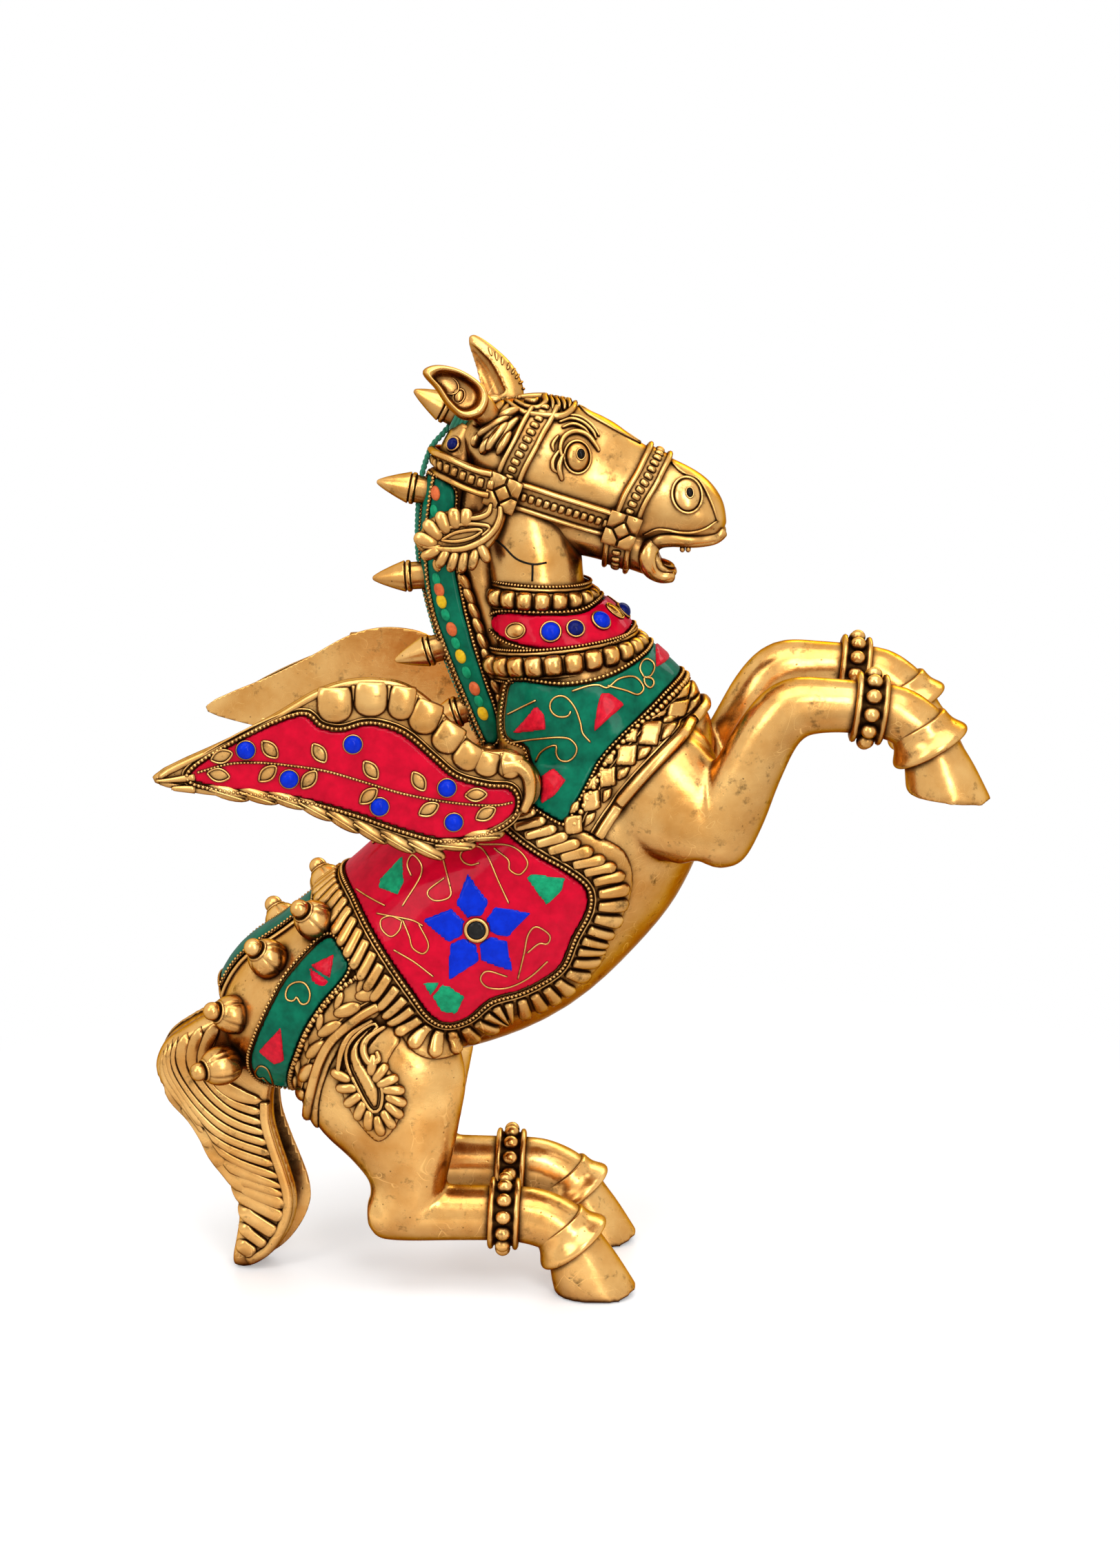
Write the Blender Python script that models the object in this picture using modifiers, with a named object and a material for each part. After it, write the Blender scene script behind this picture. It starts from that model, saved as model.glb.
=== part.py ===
"""Brass winged horse figurine with coloured inlays, modelled as the separate castings and settings it is made of.

Sizes are millimetres, turned into metres by MM. The horse faces +X and stands on the plane z = 0;
its right side is -Y and its left side is +Y. Body forms are lofts through elliptical sections,
and everything that lies on a body is cut from an offset of that same body.
"""

import math

import bmesh
import bpy
import numpy as np
from mathutils import Matrix, Vector

MM = 0.001
# The drawing's x at the middle of the figure, which the finished pieces have at x = 0
MIDDLE_X = -3.7
SIDES = (("right", -1), ("left", 1))

# Clearance between neighbouring pieces
GAP = 0.3

# Castings
TORSO_WALL = 4.0
CORE_VENT_RADIUS = 1.5
WING_THICKNESS = 4.0
WING_RECESS = 1.5
WING_SPREAD_DEG = 9.0
WING_ROOT = (-16.0, -38.0, 170.0)
WING_BOSS_RADIUS = 6.5
WING_STUD_RADIUS = 2.5
WING_STUD_DEPTH = 5.0
TAIL_HALF_WIDTH = 14.0
TAIL_TIP_HALF_WIDTH = 9.0
TAIL_WALL = 3.5

# Plates and settings that lie on the castings, as heights above them
INLAY_HEIGHT = 1.6
BORDER_HEIGHT = 3.2
BORDER_BASE = 1.4
BAND_HEIGHT = 2.6
STRAP_HEIGHT = 2.2
PLATE_HEIGHT = 3.2
ORNAMENT_HEIGHT = 2.4
FLOWER_HEIGHT = 1.2

# Tongues round the saddle: half widths of a foot and an end as shares of the pitch, and the way that they lean
TONGUE_PITCH = 4.2
TONGUE_START = 2.6
TONGUE_REACH = 12.6
TONGUE_FOOT = 0.36
TONGUE_END = 0.4
TONGUE_LEAN = 0.75
TONGUE_WAY = (0.6, -0.8)
TONGUE_TOP = 152.0
TONGUE_SPARE = 1.5

# Turned pieces
COLLAR_TUBE_RADIUS = 3.6
SPIKE_RADIUS = 5.2
SPIKE_STEM_RADIUS = 4.6
SPIKE_STEM_LENGTH = 6.5
SPIKE_CONE_LENGTH = 10.5
BELL_RADIUS = 6.2
BELL_LENGTH = 11.0
BELL_STEM_RADIUS = 3.0
BELL_TIP_RADIUS = 2.9
ANKLET_WIDTH = 10.0
ANKLET_WALL = 2.6
ANKLET_CLEARANCE = 0.9
ANKLET_BEAD_RADIUS = 2.6
ANKLET_BEADS = 12
CORD_RADIUS = 0.8

# Body forms: rows of (x, y, z, half depth, half width) along each spine
TORSO = [
    (-112, 0, 78, 6, 9),
    (-108, 0, 79.5, 16, 19),
    (-96, 0, 86, 25, 29),
    (-80, 0, 94, 28, 34),
    (-62, 0, 103, 32.5, 36),
    (-44, 0, 112, 37.5, 37),
    (-25, 0, 123, 40, 37),
    (-9, 0, 138, 40, 37),
    (5, 0, 153, 38, 36),
    (17, 0, 166, 32, 33),
    (27, 0, 178, 23, 26),
    (35, 0, 187, 12, 15),
    (38, 0, 191, 4, 6),
]
NECK = [
    (11, 0, 166, 24, 24),
    (8, 0, 177, 33, 29),
    (1, 0, 192, 29.5, 28),
    (-4.5, 0, 206, 23, 23.5),
    (-9.5, 0, 216, 18.5, 19.5),
    (-12, 0, 225, 15.5, 16.5),
    (-14, 0, 237, 16, 15.5),
    (-17, 0, 250, 15, 14.5),
    (-20, 0, 262, 12, 12),
]
CREST = [
    (-20, 0, 172, 4, 6),
    (-22.5, 0, 179, 7, 8.5),
    (-27.5, 0, 194, 8, 9.5),
    (-33, 0, 209, 8, 10),
    (-37.5, 0, 223, 8, 10),
    (-39.5, 0, 238, 8, 9.5),
    (-39, 0, 253, 7.5, 9),
    (-36, 0, 267, 7, 9),
    (-31.5, 0, 277, 6, 7),
]
SKULL = [
    (-34, 0, 268, 7, 6),
    (-31, 0, 268.5, 14, 12),
    (-23, 0, 267.5, 18.5, 16),
    (-11, 0, 264.5, 21.5, 17),
    (2, 0, 261, 20.5, 15.5),
    (13, 0, 257, 17.5, 13.5),
    (23, 0, 254.5, 15, 12),
    (33, 0, 252, 12.6, 12),
    (39.5, 0, 249, 9.8, 11),
    (44, 0, 246.3, 5.8, 8),
    (46.3, 0, 245, 2.5, 4),
]
JAW = [
    (-12, 0, 250, 10, 11),
    (4, 0, 246, 9.5, 10),
    (15, 0, 241, 7.5, 9),
    (24, 0, 236.5, 6.2, 8.2),
    (29.5, 0, 233.5, 5, 7),
    (32.3, 0, 232.3, 2.4, 4),
]
MOUTH = [(26, 237.6), (30, 239.4), (38, 239.4), (52, 238), (52, 228), (36, 231), (33, 235.2), (30, 236.4)]

# Right legs; the left ones are their mirror images
FORE_UPPER = [
    (8, -17, 172, 16, 12),
    (22, -22, 168, 21, 14),
    (34, -27, 160.5, 18, 13),
    (42.5, -30, 152.5, 12, 11),
    (45, -30.5, 149, 6, 7),
]
FORE_LOWER = [
    (40.8, -30, 146.4, 6, 6),
    (43.3, -30.5, 151.2, 11, 10),
    (48.4, -31, 162, 11.5, 10.5),
    (54.5, -32, 175.6, 10.3, 10),
    (61, -33, 188.2, 9.6, 9.6),
    (68, -33.5, 194.6, 9.5, 9.3),
    (78.6, -34, 195.6, 8.4, 8.4),
    (90.6, -34, 194.8, 8.2, 8.2),
    (99.2, -34, 193, 8.6, 8.5),
    (104.7, -34, 189.6, 9, 8.8),
    (107.3, -34, 187, 9.4, 9.2),
    (108.3, -34, 185.4, 11, 10.8),
    (109.3, -34, 183.4, 11, 10.8),
    (110.1, -34, 181.4, 9.5, 9.4),
    (112.7, -34, 174, 11, 10.4),
    (116.2, -34, 163, 13, 11.5),
]
HIND_THIGH = [
    (-66, -22, 98, 22, 11),
    (-63, -23, 82, 26, 14),
    (-58.5, -24, 65, 25.5, 14.5),
    (-54.5, -24, 50, 18, 13),
    (-53, -24, 38, 12.6, 11),
    (-54, -24, 27, 11, 9.5),
    (-54.5, -24, 20.5, 6.5, 6),
]
HIND_SHANK = [
    (-66, -24, 26.5, 4, 4.5),
    (-62.5, -24, 26.6, 8.2, 8),
    (-54, -24, 26.8, 9.3, 9),
    (-38, -24, 26.8, 9, 9),
    (-22, -24, 26.6, 8.8, 8.8),
    (-13, -24, 25.8, 9.5, 9.2),
    (-6.2, -24, 23.4, 9.7, 9.4),
    (-2.4, -24, 20.8, 9.9, 9.7),
    (-1.2, -24, 19.4, 11.6, 11.2),
    (0, -24, 17.4, 11.6, 11.2),
    (1, -24, 15.4, 10, 9.8),
    (4, -24, 8, 11.5, 10.2),
    (8.4, -24, -3, 13.5, 11),
]
FORE_SOLE_Z = 166.8
FORE_SOLE_TILT_DEG = 6.0

# Side-view outlines (x, z), read clockwise or anticlockwise round each region
SADDLE_INLAY = [
    (-76, 141), (-68, 131), (-62, 122.5), (-56, 114), (-49.5, 104.5), (-44.5, 96.8), (-39.5, 93.8),
    (-33, 95.8), (-26, 102), (-17, 104.5), (-9, 108.5), (-4, 113), (-0.5, 122), (4, 131), (4, 138),
    (-2, 143.5), (-12, 149), (-22, 156), (-34, 168), (-44, 180), (-64, 166),
]
SADDLE_OUTER = [
    (-90, 137), (-77, 124), (-70, 113), (-65, 105.5), (-60, 98.5), (-55, 91.5), (-50, 84.5), (-44, 81.5),
    (-37, 81.5), (-31, 84), (-26, 89.5), (-18, 94.5), (-11, 95), (-4, 98.5), (4, 104.5), (9.5, 112),
    (11, 119.5), (14.5, 125.5), (17.5, 133), (18.5, 141), (16.5, 148.5), (12, 152.5), (4, 156),
    (-5, 159.5), (-13, 164), (-22, 172), (-32, 183), (-40, 195), (-72, 175),
]
CHEST_INLAY = [
    (-17, 200), (-20, 193), (-20, 182.5), (-13.5, 180), (-12, 170), (-12.5, 161.5), (-3, 158.5), (2, 166),
    (9, 178), (18, 188), (27, 196), (36, 203), (30, 212), (22, 206.5), (10, 201.5), (-3, 199.5),
]
BREAST_BAND = [
    (-4, 156.8), (3, 164), (10, 176.3), (19, 186.5), (28, 194.6), (38, 202.8), (47, 203), (49, 194),
    (40, 187), (31, 180), (22.5, 171.5), (13, 159.5), (5, 149), (-5, 152),
]
NECK_INLAY = [
    (-25, 217.5), (-21, 220.5), (-10, 220.3), (2, 220), (10, 222.5), (20, 219), (15, 213), (5, 211.2),
    (-8, 210.3), (-19, 212), (-24, 214.5),
]
MANE_INLAY = [
    (-50, 262), (-48.5, 250), (-48.5, 237), (-46, 226), (-42.5, 214), (-37.5, 200), (-32.5, 187),
    (-28.5, 178), (-24, 179), (-24.5, 187), (-28.5, 199), (-32.5, 212), (-35.5, 224), (-37.5, 237),
    (-37.5, 250), (-38, 260),
]
CRUPPER_INLAY = [
    (-77, 118.5), (-72, 116), (-70, 110.5), (-78.5, 100), (-84.5, 90.6), (-88.3, 81.4), (-91, 73),
    (-93, 63), (-98.5, 67), (-102, 73), (-102, 79), (-100, 85), (-97.5, 91), (-93.8, 98.5), (-88.5, 107),
]
BREECH_BAND = [
    (-69, 108.5), (-77.3, 98), (-83.3, 89), (-87, 80), (-89.6, 71.5), (-91.6, 60), (-92, 52), (-82.5, 50),
    (-80.2, 66), (-77.8, 75), (-73.6, 84), (-68, 91), (-59.5, 97.5), (-61, 104),
]
SPINE_INLAY = [(-79, 114), (-88, 137), (-120, 108), (-106, 90)]
SPINE_INLAY_HALF_WIDTH = 9.0
HIP_ORNAMENT = [
    (-57.5, 93.5), (-64, 86.5), (-70.5, 80), (-73, 74), (-69.5, 65), (-64, 57.5), (-60.5, 55.5), (-56, 60),
    (-53.2, 67.5), (-55, 76), (-58, 80.5), (-56, 85), (-54, 88.5),
]
NOSEBAND = [
    (20.3, 274), (30.5, 271), (24, 255), (18.3, 240), (17.5, 229), (8, 229), (8.6, 240), (12.5, 252), (16.8, 262),
]
FRONT_PLATE = [(12.4, 252.4), (20.2, 250.2), (17, 241.8), (9.6, 244)]
REAR_PLATE = [(-23.5, 264.8), (-15.4, 261.6), (-18.8, 253.6), (-26.6, 256.8)]
CHEEK_STRAP = [(-17, 260.6), (13, 251.6), (11, 245.8), (-20, 254.8)]
BROWBAND = [(-24, 264), (-16, 260.5), (-6.2, 280), (-2, 292), (-11, 295), (-13.5, 283)]
POLL_STRAP = [(-23, 264.2), (-27, 256.8), (-38, 259.6), (-52, 262), (-52, 271), (-38, 269)]
FEATHER = [
    (-25.5, 255.4), (-21.4, 253), (-21.4, 249), (-25, 242), (-33, 235), (-41, 236.2), (-48.5, 241),
    (-47.4, 245.8), (-44.5, 249.8), (-36.8, 253), (-29.5, 252),
]
FEATHER_Y = (-17.5, -13.0)
WING_OUTLINE = [
    (-127.5, 177), (-104, 188), (-90.5, 194.5), (-78.5, 200.8), (-68.5, 204), (-59, 204.3), (-51.5, 202.6),
    (-44.5, 197.8), (-37.5, 190.2), (-31, 183.6), (-25, 181), (-18.5, 181.4), (-13.5, 178), (-12, 172),
    (-13, 165), (-19, 160), (-28, 155), (-36, 152.6), (-44, 151), (-53, 153.5), (-63, 157.5), (-74, 162.5),
    (-86, 167.6), (-100, 170), (-114, 171.6),
]
WING_INLAY = [
    (-116.5, 178), (-101, 188), (-83, 195.2), (-77, 191.4), (-70.5, 190), (-62, 191.8), (-52, 188.6),
    (-43.5, 181), (-36, 174.5), (-26, 171.4), (-19.5, 170.6), (-17.5, 166.5), (-19.5, 161.6), (-27, 157.6),
    (-39, 155.4), (-52.5, 159), (-67, 164.6), (-86, 170.2), (-108, 173.6),
]
TAIL_OUTLINE = [
    (-104, 86), (-113, 88.5), (-119, 87), (-126.5, 83), (-133, 78), (-136, 71), (-135, 65), (-131, 58.5),
    (-125.5, 52), (-122, 46), (-119, 39), (-114, 32), (-111, 25), (-110.2, 18), (-111.3, 10.5), (-112.6, 3.5),
    (-111.5, -1.5), (-106, -0.5), (-99.4, 5.4), (-94, 12.8), (-91.4, 20), (-91.4, 27), (-93.4, 35),
    (-96, 43.5), (-98, 52), (-98, 60), (-97, 70),
]
TAIL_HOLLOW = [
    (-92, 60), (-100, 62), (-110, 66), (-122, 70), (-127, 67), (-124, 59), (-118, 49), (-112, 38),
    (-106.5, 26), (-105, 14), (-106, 6), (-100, -4), (-86, 4), (-80, 40),
]

# Mane spikes as (foot x, foot z, direction angle from +X in degrees)
SPIKES = [(-33, 279, 152), (-43, 256.3, 170), (-44.5, 230.5, 184), (-38.5, 208.5, 197), (-30, 189, 199)]
CORD_PATH = [
    (-33.5, 285.5), (-36.3, 280.6), (-41, 275), (-44.8, 270.5), (-47.6, 263), (-48.8, 256), (-49.4, 247), (-49.4, 238),
    (-48.2, 230), (-46.6, 222), (-44.2, 213), (-42, 206.5), (-38.4, 197), (-34.6, 187.5), (-32, 180.5),
]
# Bells on the right of the rump: (foot x, y, z) and the way that they point
BELLS = [
    ((-77, -18, 118), (-0.52, -0.56, 0.62)),
    ((-92, -17, 105), (-0.52, -0.56, 0.62)),
    ((-102, -15.5, 89), (-0.74, -0.58, 0.3)),
    ((-106, -15, 75), (-0.8, -0.58, -0.08)),
]
FLOWER_CENTRE = (-29.7, 124.4)
FLOWER_PETAL_LENGTH = 17.5
FLOWER_PETAL_WIDTH = 5.2
FLOWER_WAIST = 9.0
FLOWER_HUB_RADIUS = 4.2
FLOWER_TURN_DEG = 95.0
PETALS = 5


def fresh_collections():
    """Empties the scene and returns the collections for the figure and for its cutters."""
    for obj in list(bpy.data.objects):
        bpy.data.objects.remove(obj)
    made = []
    for name in ("winged_horse", "cutters"):
        collection = bpy.data.collections.new(name)
        bpy.context.scene.collection.children.link(collection)
        made.append(collection)
    return made


FIGURE, CUTTERS = fresh_collections()


def material(name, colour, roughness, metallic):
    made = bpy.data.materials.new(name)
    made.use_nodes = True
    shader = made.node_tree.nodes["Principled BSDF"]
    shader.inputs["Base Color"].default_value = (*colour, 1)
    shader.inputs["Roughness"].default_value = roughness
    shader.inputs["Metallic"].default_value = metallic
    return made


BRASS = material("antique_brass", (0.70, 0.46, 0.17), 0.32, 1.0)
RED = material("red_inlay", (0.55, 0.01, 0.05), 0.25, 0.0)
GREEN = material("green_inlay", (0.0, 0.20, 0.11), 0.25, 0.0)
BLUE = material("blue_inlay", (0.01, 0.05, 0.55), 0.2, 0.0)
GREEN_CORD = material("green_cord", (0.0, 0.22, 0.14), 0.6, 0.0)


def helper(name, mesh):
    """An object for a cutter or a form in the making, kept out of the figure."""
    obj = bpy.data.objects.new(name, mesh)
    CUTTERS.objects.link(obj)
    obj.hide_render = True
    obj.display_type = "WIRE"
    return obj


def finish(obj, name, finish_material):
    """Turns a helper into a named piece of the figure."""
    CUTTERS.objects.unlink(obj)
    FIGURE.objects.link(obj)
    obj.hide_render = False
    obj.display_type = "TEXTURED"
    obj.name = name
    obj.data.name = name
    obj.data.transform(Matrix.Translation((-MM * MIDDLE_X, 0, 0)))
    obj.data.materials.clear()
    obj.data.materials.append(finish_material)
    obj.data.shade_smooth()
    obj.data.set_sharp_from_angle(angle=math.radians(40))
    return obj


def evaluated_mesh(obj):
    """An object's evaluated mesh, in world space, with loose caps welded and its faces turned outwards."""
    bpy.context.view_layer.update()
    graph = bpy.context.evaluated_depsgraph_get()
    mesh = bpy.data.meshes.new_from_object(obj.evaluated_get(graph))
    mesh.transform(obj.matrix_world)
    bm = bmesh.new()
    bm.from_mesh(mesh)
    bmesh.ops.remove_doubles(bm, verts=bm.verts, dist=1e-6)
    bmesh.ops.recalc_face_normals(bm, faces=bm.faces)
    bm.to_mesh(mesh)
    bm.free()
    return mesh


def settle(obj):
    """Replaces an object by one that holds its evaluated mesh."""
    mesh = evaluated_mesh(obj)
    name = obj.name
    bpy.data.objects.remove(obj)
    return helper(name, mesh)


def combine(obj, others, operation):
    """Applies Booleans one by one; EXACT leaves open meshes between these long lofts, so the solver is MANIFOLD."""
    for other in others:
        modifier = obj.modifiers.new(operation.lower(), "BOOLEAN")
        modifier.operation = operation
        modifier.solver = "MANIFOLD"
        modifier.object = other
        obj.data = evaluated_mesh(obj)
        obj.modifiers.clear()
    return obj


def cut(obj, *others):
    return combine(obj, others, "DIFFERENCE")


def keep(obj, *others):
    return combine(obj, others, "INTERSECT")


def join(obj, *others):
    return combine(obj, others, "UNION")


def largest_body(obj):
    """Drops the crumbs that a cut leaves apart from a piece."""
    bm = bmesh.new()
    bm.from_mesh(obj.data)
    left, bodies = set(bm.verts), []
    while left:
        body, edge = set(), {left.pop()}
        while edge:
            body |= edge
            edge = {e.other_vert(v) for v in edge for e in v.link_edges} - body
        left -= body
        bodies.append(body)
    bodies.sort(key=len)
    bmesh.ops.delete(bm, geom=[vertex for body in bodies[:-1] for vertex in body])
    bm.to_mesh(obj.data)
    bm.free()
    return obj


def smooth_rows(rows, steps, closed=False):
    """A smooth run of rows through the given ones, with a number of steps for each span."""
    rows = np.array(rows, float)
    if closed:
        padded = np.vstack([rows[-1], rows, rows[0], rows[1]])
        spans = len(rows)
    else:
        padded = np.vstack([2 * rows[0] - rows[1], rows, 2 * rows[-1] - rows[-2]])
        spans = len(rows) - 1
    run = []
    for span in range(spans):
        a, b, c, d = padded[span : span + 4]
        for t in np.arange(steps) / steps:
            cubic = 3 * b - a - 3 * c + d
            run.append(0.5 * (2 * b + (c - a) * t + (2 * a - 5 * b + 4 * c - d) * t**2 + cubic * t**3))
    if not closed:
        run.append(rows[-1])
    return np.array(run)


def unit(vectors):
    return vectors / np.linalg.norm(vectors, axis=-1, keepdims=True)


def mirrored(rows):
    """The same rows on the other side of the figure."""
    return [(x, -y, *rest) for x, y, *rest in rows]


def loft(rows, grow=0.0, sides=16, steps=1):
    """A closed body through elliptical sections set square to the spine, made larger all round by grow."""
    run = smooth_rows(rows, steps)
    centres, radii = run[:, :3], run[:, 3:5] + grow
    tangents = unit(np.gradient(centres, axis=0))
    centres[0] -= grow * tangents[0]
    centres[-1] += grow * tangents[-1]
    lateral = np.array([0.0, 1.0, 0.0])
    across = unit(lateral - tangents * (tangents @ lateral)[:, None])
    normals = np.cross(across, tangents)
    angles = 2 * math.pi * np.arange(sides) / sides
    bm = bmesh.new()
    rings = []
    for centre, normal, side, (depth, width) in zip(centres, normals, across, radii):
        points = [centre + depth * math.cos(a) * normal + width * math.sin(a) * side for a in angles]
        rings.append([bm.verts.new(MM * p) for p in points])
    for low, high in zip(rings, rings[1:]):
        for i in range(sides):
            j = (i + 1) % sides
            bm.faces.new((low[i], low[j], high[j], high[i]))
    bm.faces.new(rings[0])
    bm.faces.new(rings[-1])
    bmesh.ops.recalc_face_normals(bm, faces=bm.faces)
    mesh = bpy.data.meshes.new("loft")
    bm.to_mesh(mesh)
    bm.free()
    return helper("loft", mesh)


def prism(points, low, high, grow=0.0, steps=1, straight=False):
    """A side-view outline made solid between two lateral planes, grown outwards by grow."""
    run = np.array(points, float) if straight else smooth_rows(points, steps, closed=True)
    along = unit(np.roll(run, -1, axis=0) - np.roll(run, 1, axis=0))
    area = np.sum(run[:, 0] * np.roll(run[:, 1], -1) - np.roll(run[:, 0], -1) * run[:, 1])
    outward = np.stack([along[:, 1], -along[:, 0]], axis=1) * (1 if area > 0 else -1)
    run = run + grow * outward
    curve = bpy.data.curves.new("outline", "CURVE")
    curve.dimensions = "2D"
    curve.fill_mode = "BOTH"
    curve.extrude = MM * (high - low) / 2
    spline = curve.splines.new("POLY")
    spline.points.add(len(run) - 1)
    for point, (x, z) in zip(spline.points, run):
        point.co = (MM * x, MM * z, 0, 1)
    spline.use_cyclic_u = True
    obj = helper("prism", curve)
    obj.rotation_euler.x = math.pi / 2
    obj.location.y = MM * (low + high) / 2
    return settle(obj)


FAR = 90.0


def region(points, side=0, inner=3.0, **options):
    """A prism through the whole figure, or through one side of it from a distance off its middle plane."""
    low, high = {0: (-FAR, FAR), -1: (-FAR, -inner), 1: (inner, FAR)}[side]
    return prism(points, low, high, **options)


def frame_to(point, direction):
    """The matrix that puts local +Z along a direction, at a point in mm."""
    turn = Vector(direction).to_track_quat("Z", "Y").to_matrix().to_4x4()
    return Matrix.Translation(MM * Vector(point)) @ turn


def turned(profile, point, direction, steps):
    """A profile of (radius, height), from its top to its foot, turned about an axis along a direction."""
    mesh = bpy.data.meshes.new("turned")
    vertices = [(MM * r, 0, MM * h) for r, h in profile]
    mesh.from_pydata(vertices, [(i, i + 1) for i in range(len(vertices) - 1)], [])
    obj = helper("turned", mesh)
    obj.matrix_world = frame_to(point, direction)
    screw = obj.modifiers.new("screw", "SCREW")
    screw.steps = screw.render_steps = steps
    screw.use_merge_vertices = True
    screw.merge_threshold = 1e-5
    return settle(obj)


def cylinder(point, direction, radius, low, high, sides=16):
    """A round bar from one height to another along a direction."""
    bm = bmesh.new()
    bmesh.ops.create_cone(
        bm, cap_ends=True, segments=sides, radius1=MM * radius, radius2=MM * radius, depth=MM * (high - low)
    )
    mesh = bpy.data.meshes.new("cylinder")
    bm.to_mesh(mesh)
    bm.free()
    mesh.transform(frame_to(point, direction) @ Matrix.Translation((0, 0, MM * (low + high) / 2)))
    return helper("cylinder", mesh)


def torso_form(grow=0.0):
    return loft(TORSO, grow, sides=20)


def neck_form(grow=0.0):
    return loft(NECK, grow, sides=16)


def crest_form(grow=0.0):
    return loft(CREST, grow, sides=12)


def head_form(grow=0.0):
    return join(loft(SKULL, grow, sides=18), loft(JAW, grow, sides=12))


def trunk_form(grow=0.0):
    """The torso and neck together."""
    return join(torso_form(grow), neck_form(grow))


def side_rows(rows, side):
    return rows if side < 0 else mirrored(rows)


def thigh_form(side, grow=0.0):
    return loft(side_rows(HIND_THIGH, side), grow, sides=16)


def hip_form(side, grow=0.0):
    """The torso and one thigh together."""
    return join(torso_form(grow), thigh_form(side, grow))


def layer(form, low, high, *regions):
    """What lies between two heights above a form and inside every region."""
    return cut(keep(form(high), *regions), form(low))


def make_torso():
    vent_point = (NECK[1][0], 0, NECK[1][2])
    vent = cylinder(vent_point, (-0.4, 0, 0.9), CORE_VENT_RADIUS, -2 * TORSO_WALL, 60, sides=8)
    core = join(loft(TORSO[1:-1], -TORSO_WALL), vent)
    torso = cut(torso_form(), core)
    for side_name, side in SIDES:
        torso = cut(torso, wing_stud_bar(side, WING_STUD_RADIUS + GAP, GAP))
    finish(torso, "torso", BRASS)


def make_neck():
    neck = cut(neck_form(), torso_form(GAP), head_form(2 * GAP))
    finish(neck, "neck", BRASS)


def saddle_zone():
    """The space that the saddle takes up on the torso, with clearance."""
    return keep(torso_form(BORDER_HEIGHT + GAP), region(SADDLE_OUTER, grow=GAP))


def make_crest():
    crest = cut(crest_form(), neck_form(GAP), torso_form(GAP), head_form(GAP), saddle_zone(), cord(GAP))
    finish(crest, "mane_crest", BRASS)


def make_head():
    head = cut(head_form(), prism(MOUTH, -FAR, FAR))
    finish(head, "head", BRASS)


EAR_ROWS = {
    "right": [
        (-22.5, -8, 275, 4, 3.4), (-26, -12, 280.5, 4.6, 3.6), (-28.5, -15, 284, 7.4, 5), (-33, -18.5, 288, 8.4, 5.2),
        (-38, -20.5, 291.5, 7, 4.4), (-42.5, -22, 294.5, 3.8, 3), (-45.2, -22.6, 296, 1.2, 1.2),
    ],
    "left": [
        (-19.5, 6, 275, 4, 3.4), (-21, 9.5, 282, 4.4, 3.8), (-22.6, 12.5, 287, 6, 5), (-25.5, 14.5, 292.5, 5.8, 5.2),
        (-29, 15.5, 298, 4, 4), (-31.8, 16, 302, 2.3, 2.4), (-33.2, 16.2, 304, 0.9, 1),
    ],
}
EAR_BOWL_SHIFT = {"right": (1.0, -4.4, -0.6), "left": (-3.6, -2.6, 0.6)}
EAR_BOWL_INSET = 1.7


def make_ears():
    for side_name, rows in EAR_ROWS.items():
        shift = EAR_BOWL_SHIFT[side_name]
        bowl_rows = [
            (x + shift[0], y + shift[1], z + shift[2], depth - EAR_BOWL_INSET, width - EAR_BOWL_INSET / 2)
            for x, y, z, depth, width in rows[2:-1]
        ]
        ear = cut(loft(rows, sides=14), loft(bowl_rows, sides=12), head_form(GAP))
        finish(ear, f"{side_name}_ear", BRASS)


def fore_sole(side):
    """A block below the raised fore hoof, tilted as its sole is."""
    bm = bmesh.new()
    bmesh.ops.create_cube(bm, size=MM * 60)
    mesh = bpy.data.meshes.new("sole")
    bm.to_mesh(mesh)
    bm.free()
    tilt = Matrix.Rotation(math.radians(FORE_SOLE_TILT_DEG), 4, "Y")
    place = Matrix.Translation(MM * Vector((FORE_LOWER[-1][0], side * abs(FORE_LOWER[-1][1]), FORE_SOLE_Z)))
    mesh.transform(place @ tilt @ Matrix.Translation((0, 0, -MM * 30)))
    return helper("sole", mesh)


def floor_block():
    """Everything below the plane that the figure stands on."""
    bm = bmesh.new()
    bmesh.ops.create_cube(bm, size=MM * 400)
    mesh = bpy.data.meshes.new("floor")
    bm.to_mesh(mesh)
    bm.free()
    mesh.transform(Matrix.Translation((0, 0, -MM * 200)))
    return helper("floor", mesh)


def make_forelegs():
    for side_name, side in SIDES:
        upper = loft(side_rows(FORE_UPPER, side), sides=14)
        lower = loft(side_rows(FORE_LOWER, side), sides=12)
        leg = cut(join(upper, lower), torso_form(GAP), neck_form(GAP), fore_sole(side))
        leg = cut(leg, keep(trunk_form(BAND_HEIGHT + GAP), region(BREAST_BAND, grow=GAP)), saddle_zone())
        leg = cut(leg, keep(trunk_form(INLAY_HEIGHT + GAP), region(CHEST_INLAY, grow=GAP)))
        finish(largest_body(leg), f"{side_name}_foreleg", BRASS)


def make_hindlegs():
    for side_name, side in SIDES:
        shank = loft(side_rows(HIND_SHANK, side), sides=12)
        leg = cut(join(thigh_form(side), shank), torso_form(GAP), floor_block(), saddle_zone())
        finish(leg, f"{side_name}_hindleg", BRASS)


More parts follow.
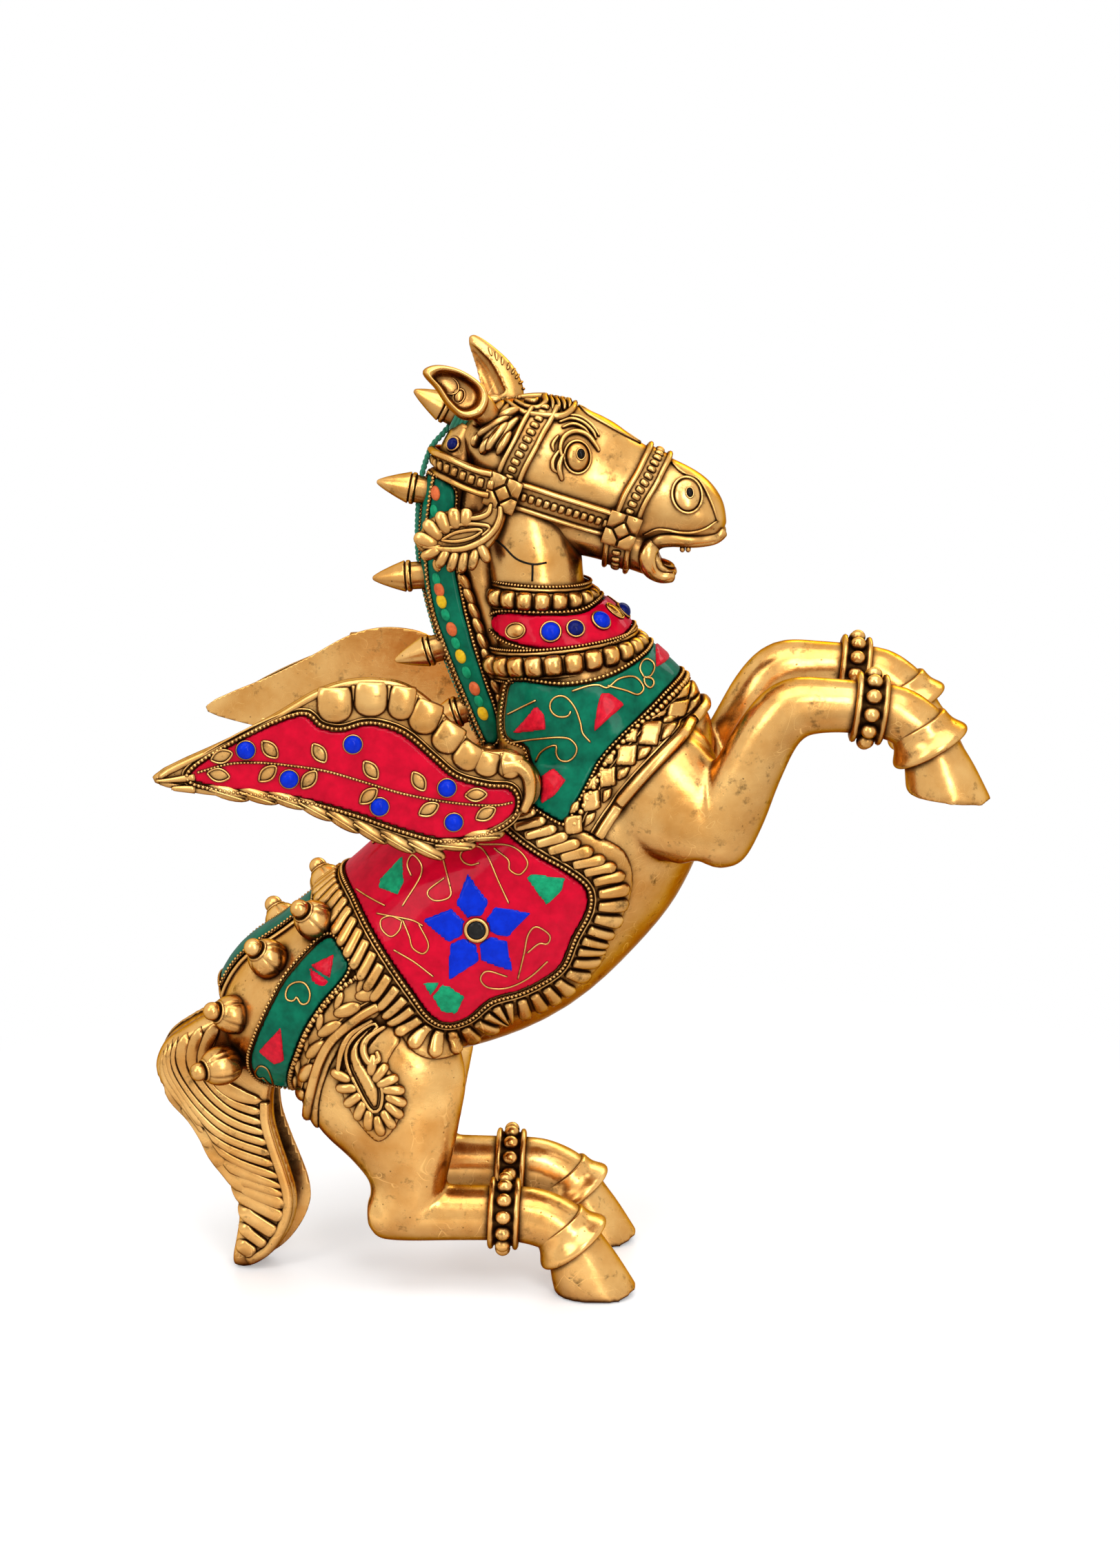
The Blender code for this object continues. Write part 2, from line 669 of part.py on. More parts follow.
def anklet(rows, index, side, leg_radius, name):
    """A flanged ring with a row of beads, slipped over a leg at one row of its spine."""
    x, y, z = rows[index][:3]
    ahead = np.array(rows[index + 1][:3]) - np.array(rows[index - 1][:3])
    direction = (ahead[0], -side * abs(ahead[1]) if side < 0 else abs(ahead[1]), ahead[2])
    point = (x, side * abs(y), z)
    inner = leg_radius + ANKLET_CLEARANCE
    outer = inner + ANKLET_WALL
    channel = inner + ANKLET_WALL / 2
    half, flange = ANKLET_WIDTH / 2, ANKLET_WIDTH / 5
    profile = [(outer, half), (outer, half - flange), (channel, half - flange), (channel, flange - half)]
    profile += [(outer, flange - half), (outer, -half)]
    rim = [(0, half), *profile, (0, -half)]
    ring = turned(rim, point, direction, steps=16)
    place = frame_to(point, direction)
    for bead in range(ANKLET_BEADS):
        angle = 2 * math.pi * bead / ANKLET_BEADS
        bm = bmesh.new()
        bmesh.ops.create_icosphere(bm, subdivisions=1, radius=MM * ANKLET_BEAD_RADIUS)
        mesh = bpy.data.meshes.new("bead")
        bm.to_mesh(mesh)
        bm.free()
        spot = MM * Vector((channel * math.cos(angle), channel * math.sin(angle), 0))
        mesh.transform(place @ Matrix.Translation(spot))
        ring = join(ring, helper("bead", mesh))
    ring = cut(ring, cylinder(point, direction, inner, -ANKLET_WIDTH, ANKLET_WIDTH, sides=16))
    finish(ring, name, BRASS)


def make_anklets():
    for side_name, side in SIDES:
        anklet(FORE_LOWER, 7, side, FORE_LOWER[7][3], f"{side_name}_fore_anklet")
        anklet(HIND_SHANK, 4, side, HIND_SHANK[4][3], f"{side_name}_hind_anklet")


def tail_taper(obj):
    """Narrows the tail towards its tip."""
    top = max(z for x, z in TAIL_OUTLINE)
    for vertex in obj.data.vertices:
        share = min(max(vertex.co.z / (MM * top), 0.0), 1.0)
        vertex.co.y *= TAIL_TIP_HALF_WIDTH / TAIL_HALF_WIDTH * (1 - share) + share
    return obj


def make_tail():
    solid = prism(TAIL_OUTLINE, -TAIL_HALF_WIDTH, TAIL_HALF_WIDTH, steps=2)
    inside = TAIL_HALF_WIDTH - TAIL_WALL
    tail = tail_taper(cut(solid, prism(TAIL_HOLLOW, -inside, inside)))
    tail = cut(tail, torso_form(GAP), floor_block())
    finish(tail, "tail", BRASS)


def wing_frame(side):
    """The matrix that swings a wing out from its flat side-view place, about its root."""
    root = MM * Vector((WING_ROOT[0], 0, 0))
    turn = Matrix.Rotation(side * -math.radians(WING_SPREAD_DEG), 4, "Z")
    shift = Matrix.Translation((0, MM * side * abs(WING_ROOT[1]), 0))
    return Matrix.Translation(root) @ shift @ turn @ Matrix.Translation(-root)


def wing_plate(points, side, low, high, grow=0.0):
    """A wing outline between two heights from the wing's inner face, on its swung plane."""
    inner, outer = sorted((side * low, side * high))
    plate = prism(points, inner, outer, grow=grow, steps=2)
    plate.data.transform(wing_frame(side))
    return plate


def wing_stud_bar(side, radius, spare):
    """The stud that joins a wing to the torso wall, along the lateral axis."""
    x, y, z = WING_ROOT
    reach = abs(y) + WING_STUD_DEPTH / 2
    foot = 20.0
    return cylinder((x, 0, z), (0, side, 0), radius, foot - spare, reach - WING_RECESS + spare)


def wing_boss_holes():
    """The round places, one on each side, where a wing's boss reaches the torso."""
    x, y, z = WING_ROOT
    return [cylinder((x, 0, z), (0, side, 0), WING_BOSS_RADIUS + GAP, 0, FAR) for name, side in SIDES]


def make_wings():
    for side_name, side in SIDES:
        x, y, z = WING_ROOT
        plate = wing_plate(WING_OUTLINE, side, 0.0, WING_THICKNESS)
        boss = cylinder((x, 0, z), (0, side, 0), WING_BOSS_RADIUS, 10, abs(y) + WING_THICKNESS / 3)
        wing = cut(join(plate, boss), torso_form(GAP), neck_form(GAP))
        pocket = wing_plate(WING_INLAY, side, WING_THICKNESS - WING_RECESS, WING_THICKNESS + 5, grow=GAP)
        wing = cut(wing, pocket, wing_stud_bar(side, WING_STUD_RADIUS + GAP, GAP))
        wing = cut(wing, cut(saddle_zone(), *wing_boss_holes()))
        wing = cut(wing, keep(trunk_form(INLAY_HEIGHT + GAP), region(CHEST_INLAY, grow=GAP)))
        finish(wing, f"{side_name}_wing", BRASS)
        low = WING_THICKNESS - WING_RECESS + GAP
        finish(wing_plate(WING_INLAY, side, low, WING_THICKNESS + GAP), f"{side_name}_wing_inlay", RED)
        finish(wing_stud_bar(side, WING_STUD_RADIUS, 0.0), f"{side_name}_wing_stud", BRASS)


def apart(first, second):
    """Whether an edge of one of two convex outlines keeps them on its two sides."""
    for one, other in ((first, second), (second, first)):
        one, other = np.array(one), np.array(other)
        for start, end in zip(one, np.roll(one, -1, axis=0)):
            across = np.array([start[1] - end[1], end[0] - start[0]])
            if np.max((one - start) @ across) < 1e-6 and np.min((other - start) @ across) > TONGUE_SPARE:
                return True
            if np.min((one - start) @ across) > -1e-6 and np.max((other - start) @ across) < -TONGUE_SPARE:
                return True
    return False


def tongue_outlines():
    """Side-view outlines of the saddle border's tongues, which leave its inlay side by side."""
    run = smooth_rows(SADDLE_INLAY, 4, closed=True)
    run = np.vstack([run, run[:1]])
    steps = np.linalg.norm(np.diff(run, axis=0), axis=1)
    along = np.concatenate([[0.0], np.cumsum(steps)])
    count = int(round(along[-1] / TONGUE_PITCH))
    spots = np.linspace(0, along[-1], count + 1)[:-1]
    feet = np.stack([np.interp(spots, along, column) for column in run.T], axis=1)
    ahead = unit(np.roll(feet, -1, axis=0) - np.roll(feet, 1, axis=0))
    outward = np.stack([-ahead[:, 1], ahead[:, 0]], axis=1)
    area = np.sum(feet[:, 0] * np.roll(feet[:, 1], -1) - np.roll(feet[:, 0], -1) * feet[:, 1])
    outward *= -1 if area > 0 else 1
    rear = np.clip((feet[:, 1] - 92) / 30, 0, 1) * (feet[:, 0] < -42)
    front = np.clip((feet[:, 1] - 136) / 10, 0, 1) * (feet[:, 0] > -30)
    lean = TONGUE_LEAN * np.maximum(rear, front)
    ends = feet + TONGUE_REACH * unit(outward + lean[:, None] * np.array(TONGUE_WAY))
    outlines = []
    for i in range(count):
        before, after = i - 1, (i + 1) % count
        if feet[i, 1] > TONGUE_TOP or np.linalg.norm(ends[after] - ends[before]) < TONGUE_PITCH:
            continue
        foot_side = TONGUE_FOOT * (feet[after] - feet[before]) / 2
        end_side = TONGUE_END * (ends[after] - ends[before]) / 2
        outline = [feet[i] + foot_side, ends[i] + end_side, ends[i] - end_side, feet[i] - foot_side]
        if all(apart(outline, other) for other in outlines):
            outlines.append(outline)
    return outlines


def make_saddle():
    inlay = layer(torso_form, GAP, INLAY_HEIGHT, region(SADDLE_INLAY))
    inlay = cut(inlay, *wing_boss_holes())
    border = layer(torso_form, GAP, BORDER_BASE, region(SADDLE_OUTER))
    inside, start = region(SADDLE_OUTER, grow=-GAP), region(SADDLE_INLAY, grow=TONGUE_START)
    for outline in tongue_outlines():
        zone = cut(keep(region(outline, straight=True), inside), start)
        tongue = layer(torso_form, BORDER_BASE / 2, BORDER_HEIGHT, zone)
        border = join(border, tongue)
    border = cut(border, region(SADDLE_INLAY, grow=GAP), neck_form(GAP), *wing_boss_holes())
    finish(inlay, "saddle_inlay", RED)
    finish(largest_body(border), "saddle_border", BRASS)
    for side_name, side in SIDES:
        outline = []
        for petal in range(PETALS):
            tip = math.radians(FLOWER_TURN_DEG + 360 * petal / PETALS)
            valley = tip + math.pi / PETALS
            for radius, angle in ((FLOWER_PETAL_LENGTH, tip), (FLOWER_WAIST, valley)):
                outline.append((FLOWER_CENTRE[0] + radius * math.cos(angle), FLOWER_CENTRE[1] + radius * math.sin(angle)))
        petals = region(outline, side, straight=True)
        flower = layer(torso_form, INLAY_HEIGHT + GAP, INLAY_HEIGHT + GAP + FLOWER_HEIGHT, petals)
        finish(flower, f"{side_name}_saddle_flower", BLUE)


def make_chest():
    saddle = saddle_zone()
    inlay = layer(trunk_form, GAP, INLAY_HEIGHT, region(CHEST_INLAY))
    inlay = cut(inlay, saddle, collar_ring(LOWER_COLLAR, GAP), crest_form(GAP))
    finish(inlay, "chest_inlay", GREEN)
    band = layer(trunk_form, GAP, BAND_HEIGHT, region(BREAST_BAND))
    band = cut(band, region(CHEST_INLAY, grow=GAP), saddle)
    finish(band, "breast_band", BRASS)


# Neck collars as (centre x, centre z, half length, half width, tilt in degrees)
UPPER_COLLAR = (-11.5, 224.6, 16.0, 17.0, -2.0)
LOWER_COLLAR = (-3.8, 206.6, 23.6, 24.4, 6.5)


def collar_ring(collar, grow=0.0):
    """A round-sectioned ring about the neck."""
    x, z, half_length, half_width, tilt = collar
    bpy.ops.mesh.primitive_torus_add(
        major_segments=26, minor_segments=7, major_radius=MM * half_width, minor_radius=MM * (COLLAR_TUBE_RADIUS + grow)
    )
    ring = bpy.context.object
    for collection in list(ring.users_collection):
        collection.objects.unlink(ring)
    CUTTERS.objects.link(ring)
    ring.data.transform(Matrix.Diagonal((half_length / half_width, 1, 1, 1)))
    ring.matrix_world = Matrix.Translation((MM * x, 0, MM * z)) @ Matrix.Rotation(-math.radians(tilt), 4, "Y")
    return settle(ring)


def make_collars():
    for name, collar in (("upper_collar", UPPER_COLLAR), ("lower_collar", LOWER_COLLAR)):
        ring = cut(collar_ring(collar), neck_form(GAP), crest_form(GAP), torso_form(GAP))
        finish(ring, name, BRASS)
    inlay = layer(neck_form, GAP, INLAY_HEIGHT, region(NECK_INLAY))
    inlay = cut(inlay, collar_ring(UPPER_COLLAR, GAP), collar_ring(LOWER_COLLAR, GAP), crest_form(GAP))
    finish(inlay, "neck_inlay", RED)


def spike(foot_x, foot_z, angle, grow=0.0):
    """A cone on a banded stem; its foot lies below the crest's surface."""
    direction = (math.cos(math.radians(angle)), 0, math.sin(math.radians(angle)))
    stem, cone = SPIKE_STEM_RADIUS + grow, SPIKE_RADIUS + grow
    top = SPIKE_STEM_LENGTH + SPIKE_CONE_LENGTH
    profile = [
        (0, top + grow), (0.8, top - 0.6), (cone * 0.62, SPIKE_STEM_LENGTH + SPIKE_CONE_LENGTH * 0.45),
        (cone, SPIKE_STEM_LENGTH + 0.8), (cone, SPIKE_STEM_LENGTH), (stem, SPIKE_STEM_LENGTH - 0.8),
        (stem, -grow), (0, -grow),
    ]
    return turned(profile, (foot_x, 0, foot_z), direction, steps=9)


def make_mane():
    for number, (foot_x, foot_z, angle) in enumerate(SPIKES, 1):
        piece = cut(spike(foot_x, foot_z, angle), crest_form(GAP), head_form(GAP), neck_form(GAP), cord(GAP))
        finish(piece, f"mane_spike_{number}", BRASS)
    spikes = [spike(*row, grow=GAP) for row in SPIKES]
    feather = [feather_plate(side, GAP) for side_name, side in SIDES]
    for side_name, side in SIDES:
        strip = layer(crest_form, GAP, INLAY_HEIGHT, region(MANE_INLAY, side))
        strip = cut(strip, neck_form(GAP), head_form(GAP), torso_form(GAP), *spikes, *feather, strap_zone(POLL_STRAP))
        strip = cut(strip, collar_ring(LOWER_COLLAR, GAP), collar_ring(UPPER_COLLAR, GAP))
        finish(strip, f"{side_name}_mane_inlay", GREEN)


def strap_zone(points):
    """The space that a strap takes up round the head, with clearance."""
    return keep(nape_form(STRAP_HEIGHT + GAP), region(points, grow=GAP, straight=True))


def nape_form(grow=0.0):
    """The head and crest together, which the poll strap goes round."""
    return join(head_form(grow), crest_form(grow), neck_form(grow))


def feather_plate(side, grow=0.0):
    low, high = sorted(side * -y for y in FEATHER_Y)
    return prism(FEATHER, low - grow, high + grow, grow=grow, steps=2)


def make_bridle():
    front_plates, rear_plates = region(FRONT_PLATE, grow=GAP, straight=True), region(REAR_PLATE, grow=GAP, straight=True)
    noseband = cut(layer(head_form, GAP, STRAP_HEIGHT, region(NOSEBAND)), front_plates)
    browband = cut(layer(head_form, GAP, STRAP_HEIGHT, region(BROWBAND, straight=True)), rear_plates, crest_form(GAP))
    poll = cut(layer(nape_form, GAP, STRAP_HEIGHT, region(POLL_STRAP, straight=True)), rear_plates)
    poll = cut(poll, region(BROWBAND, straight=True, grow=GAP), cord(GAP), *[spike(*row, grow=GAP) for row in SPIKES])
    finish(noseband, "noseband", BRASS)
    finish(browband, "browband", BRASS)
    finish(poll, "poll_strap", BRASS)
    for side_name, side in SIDES:
        strap = layer(head_form, GAP, STRAP_HEIGHT, region(CHEEK_STRAP, side, straight=True))
        strap = cut(strap, region(BROWBAND, grow=GAP, straight=True))
        plates = [layer(head_form, 1.5 * GAP, PLATE_HEIGHT, region(p, side, straight=True)) for p in (FRONT_PLATE, REAR_PLATE)]
        finish(join(strap, *plates), f"{side_name}_cheek_strap", BRASS)
        feather = cut(feather_plate(side), head_form(GAP), neck_form(GAP), crest_form(GAP))
        feather = cut(feather, keep(head_form(PLATE_HEIGHT + GAP), region(REAR_PLATE, grow=GAP, straight=True)))
        feather = cut(feather, strap_zone(POLL_STRAP))
        finish(feather, f"{side_name}_feather_ornament", BRASS)


# How far off the middle plane the hip's outer surface starts
HIP_FROM = 24.0


def make_rump():
    saddle = region(SADDLE_OUTER, grow=GAP)
    spine = prism(SPINE_INLAY, -SPINE_INLAY_HALF_WIDTH, SPINE_INLAY_HALF_WIDTH, straight=True)
    inlay = cut(layer(torso_form, GAP, INLAY_HEIGHT, spine), saddle, tail_block(GAP))
    finish(inlay, "rump_inlay", GREEN)
    for side_name, side in SIDES:
        def hip(grow=0.0):
            return hip_form(side, grow)
        inlay = layer(hip, GAP, INLAY_HEIGHT, region(CRUPPER_INLAY, side, inner=HIP_FROM / 2))
        inlay = cut(inlay, saddle, tail_block(GAP))
        finish(inlay, f"{side_name}_crupper_inlay", GREEN)
        band = layer(hip, GAP, BAND_HEIGHT, region(BREECH_BAND, side, inner=HIP_FROM / 2))
        band = cut(band, saddle, region(CRUPPER_INLAY, grow=GAP))
        finish(band, f"{side_name}_breech_band", BRASS)
        ornament = layer(hip, GAP, ORNAMENT_HEIGHT, region(HIP_ORNAMENT, side, inner=HIP_FROM))
        ornament = cut(ornament, saddle, region(BREECH_BAND, grow=GAP))
        finish(ornament, f"{side_name}_hip_ornament", BRASS)


def tail_block(grow):
    """The space that the tail takes up, with clearance."""
    return tail_taper(prism(TAIL_OUTLINE, -TAIL_HALF_WIDTH - grow, TAIL_HALF_WIDTH + grow, grow=grow))


def bell(foot, direction, grow=0.0):
    """A bud-shaped bell with a ball at its tip, on a short stem."""
    bulb, stem = BELL_RADIUS + grow, BELL_STEM_RADIUS + grow
    stem_top = 4.0
    profile = [(0, stem_top + BELL_LENGTH + 2 * BELL_TIP_RADIUS - 1)]
    ball_centre = stem_top + BELL_LENGTH + BELL_TIP_RADIUS - 1
    for angle in (50, 90, 130):
        a = math.radians(angle)
        profile.append((BELL_TIP_RADIUS * math.sin(a), ball_centre + BELL_TIP_RADIUS * math.cos(a)))
    for share, width in ((0.9, 0.55), (0.72, 0.85), (0.45, 1.0), (0.2, 0.86), (0.05, 0.6)):
        profile.append((bulb * width, stem_top + BELL_LENGTH * share))
    profile += [(stem, stem_top), (stem, -grow), (0, -grow)]
    return turned(profile, foot, direction, steps=9)


def make_bells():
    for number, (foot, direction) in enumerate(BELLS, 1):
        for side_name, side in SIDES:
            point = (foot[0], side * abs(foot[1]), foot[2])
            way = (direction[0], side * abs(direction[1]), direction[2])
            piece = cut(bell(point, way), torso_form(GAP), tail_block(GAP), saddle_zone())
            finish(piece, f"{side_name}_bell_{number}", BRASS)


def cord(grow=0.0):
    """The cord along the back of the mane, through the stems of the spikes."""
    curve = bpy.data.curves.new("cord", "CURVE")
    curve.dimensions = "3D"
    curve.bevel_depth = MM * (CORD_RADIUS + grow)
    curve.bevel_resolution = 0
    curve.use_fill_caps = True
    run = smooth_rows(CORD_PATH, 2)
    spline = curve.splines.new("POLY")
    spline.points.add(len(run) - 1)
    for point, (x, z) in zip(spline.points, run):
        point.co = (MM * x, 0, MM * z, 1)
    return settle(helper("cord", curve))


def make_cord():
    finish(cord(), "mane_cord", GREEN_CORD)


def main():
    make_torso()
    make_neck()
    make_crest()
    make_head()
    make_ears()
    make_forelegs()
    make_hindlegs()
    make_anklets()
    make_tail()
    make_wings()
    make_saddle()
    make_chest()
    make_collars()
    make_mane()
    make_cord()
    make_bridle()
    make_rump()
    make_bells()
    for obj in list(CUTTERS.objects):
        bpy.data.objects.remove(obj)


main()
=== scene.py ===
"""Looks of the brass winged horse figurine: castings, settings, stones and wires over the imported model.

Sizes are millimetres in the drawing's frame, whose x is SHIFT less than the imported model's.
The horse faces +X; its right side is -Y and the left side mirrors it.
"""

import math

import bmesh
import bpy
import numpy as np
from mathutils import Matrix, Vector
from mathutils.bvhtree import BVHTree


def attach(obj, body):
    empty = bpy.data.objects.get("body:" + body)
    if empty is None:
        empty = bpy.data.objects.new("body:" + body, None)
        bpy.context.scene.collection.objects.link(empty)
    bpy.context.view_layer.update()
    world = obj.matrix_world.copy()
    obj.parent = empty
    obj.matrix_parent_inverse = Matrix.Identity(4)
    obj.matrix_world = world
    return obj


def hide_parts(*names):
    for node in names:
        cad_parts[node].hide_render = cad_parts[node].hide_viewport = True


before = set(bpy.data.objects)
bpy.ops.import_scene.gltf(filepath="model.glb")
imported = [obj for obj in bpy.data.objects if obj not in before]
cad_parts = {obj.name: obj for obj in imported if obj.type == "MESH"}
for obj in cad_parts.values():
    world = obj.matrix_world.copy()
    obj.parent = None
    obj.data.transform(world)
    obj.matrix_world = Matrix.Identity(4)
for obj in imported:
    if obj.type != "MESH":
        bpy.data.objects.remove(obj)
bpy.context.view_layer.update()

MM = 0.001
SHIFT = np.array([3.7, 0.0, 0.0])
RIGHT, LEFT = SIDES = (-1, 1)
SIDE_NAMES = {RIGHT: "right", LEFT: "left"}

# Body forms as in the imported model: rows of (x, y, z, half depth, half width) along each spine
TORSO = [
    (-112, 0, 78, 6, 9), (-108, 0, 79.5, 16, 19), (-96, 0, 86, 25, 29), (-80, 0, 94, 28, 34),
    (-62, 0, 103, 32.5, 36), (-44, 0, 112, 37.5, 37), (-25, 0, 123, 40, 37), (-9, 0, 138, 40, 37),
    (5, 0, 153, 38, 36), (17, 0, 166, 32, 33), (27, 0, 178, 23, 26), (35, 0, 187, 12, 15),
    (38, 0, 191, 4, 6),
]
NECK = [
    (11, 0, 166, 24, 24), (8, 0, 177, 33, 29), (1, 0, 192, 29.5, 28), (-4.5, 0, 206, 23, 23.5),
    (-9.5, 0, 216, 18.5, 19.5), (-12, 0, 225, 15.5, 16.5), (-14, 0, 237, 16, 15.5), (-17, 0, 250, 15, 14.5),
    (-20, 0, 262, 12, 12),
]
CREST = [
    (-20, 0, 172, 4, 6), (-22.5, 0, 179, 7, 8.5), (-27.5, 0, 194, 8, 9.5), (-33, 0, 209, 8, 10),
    (-37.5, 0, 223, 8, 10), (-39.5, 0, 238, 8, 9.5), (-39, 0, 253, 7.5, 9), (-36, 0, 267, 7, 9),
    (-31.5, 0, 277, 6, 7),
]
SKULL = [
    (-34, 0, 268, 7, 6), (-31, 0, 268.5, 14, 12), (-23, 0, 267.5, 18.5, 16), (-11, 0, 264.5, 21.5, 17),
    (2, 0, 261, 20.5, 15.5), (13, 0, 257, 17.5, 13.5), (23, 0, 254.5, 15, 12), (33, 0, 252, 12.6, 12),
    (39.5, 0, 249, 9.8, 11), (44, 0, 246.3, 5.8, 8), (46.3, 0, 245, 2.5, 4),
]
JAW = [
    (-12, 0, 250, 10, 11), (4, 0, 246, 9.5, 10), (15, 0, 241, 7.5, 9), (24, 0, 236.5, 6.2, 8.2),
    (29.5, 0, 233.5, 5, 7), (32.3, 0, 232.3, 2.4, 4),
]
FORE_UPPER = [
    (8, -17, 172, 16, 12), (22, -22, 168, 21, 14), (34, -27, 160.5, 18, 13), (42.5, -30, 152.5, 12, 11),
    (45, -30.5, 149, 6, 7),
]
FORE_LOWER = [
    (40.8, -30, 146.4, 6, 6), (43.3, -30.5, 151.2, 11, 10), (48.4, -31, 162, 11.5, 10.5),
    (54.5, -32, 175.6, 10.3, 10), (61, -33, 188.2, 9.6, 9.6), (68, -33.5, 194.6, 9.5, 9.3),
    (78.6, -34, 195.6, 8.4, 8.4), (90.6, -34, 194.8, 8.2, 8.2), (99.2, -34, 193, 8.6, 8.5),
    (104.7, -34, 189.6, 8.6, 8.5), (107.3, -34, 187, 8.5, 8.5), (108.3, -34, 185.4, 8.7, 8.6),
    (109.3, -34, 183.4, 8.9, 8.8), (110.1, -34, 181.4, 9.1, 9), (112.7, -34, 174, 11, 10.4),
    (116.2, -34, 163, 13, 11.5),
]
FORE_SOLE = ((116.2, -34, 166.8), 6.0)
HIND_THIGH = [
    (-66, -22, 98, 22, 11), (-63, -23, 82, 26, 14), (-58.5, -24, 65, 25.5, 14.5), (-54.5, -24, 50, 18, 13),
    (-53, -24, 38, 12.6, 11), (-54, -24, 27, 11, 9.5), (-54.5, -24, 20.5, 6.5, 6),
]
HIND_SHANK = [
    (-66, -24, 26.5, 4, 4.5), (-62.5, -24, 26.6, 8.2, 8), (-54, -24, 26.8, 9.3, 9), (-38, -24, 26.8, 9, 9),
    (-22, -24, 26.6, 8.8, 8.8), (-13, -24, 25.8, 9.2, 9), (-6.2, -24, 23.4, 9.1, 9),
    (-2.4, -24, 20.8, 9, 9), (-1.2, -24, 19.4, 9.2, 9.1), (0, -24, 17.4, 9.4, 9.2),
    (1, -24, 15.4, 9.6, 9.4), (4, -24, 8, 11.5, 10.2), (8.4, -24, -3, 13.5, 11),
]

# Side-view outlines (x, z)
SADDLE_INLAY = [
    (-76, 141), (-68, 131), (-62, 122.5), (-56, 114), (-49.5, 104.5), (-44.5, 96.8), (-39.5, 93.8),
    (-33, 95.8), (-26, 102), (-17, 104.5), (-9, 108.5), (-4, 113), (-0.5, 122), (4, 131), (4, 138),
    (-2, 143.5), (-12, 149), (-22, 156), (-34, 168), (-44, 180), (-64, 166),
]
SADDLE_OUTER = [
    (-90, 137), (-77, 124), (-70, 113), (-65, 105.5), (-60, 98.5), (-55, 91.5), (-50, 84.5), (-44, 81.5),
    (-37, 81.5), (-31, 84), (-26, 89.5), (-18, 94.5), (-11, 95), (-4, 98.5), (4, 104.5), (9.5, 112),
    (11, 119.5), (14.5, 125.5), (17.5, 133), (18.5, 141), (16.5, 148.5), (12, 152.5), (4, 156),
    (-5, 159.5), (-13, 164), (-22, 172), (-32, 183), (-40, 195), (-72, 175),
]
CHEST_INLAY = [
    (-17, 200), (-20, 193), (-20, 182.5), (-13.5, 180), (-12, 170), (-12.5, 161.5), (-3, 158.5), (2, 166),
    (9, 178), (18, 188), (27, 196), (36, 203), (30, 212), (22, 206.5), (10, 201.5), (-3, 199.5),
]
BREAST_BAND = [
    (-4, 156.8), (3, 164), (10, 176.3), (19, 186.5), (28, 194.6), (38, 202.8), (47, 203), (49, 194),
    (40, 187), (31, 180), (22.5, 171.5), (13, 159.5), (5, 149), (-5, 152),
]
NECK_INLAY = [
    (-25, 217.5), (-21, 220.5), (-10, 220.3), (2, 220), (10, 222.5), (20, 219), (15, 213), (5, 211.2),
    (-8, 210.3), (-19, 212), (-24, 214.5),
]
MANE_INLAY = [
    (-50, 262), (-48.5, 250), (-48.5, 237), (-46, 226), (-42.5, 214), (-37.5, 200), (-32.5, 187),
    (-28.5, 178), (-24, 179), (-24.5, 187), (-28.5, 199), (-32.5, 212), (-35.5, 224), (-37.5, 237),
    (-37.5, 250), (-38, 260),
]
CRUPPER_INLAY = [
    (-77, 118.5), (-72, 116), (-70, 110.5), (-78.5, 100), (-84.5, 90.6), (-88.3, 81.4), (-91, 73),
    (-93, 63), (-98.5, 67), (-102, 73), (-102, 79), (-100, 85), (-97.5, 91), (-93.8, 98.5), (-88.5, 107),
]
BREECH_BAND = [
    (-69, 108.5), (-77.3, 98), (-83.3, 89), (-87, 80), (-89.6, 71.5), (-91.6, 60), (-92, 52), (-82.5, 50),
    (-80.2, 66), (-77.8, 75), (-73.6, 84), (-68, 91), (-59.5, 97.5), (-61, 104),
]
SPINE_INLAY = [(-79, 114), (-88, 137), (-120, 108), (-106, 90)]
SPINE_HALF_WIDTH = 9.0

# Inlays and their metal bands lie on a bed just over the skin; an inlay's edge is softened
BED, INLAY_HEIGHT, INLAY_EDGE = 0.1, 1.6, 0.6
# The foot of a plate's rounded edge, as a share of its thickness
EDGE_FOOT = 0.3
# Further off than anything in the drawing
FAR_OFF = 1e12


def unit(vectors):
    return vectors / np.maximum(np.linalg.norm(vectors, axis=-1, keepdims=True), 1e-12)


def smooth_rows(rows, steps, closed=False):
    """A smooth run of rows through the given ones, with a number of steps for each span."""
    rows = np.array(rows, float)
    if closed:
        padded = np.vstack([rows[-1], rows, rows[0], rows[1]])
    else:
        padded = np.vstack([2 * rows[0] - rows[1], rows, 2 * rows[-1] - rows[-2]])
    spans = len(padded) - 3
    t = (np.arange(steps) / steps)[:, None]
    run = []
    for span in range(spans):
        a, b, c, d = padded[span : span + 4]
        cubic = 3 * b - a - 3 * c + d
        run.append(0.5 * (2 * b + (c - a) * t + (2 * a - 5 * b + 4 * c - d) * t**2 + cubic * t**3))
    if not closed:
        run.append(rows[-1:])
    return np.vstack(run)


def mirrored(rows):
    return [(row[0], -row[1], *row[2:]) for row in rows]


def circle(count):
    """Even angles round a circle."""
    return 2 * math.pi * np.arange(count) / count


def heading(turn):
    """The side-view direction that lies a number of degrees above +X."""
    turn = math.radians(turn)
    return np.array([math.cos(turn), 0.0, math.sin(turn)])


def side_view(rows, y=0.0):
    """Points of side-view (x, z) rows, moved off the middle plane."""
    rows = np.asarray(rows, float)
    return np.stack([rows[:, 0], y + 0 * rows[:, 0], rows[:, 1]], axis=1)


def halves(run):
    """The points and the normals of a run of (point, normal) columns."""
    return run[:, :3], run[:, 3:6]


def looped(run):
    return np.vstack([run, run[:1]])


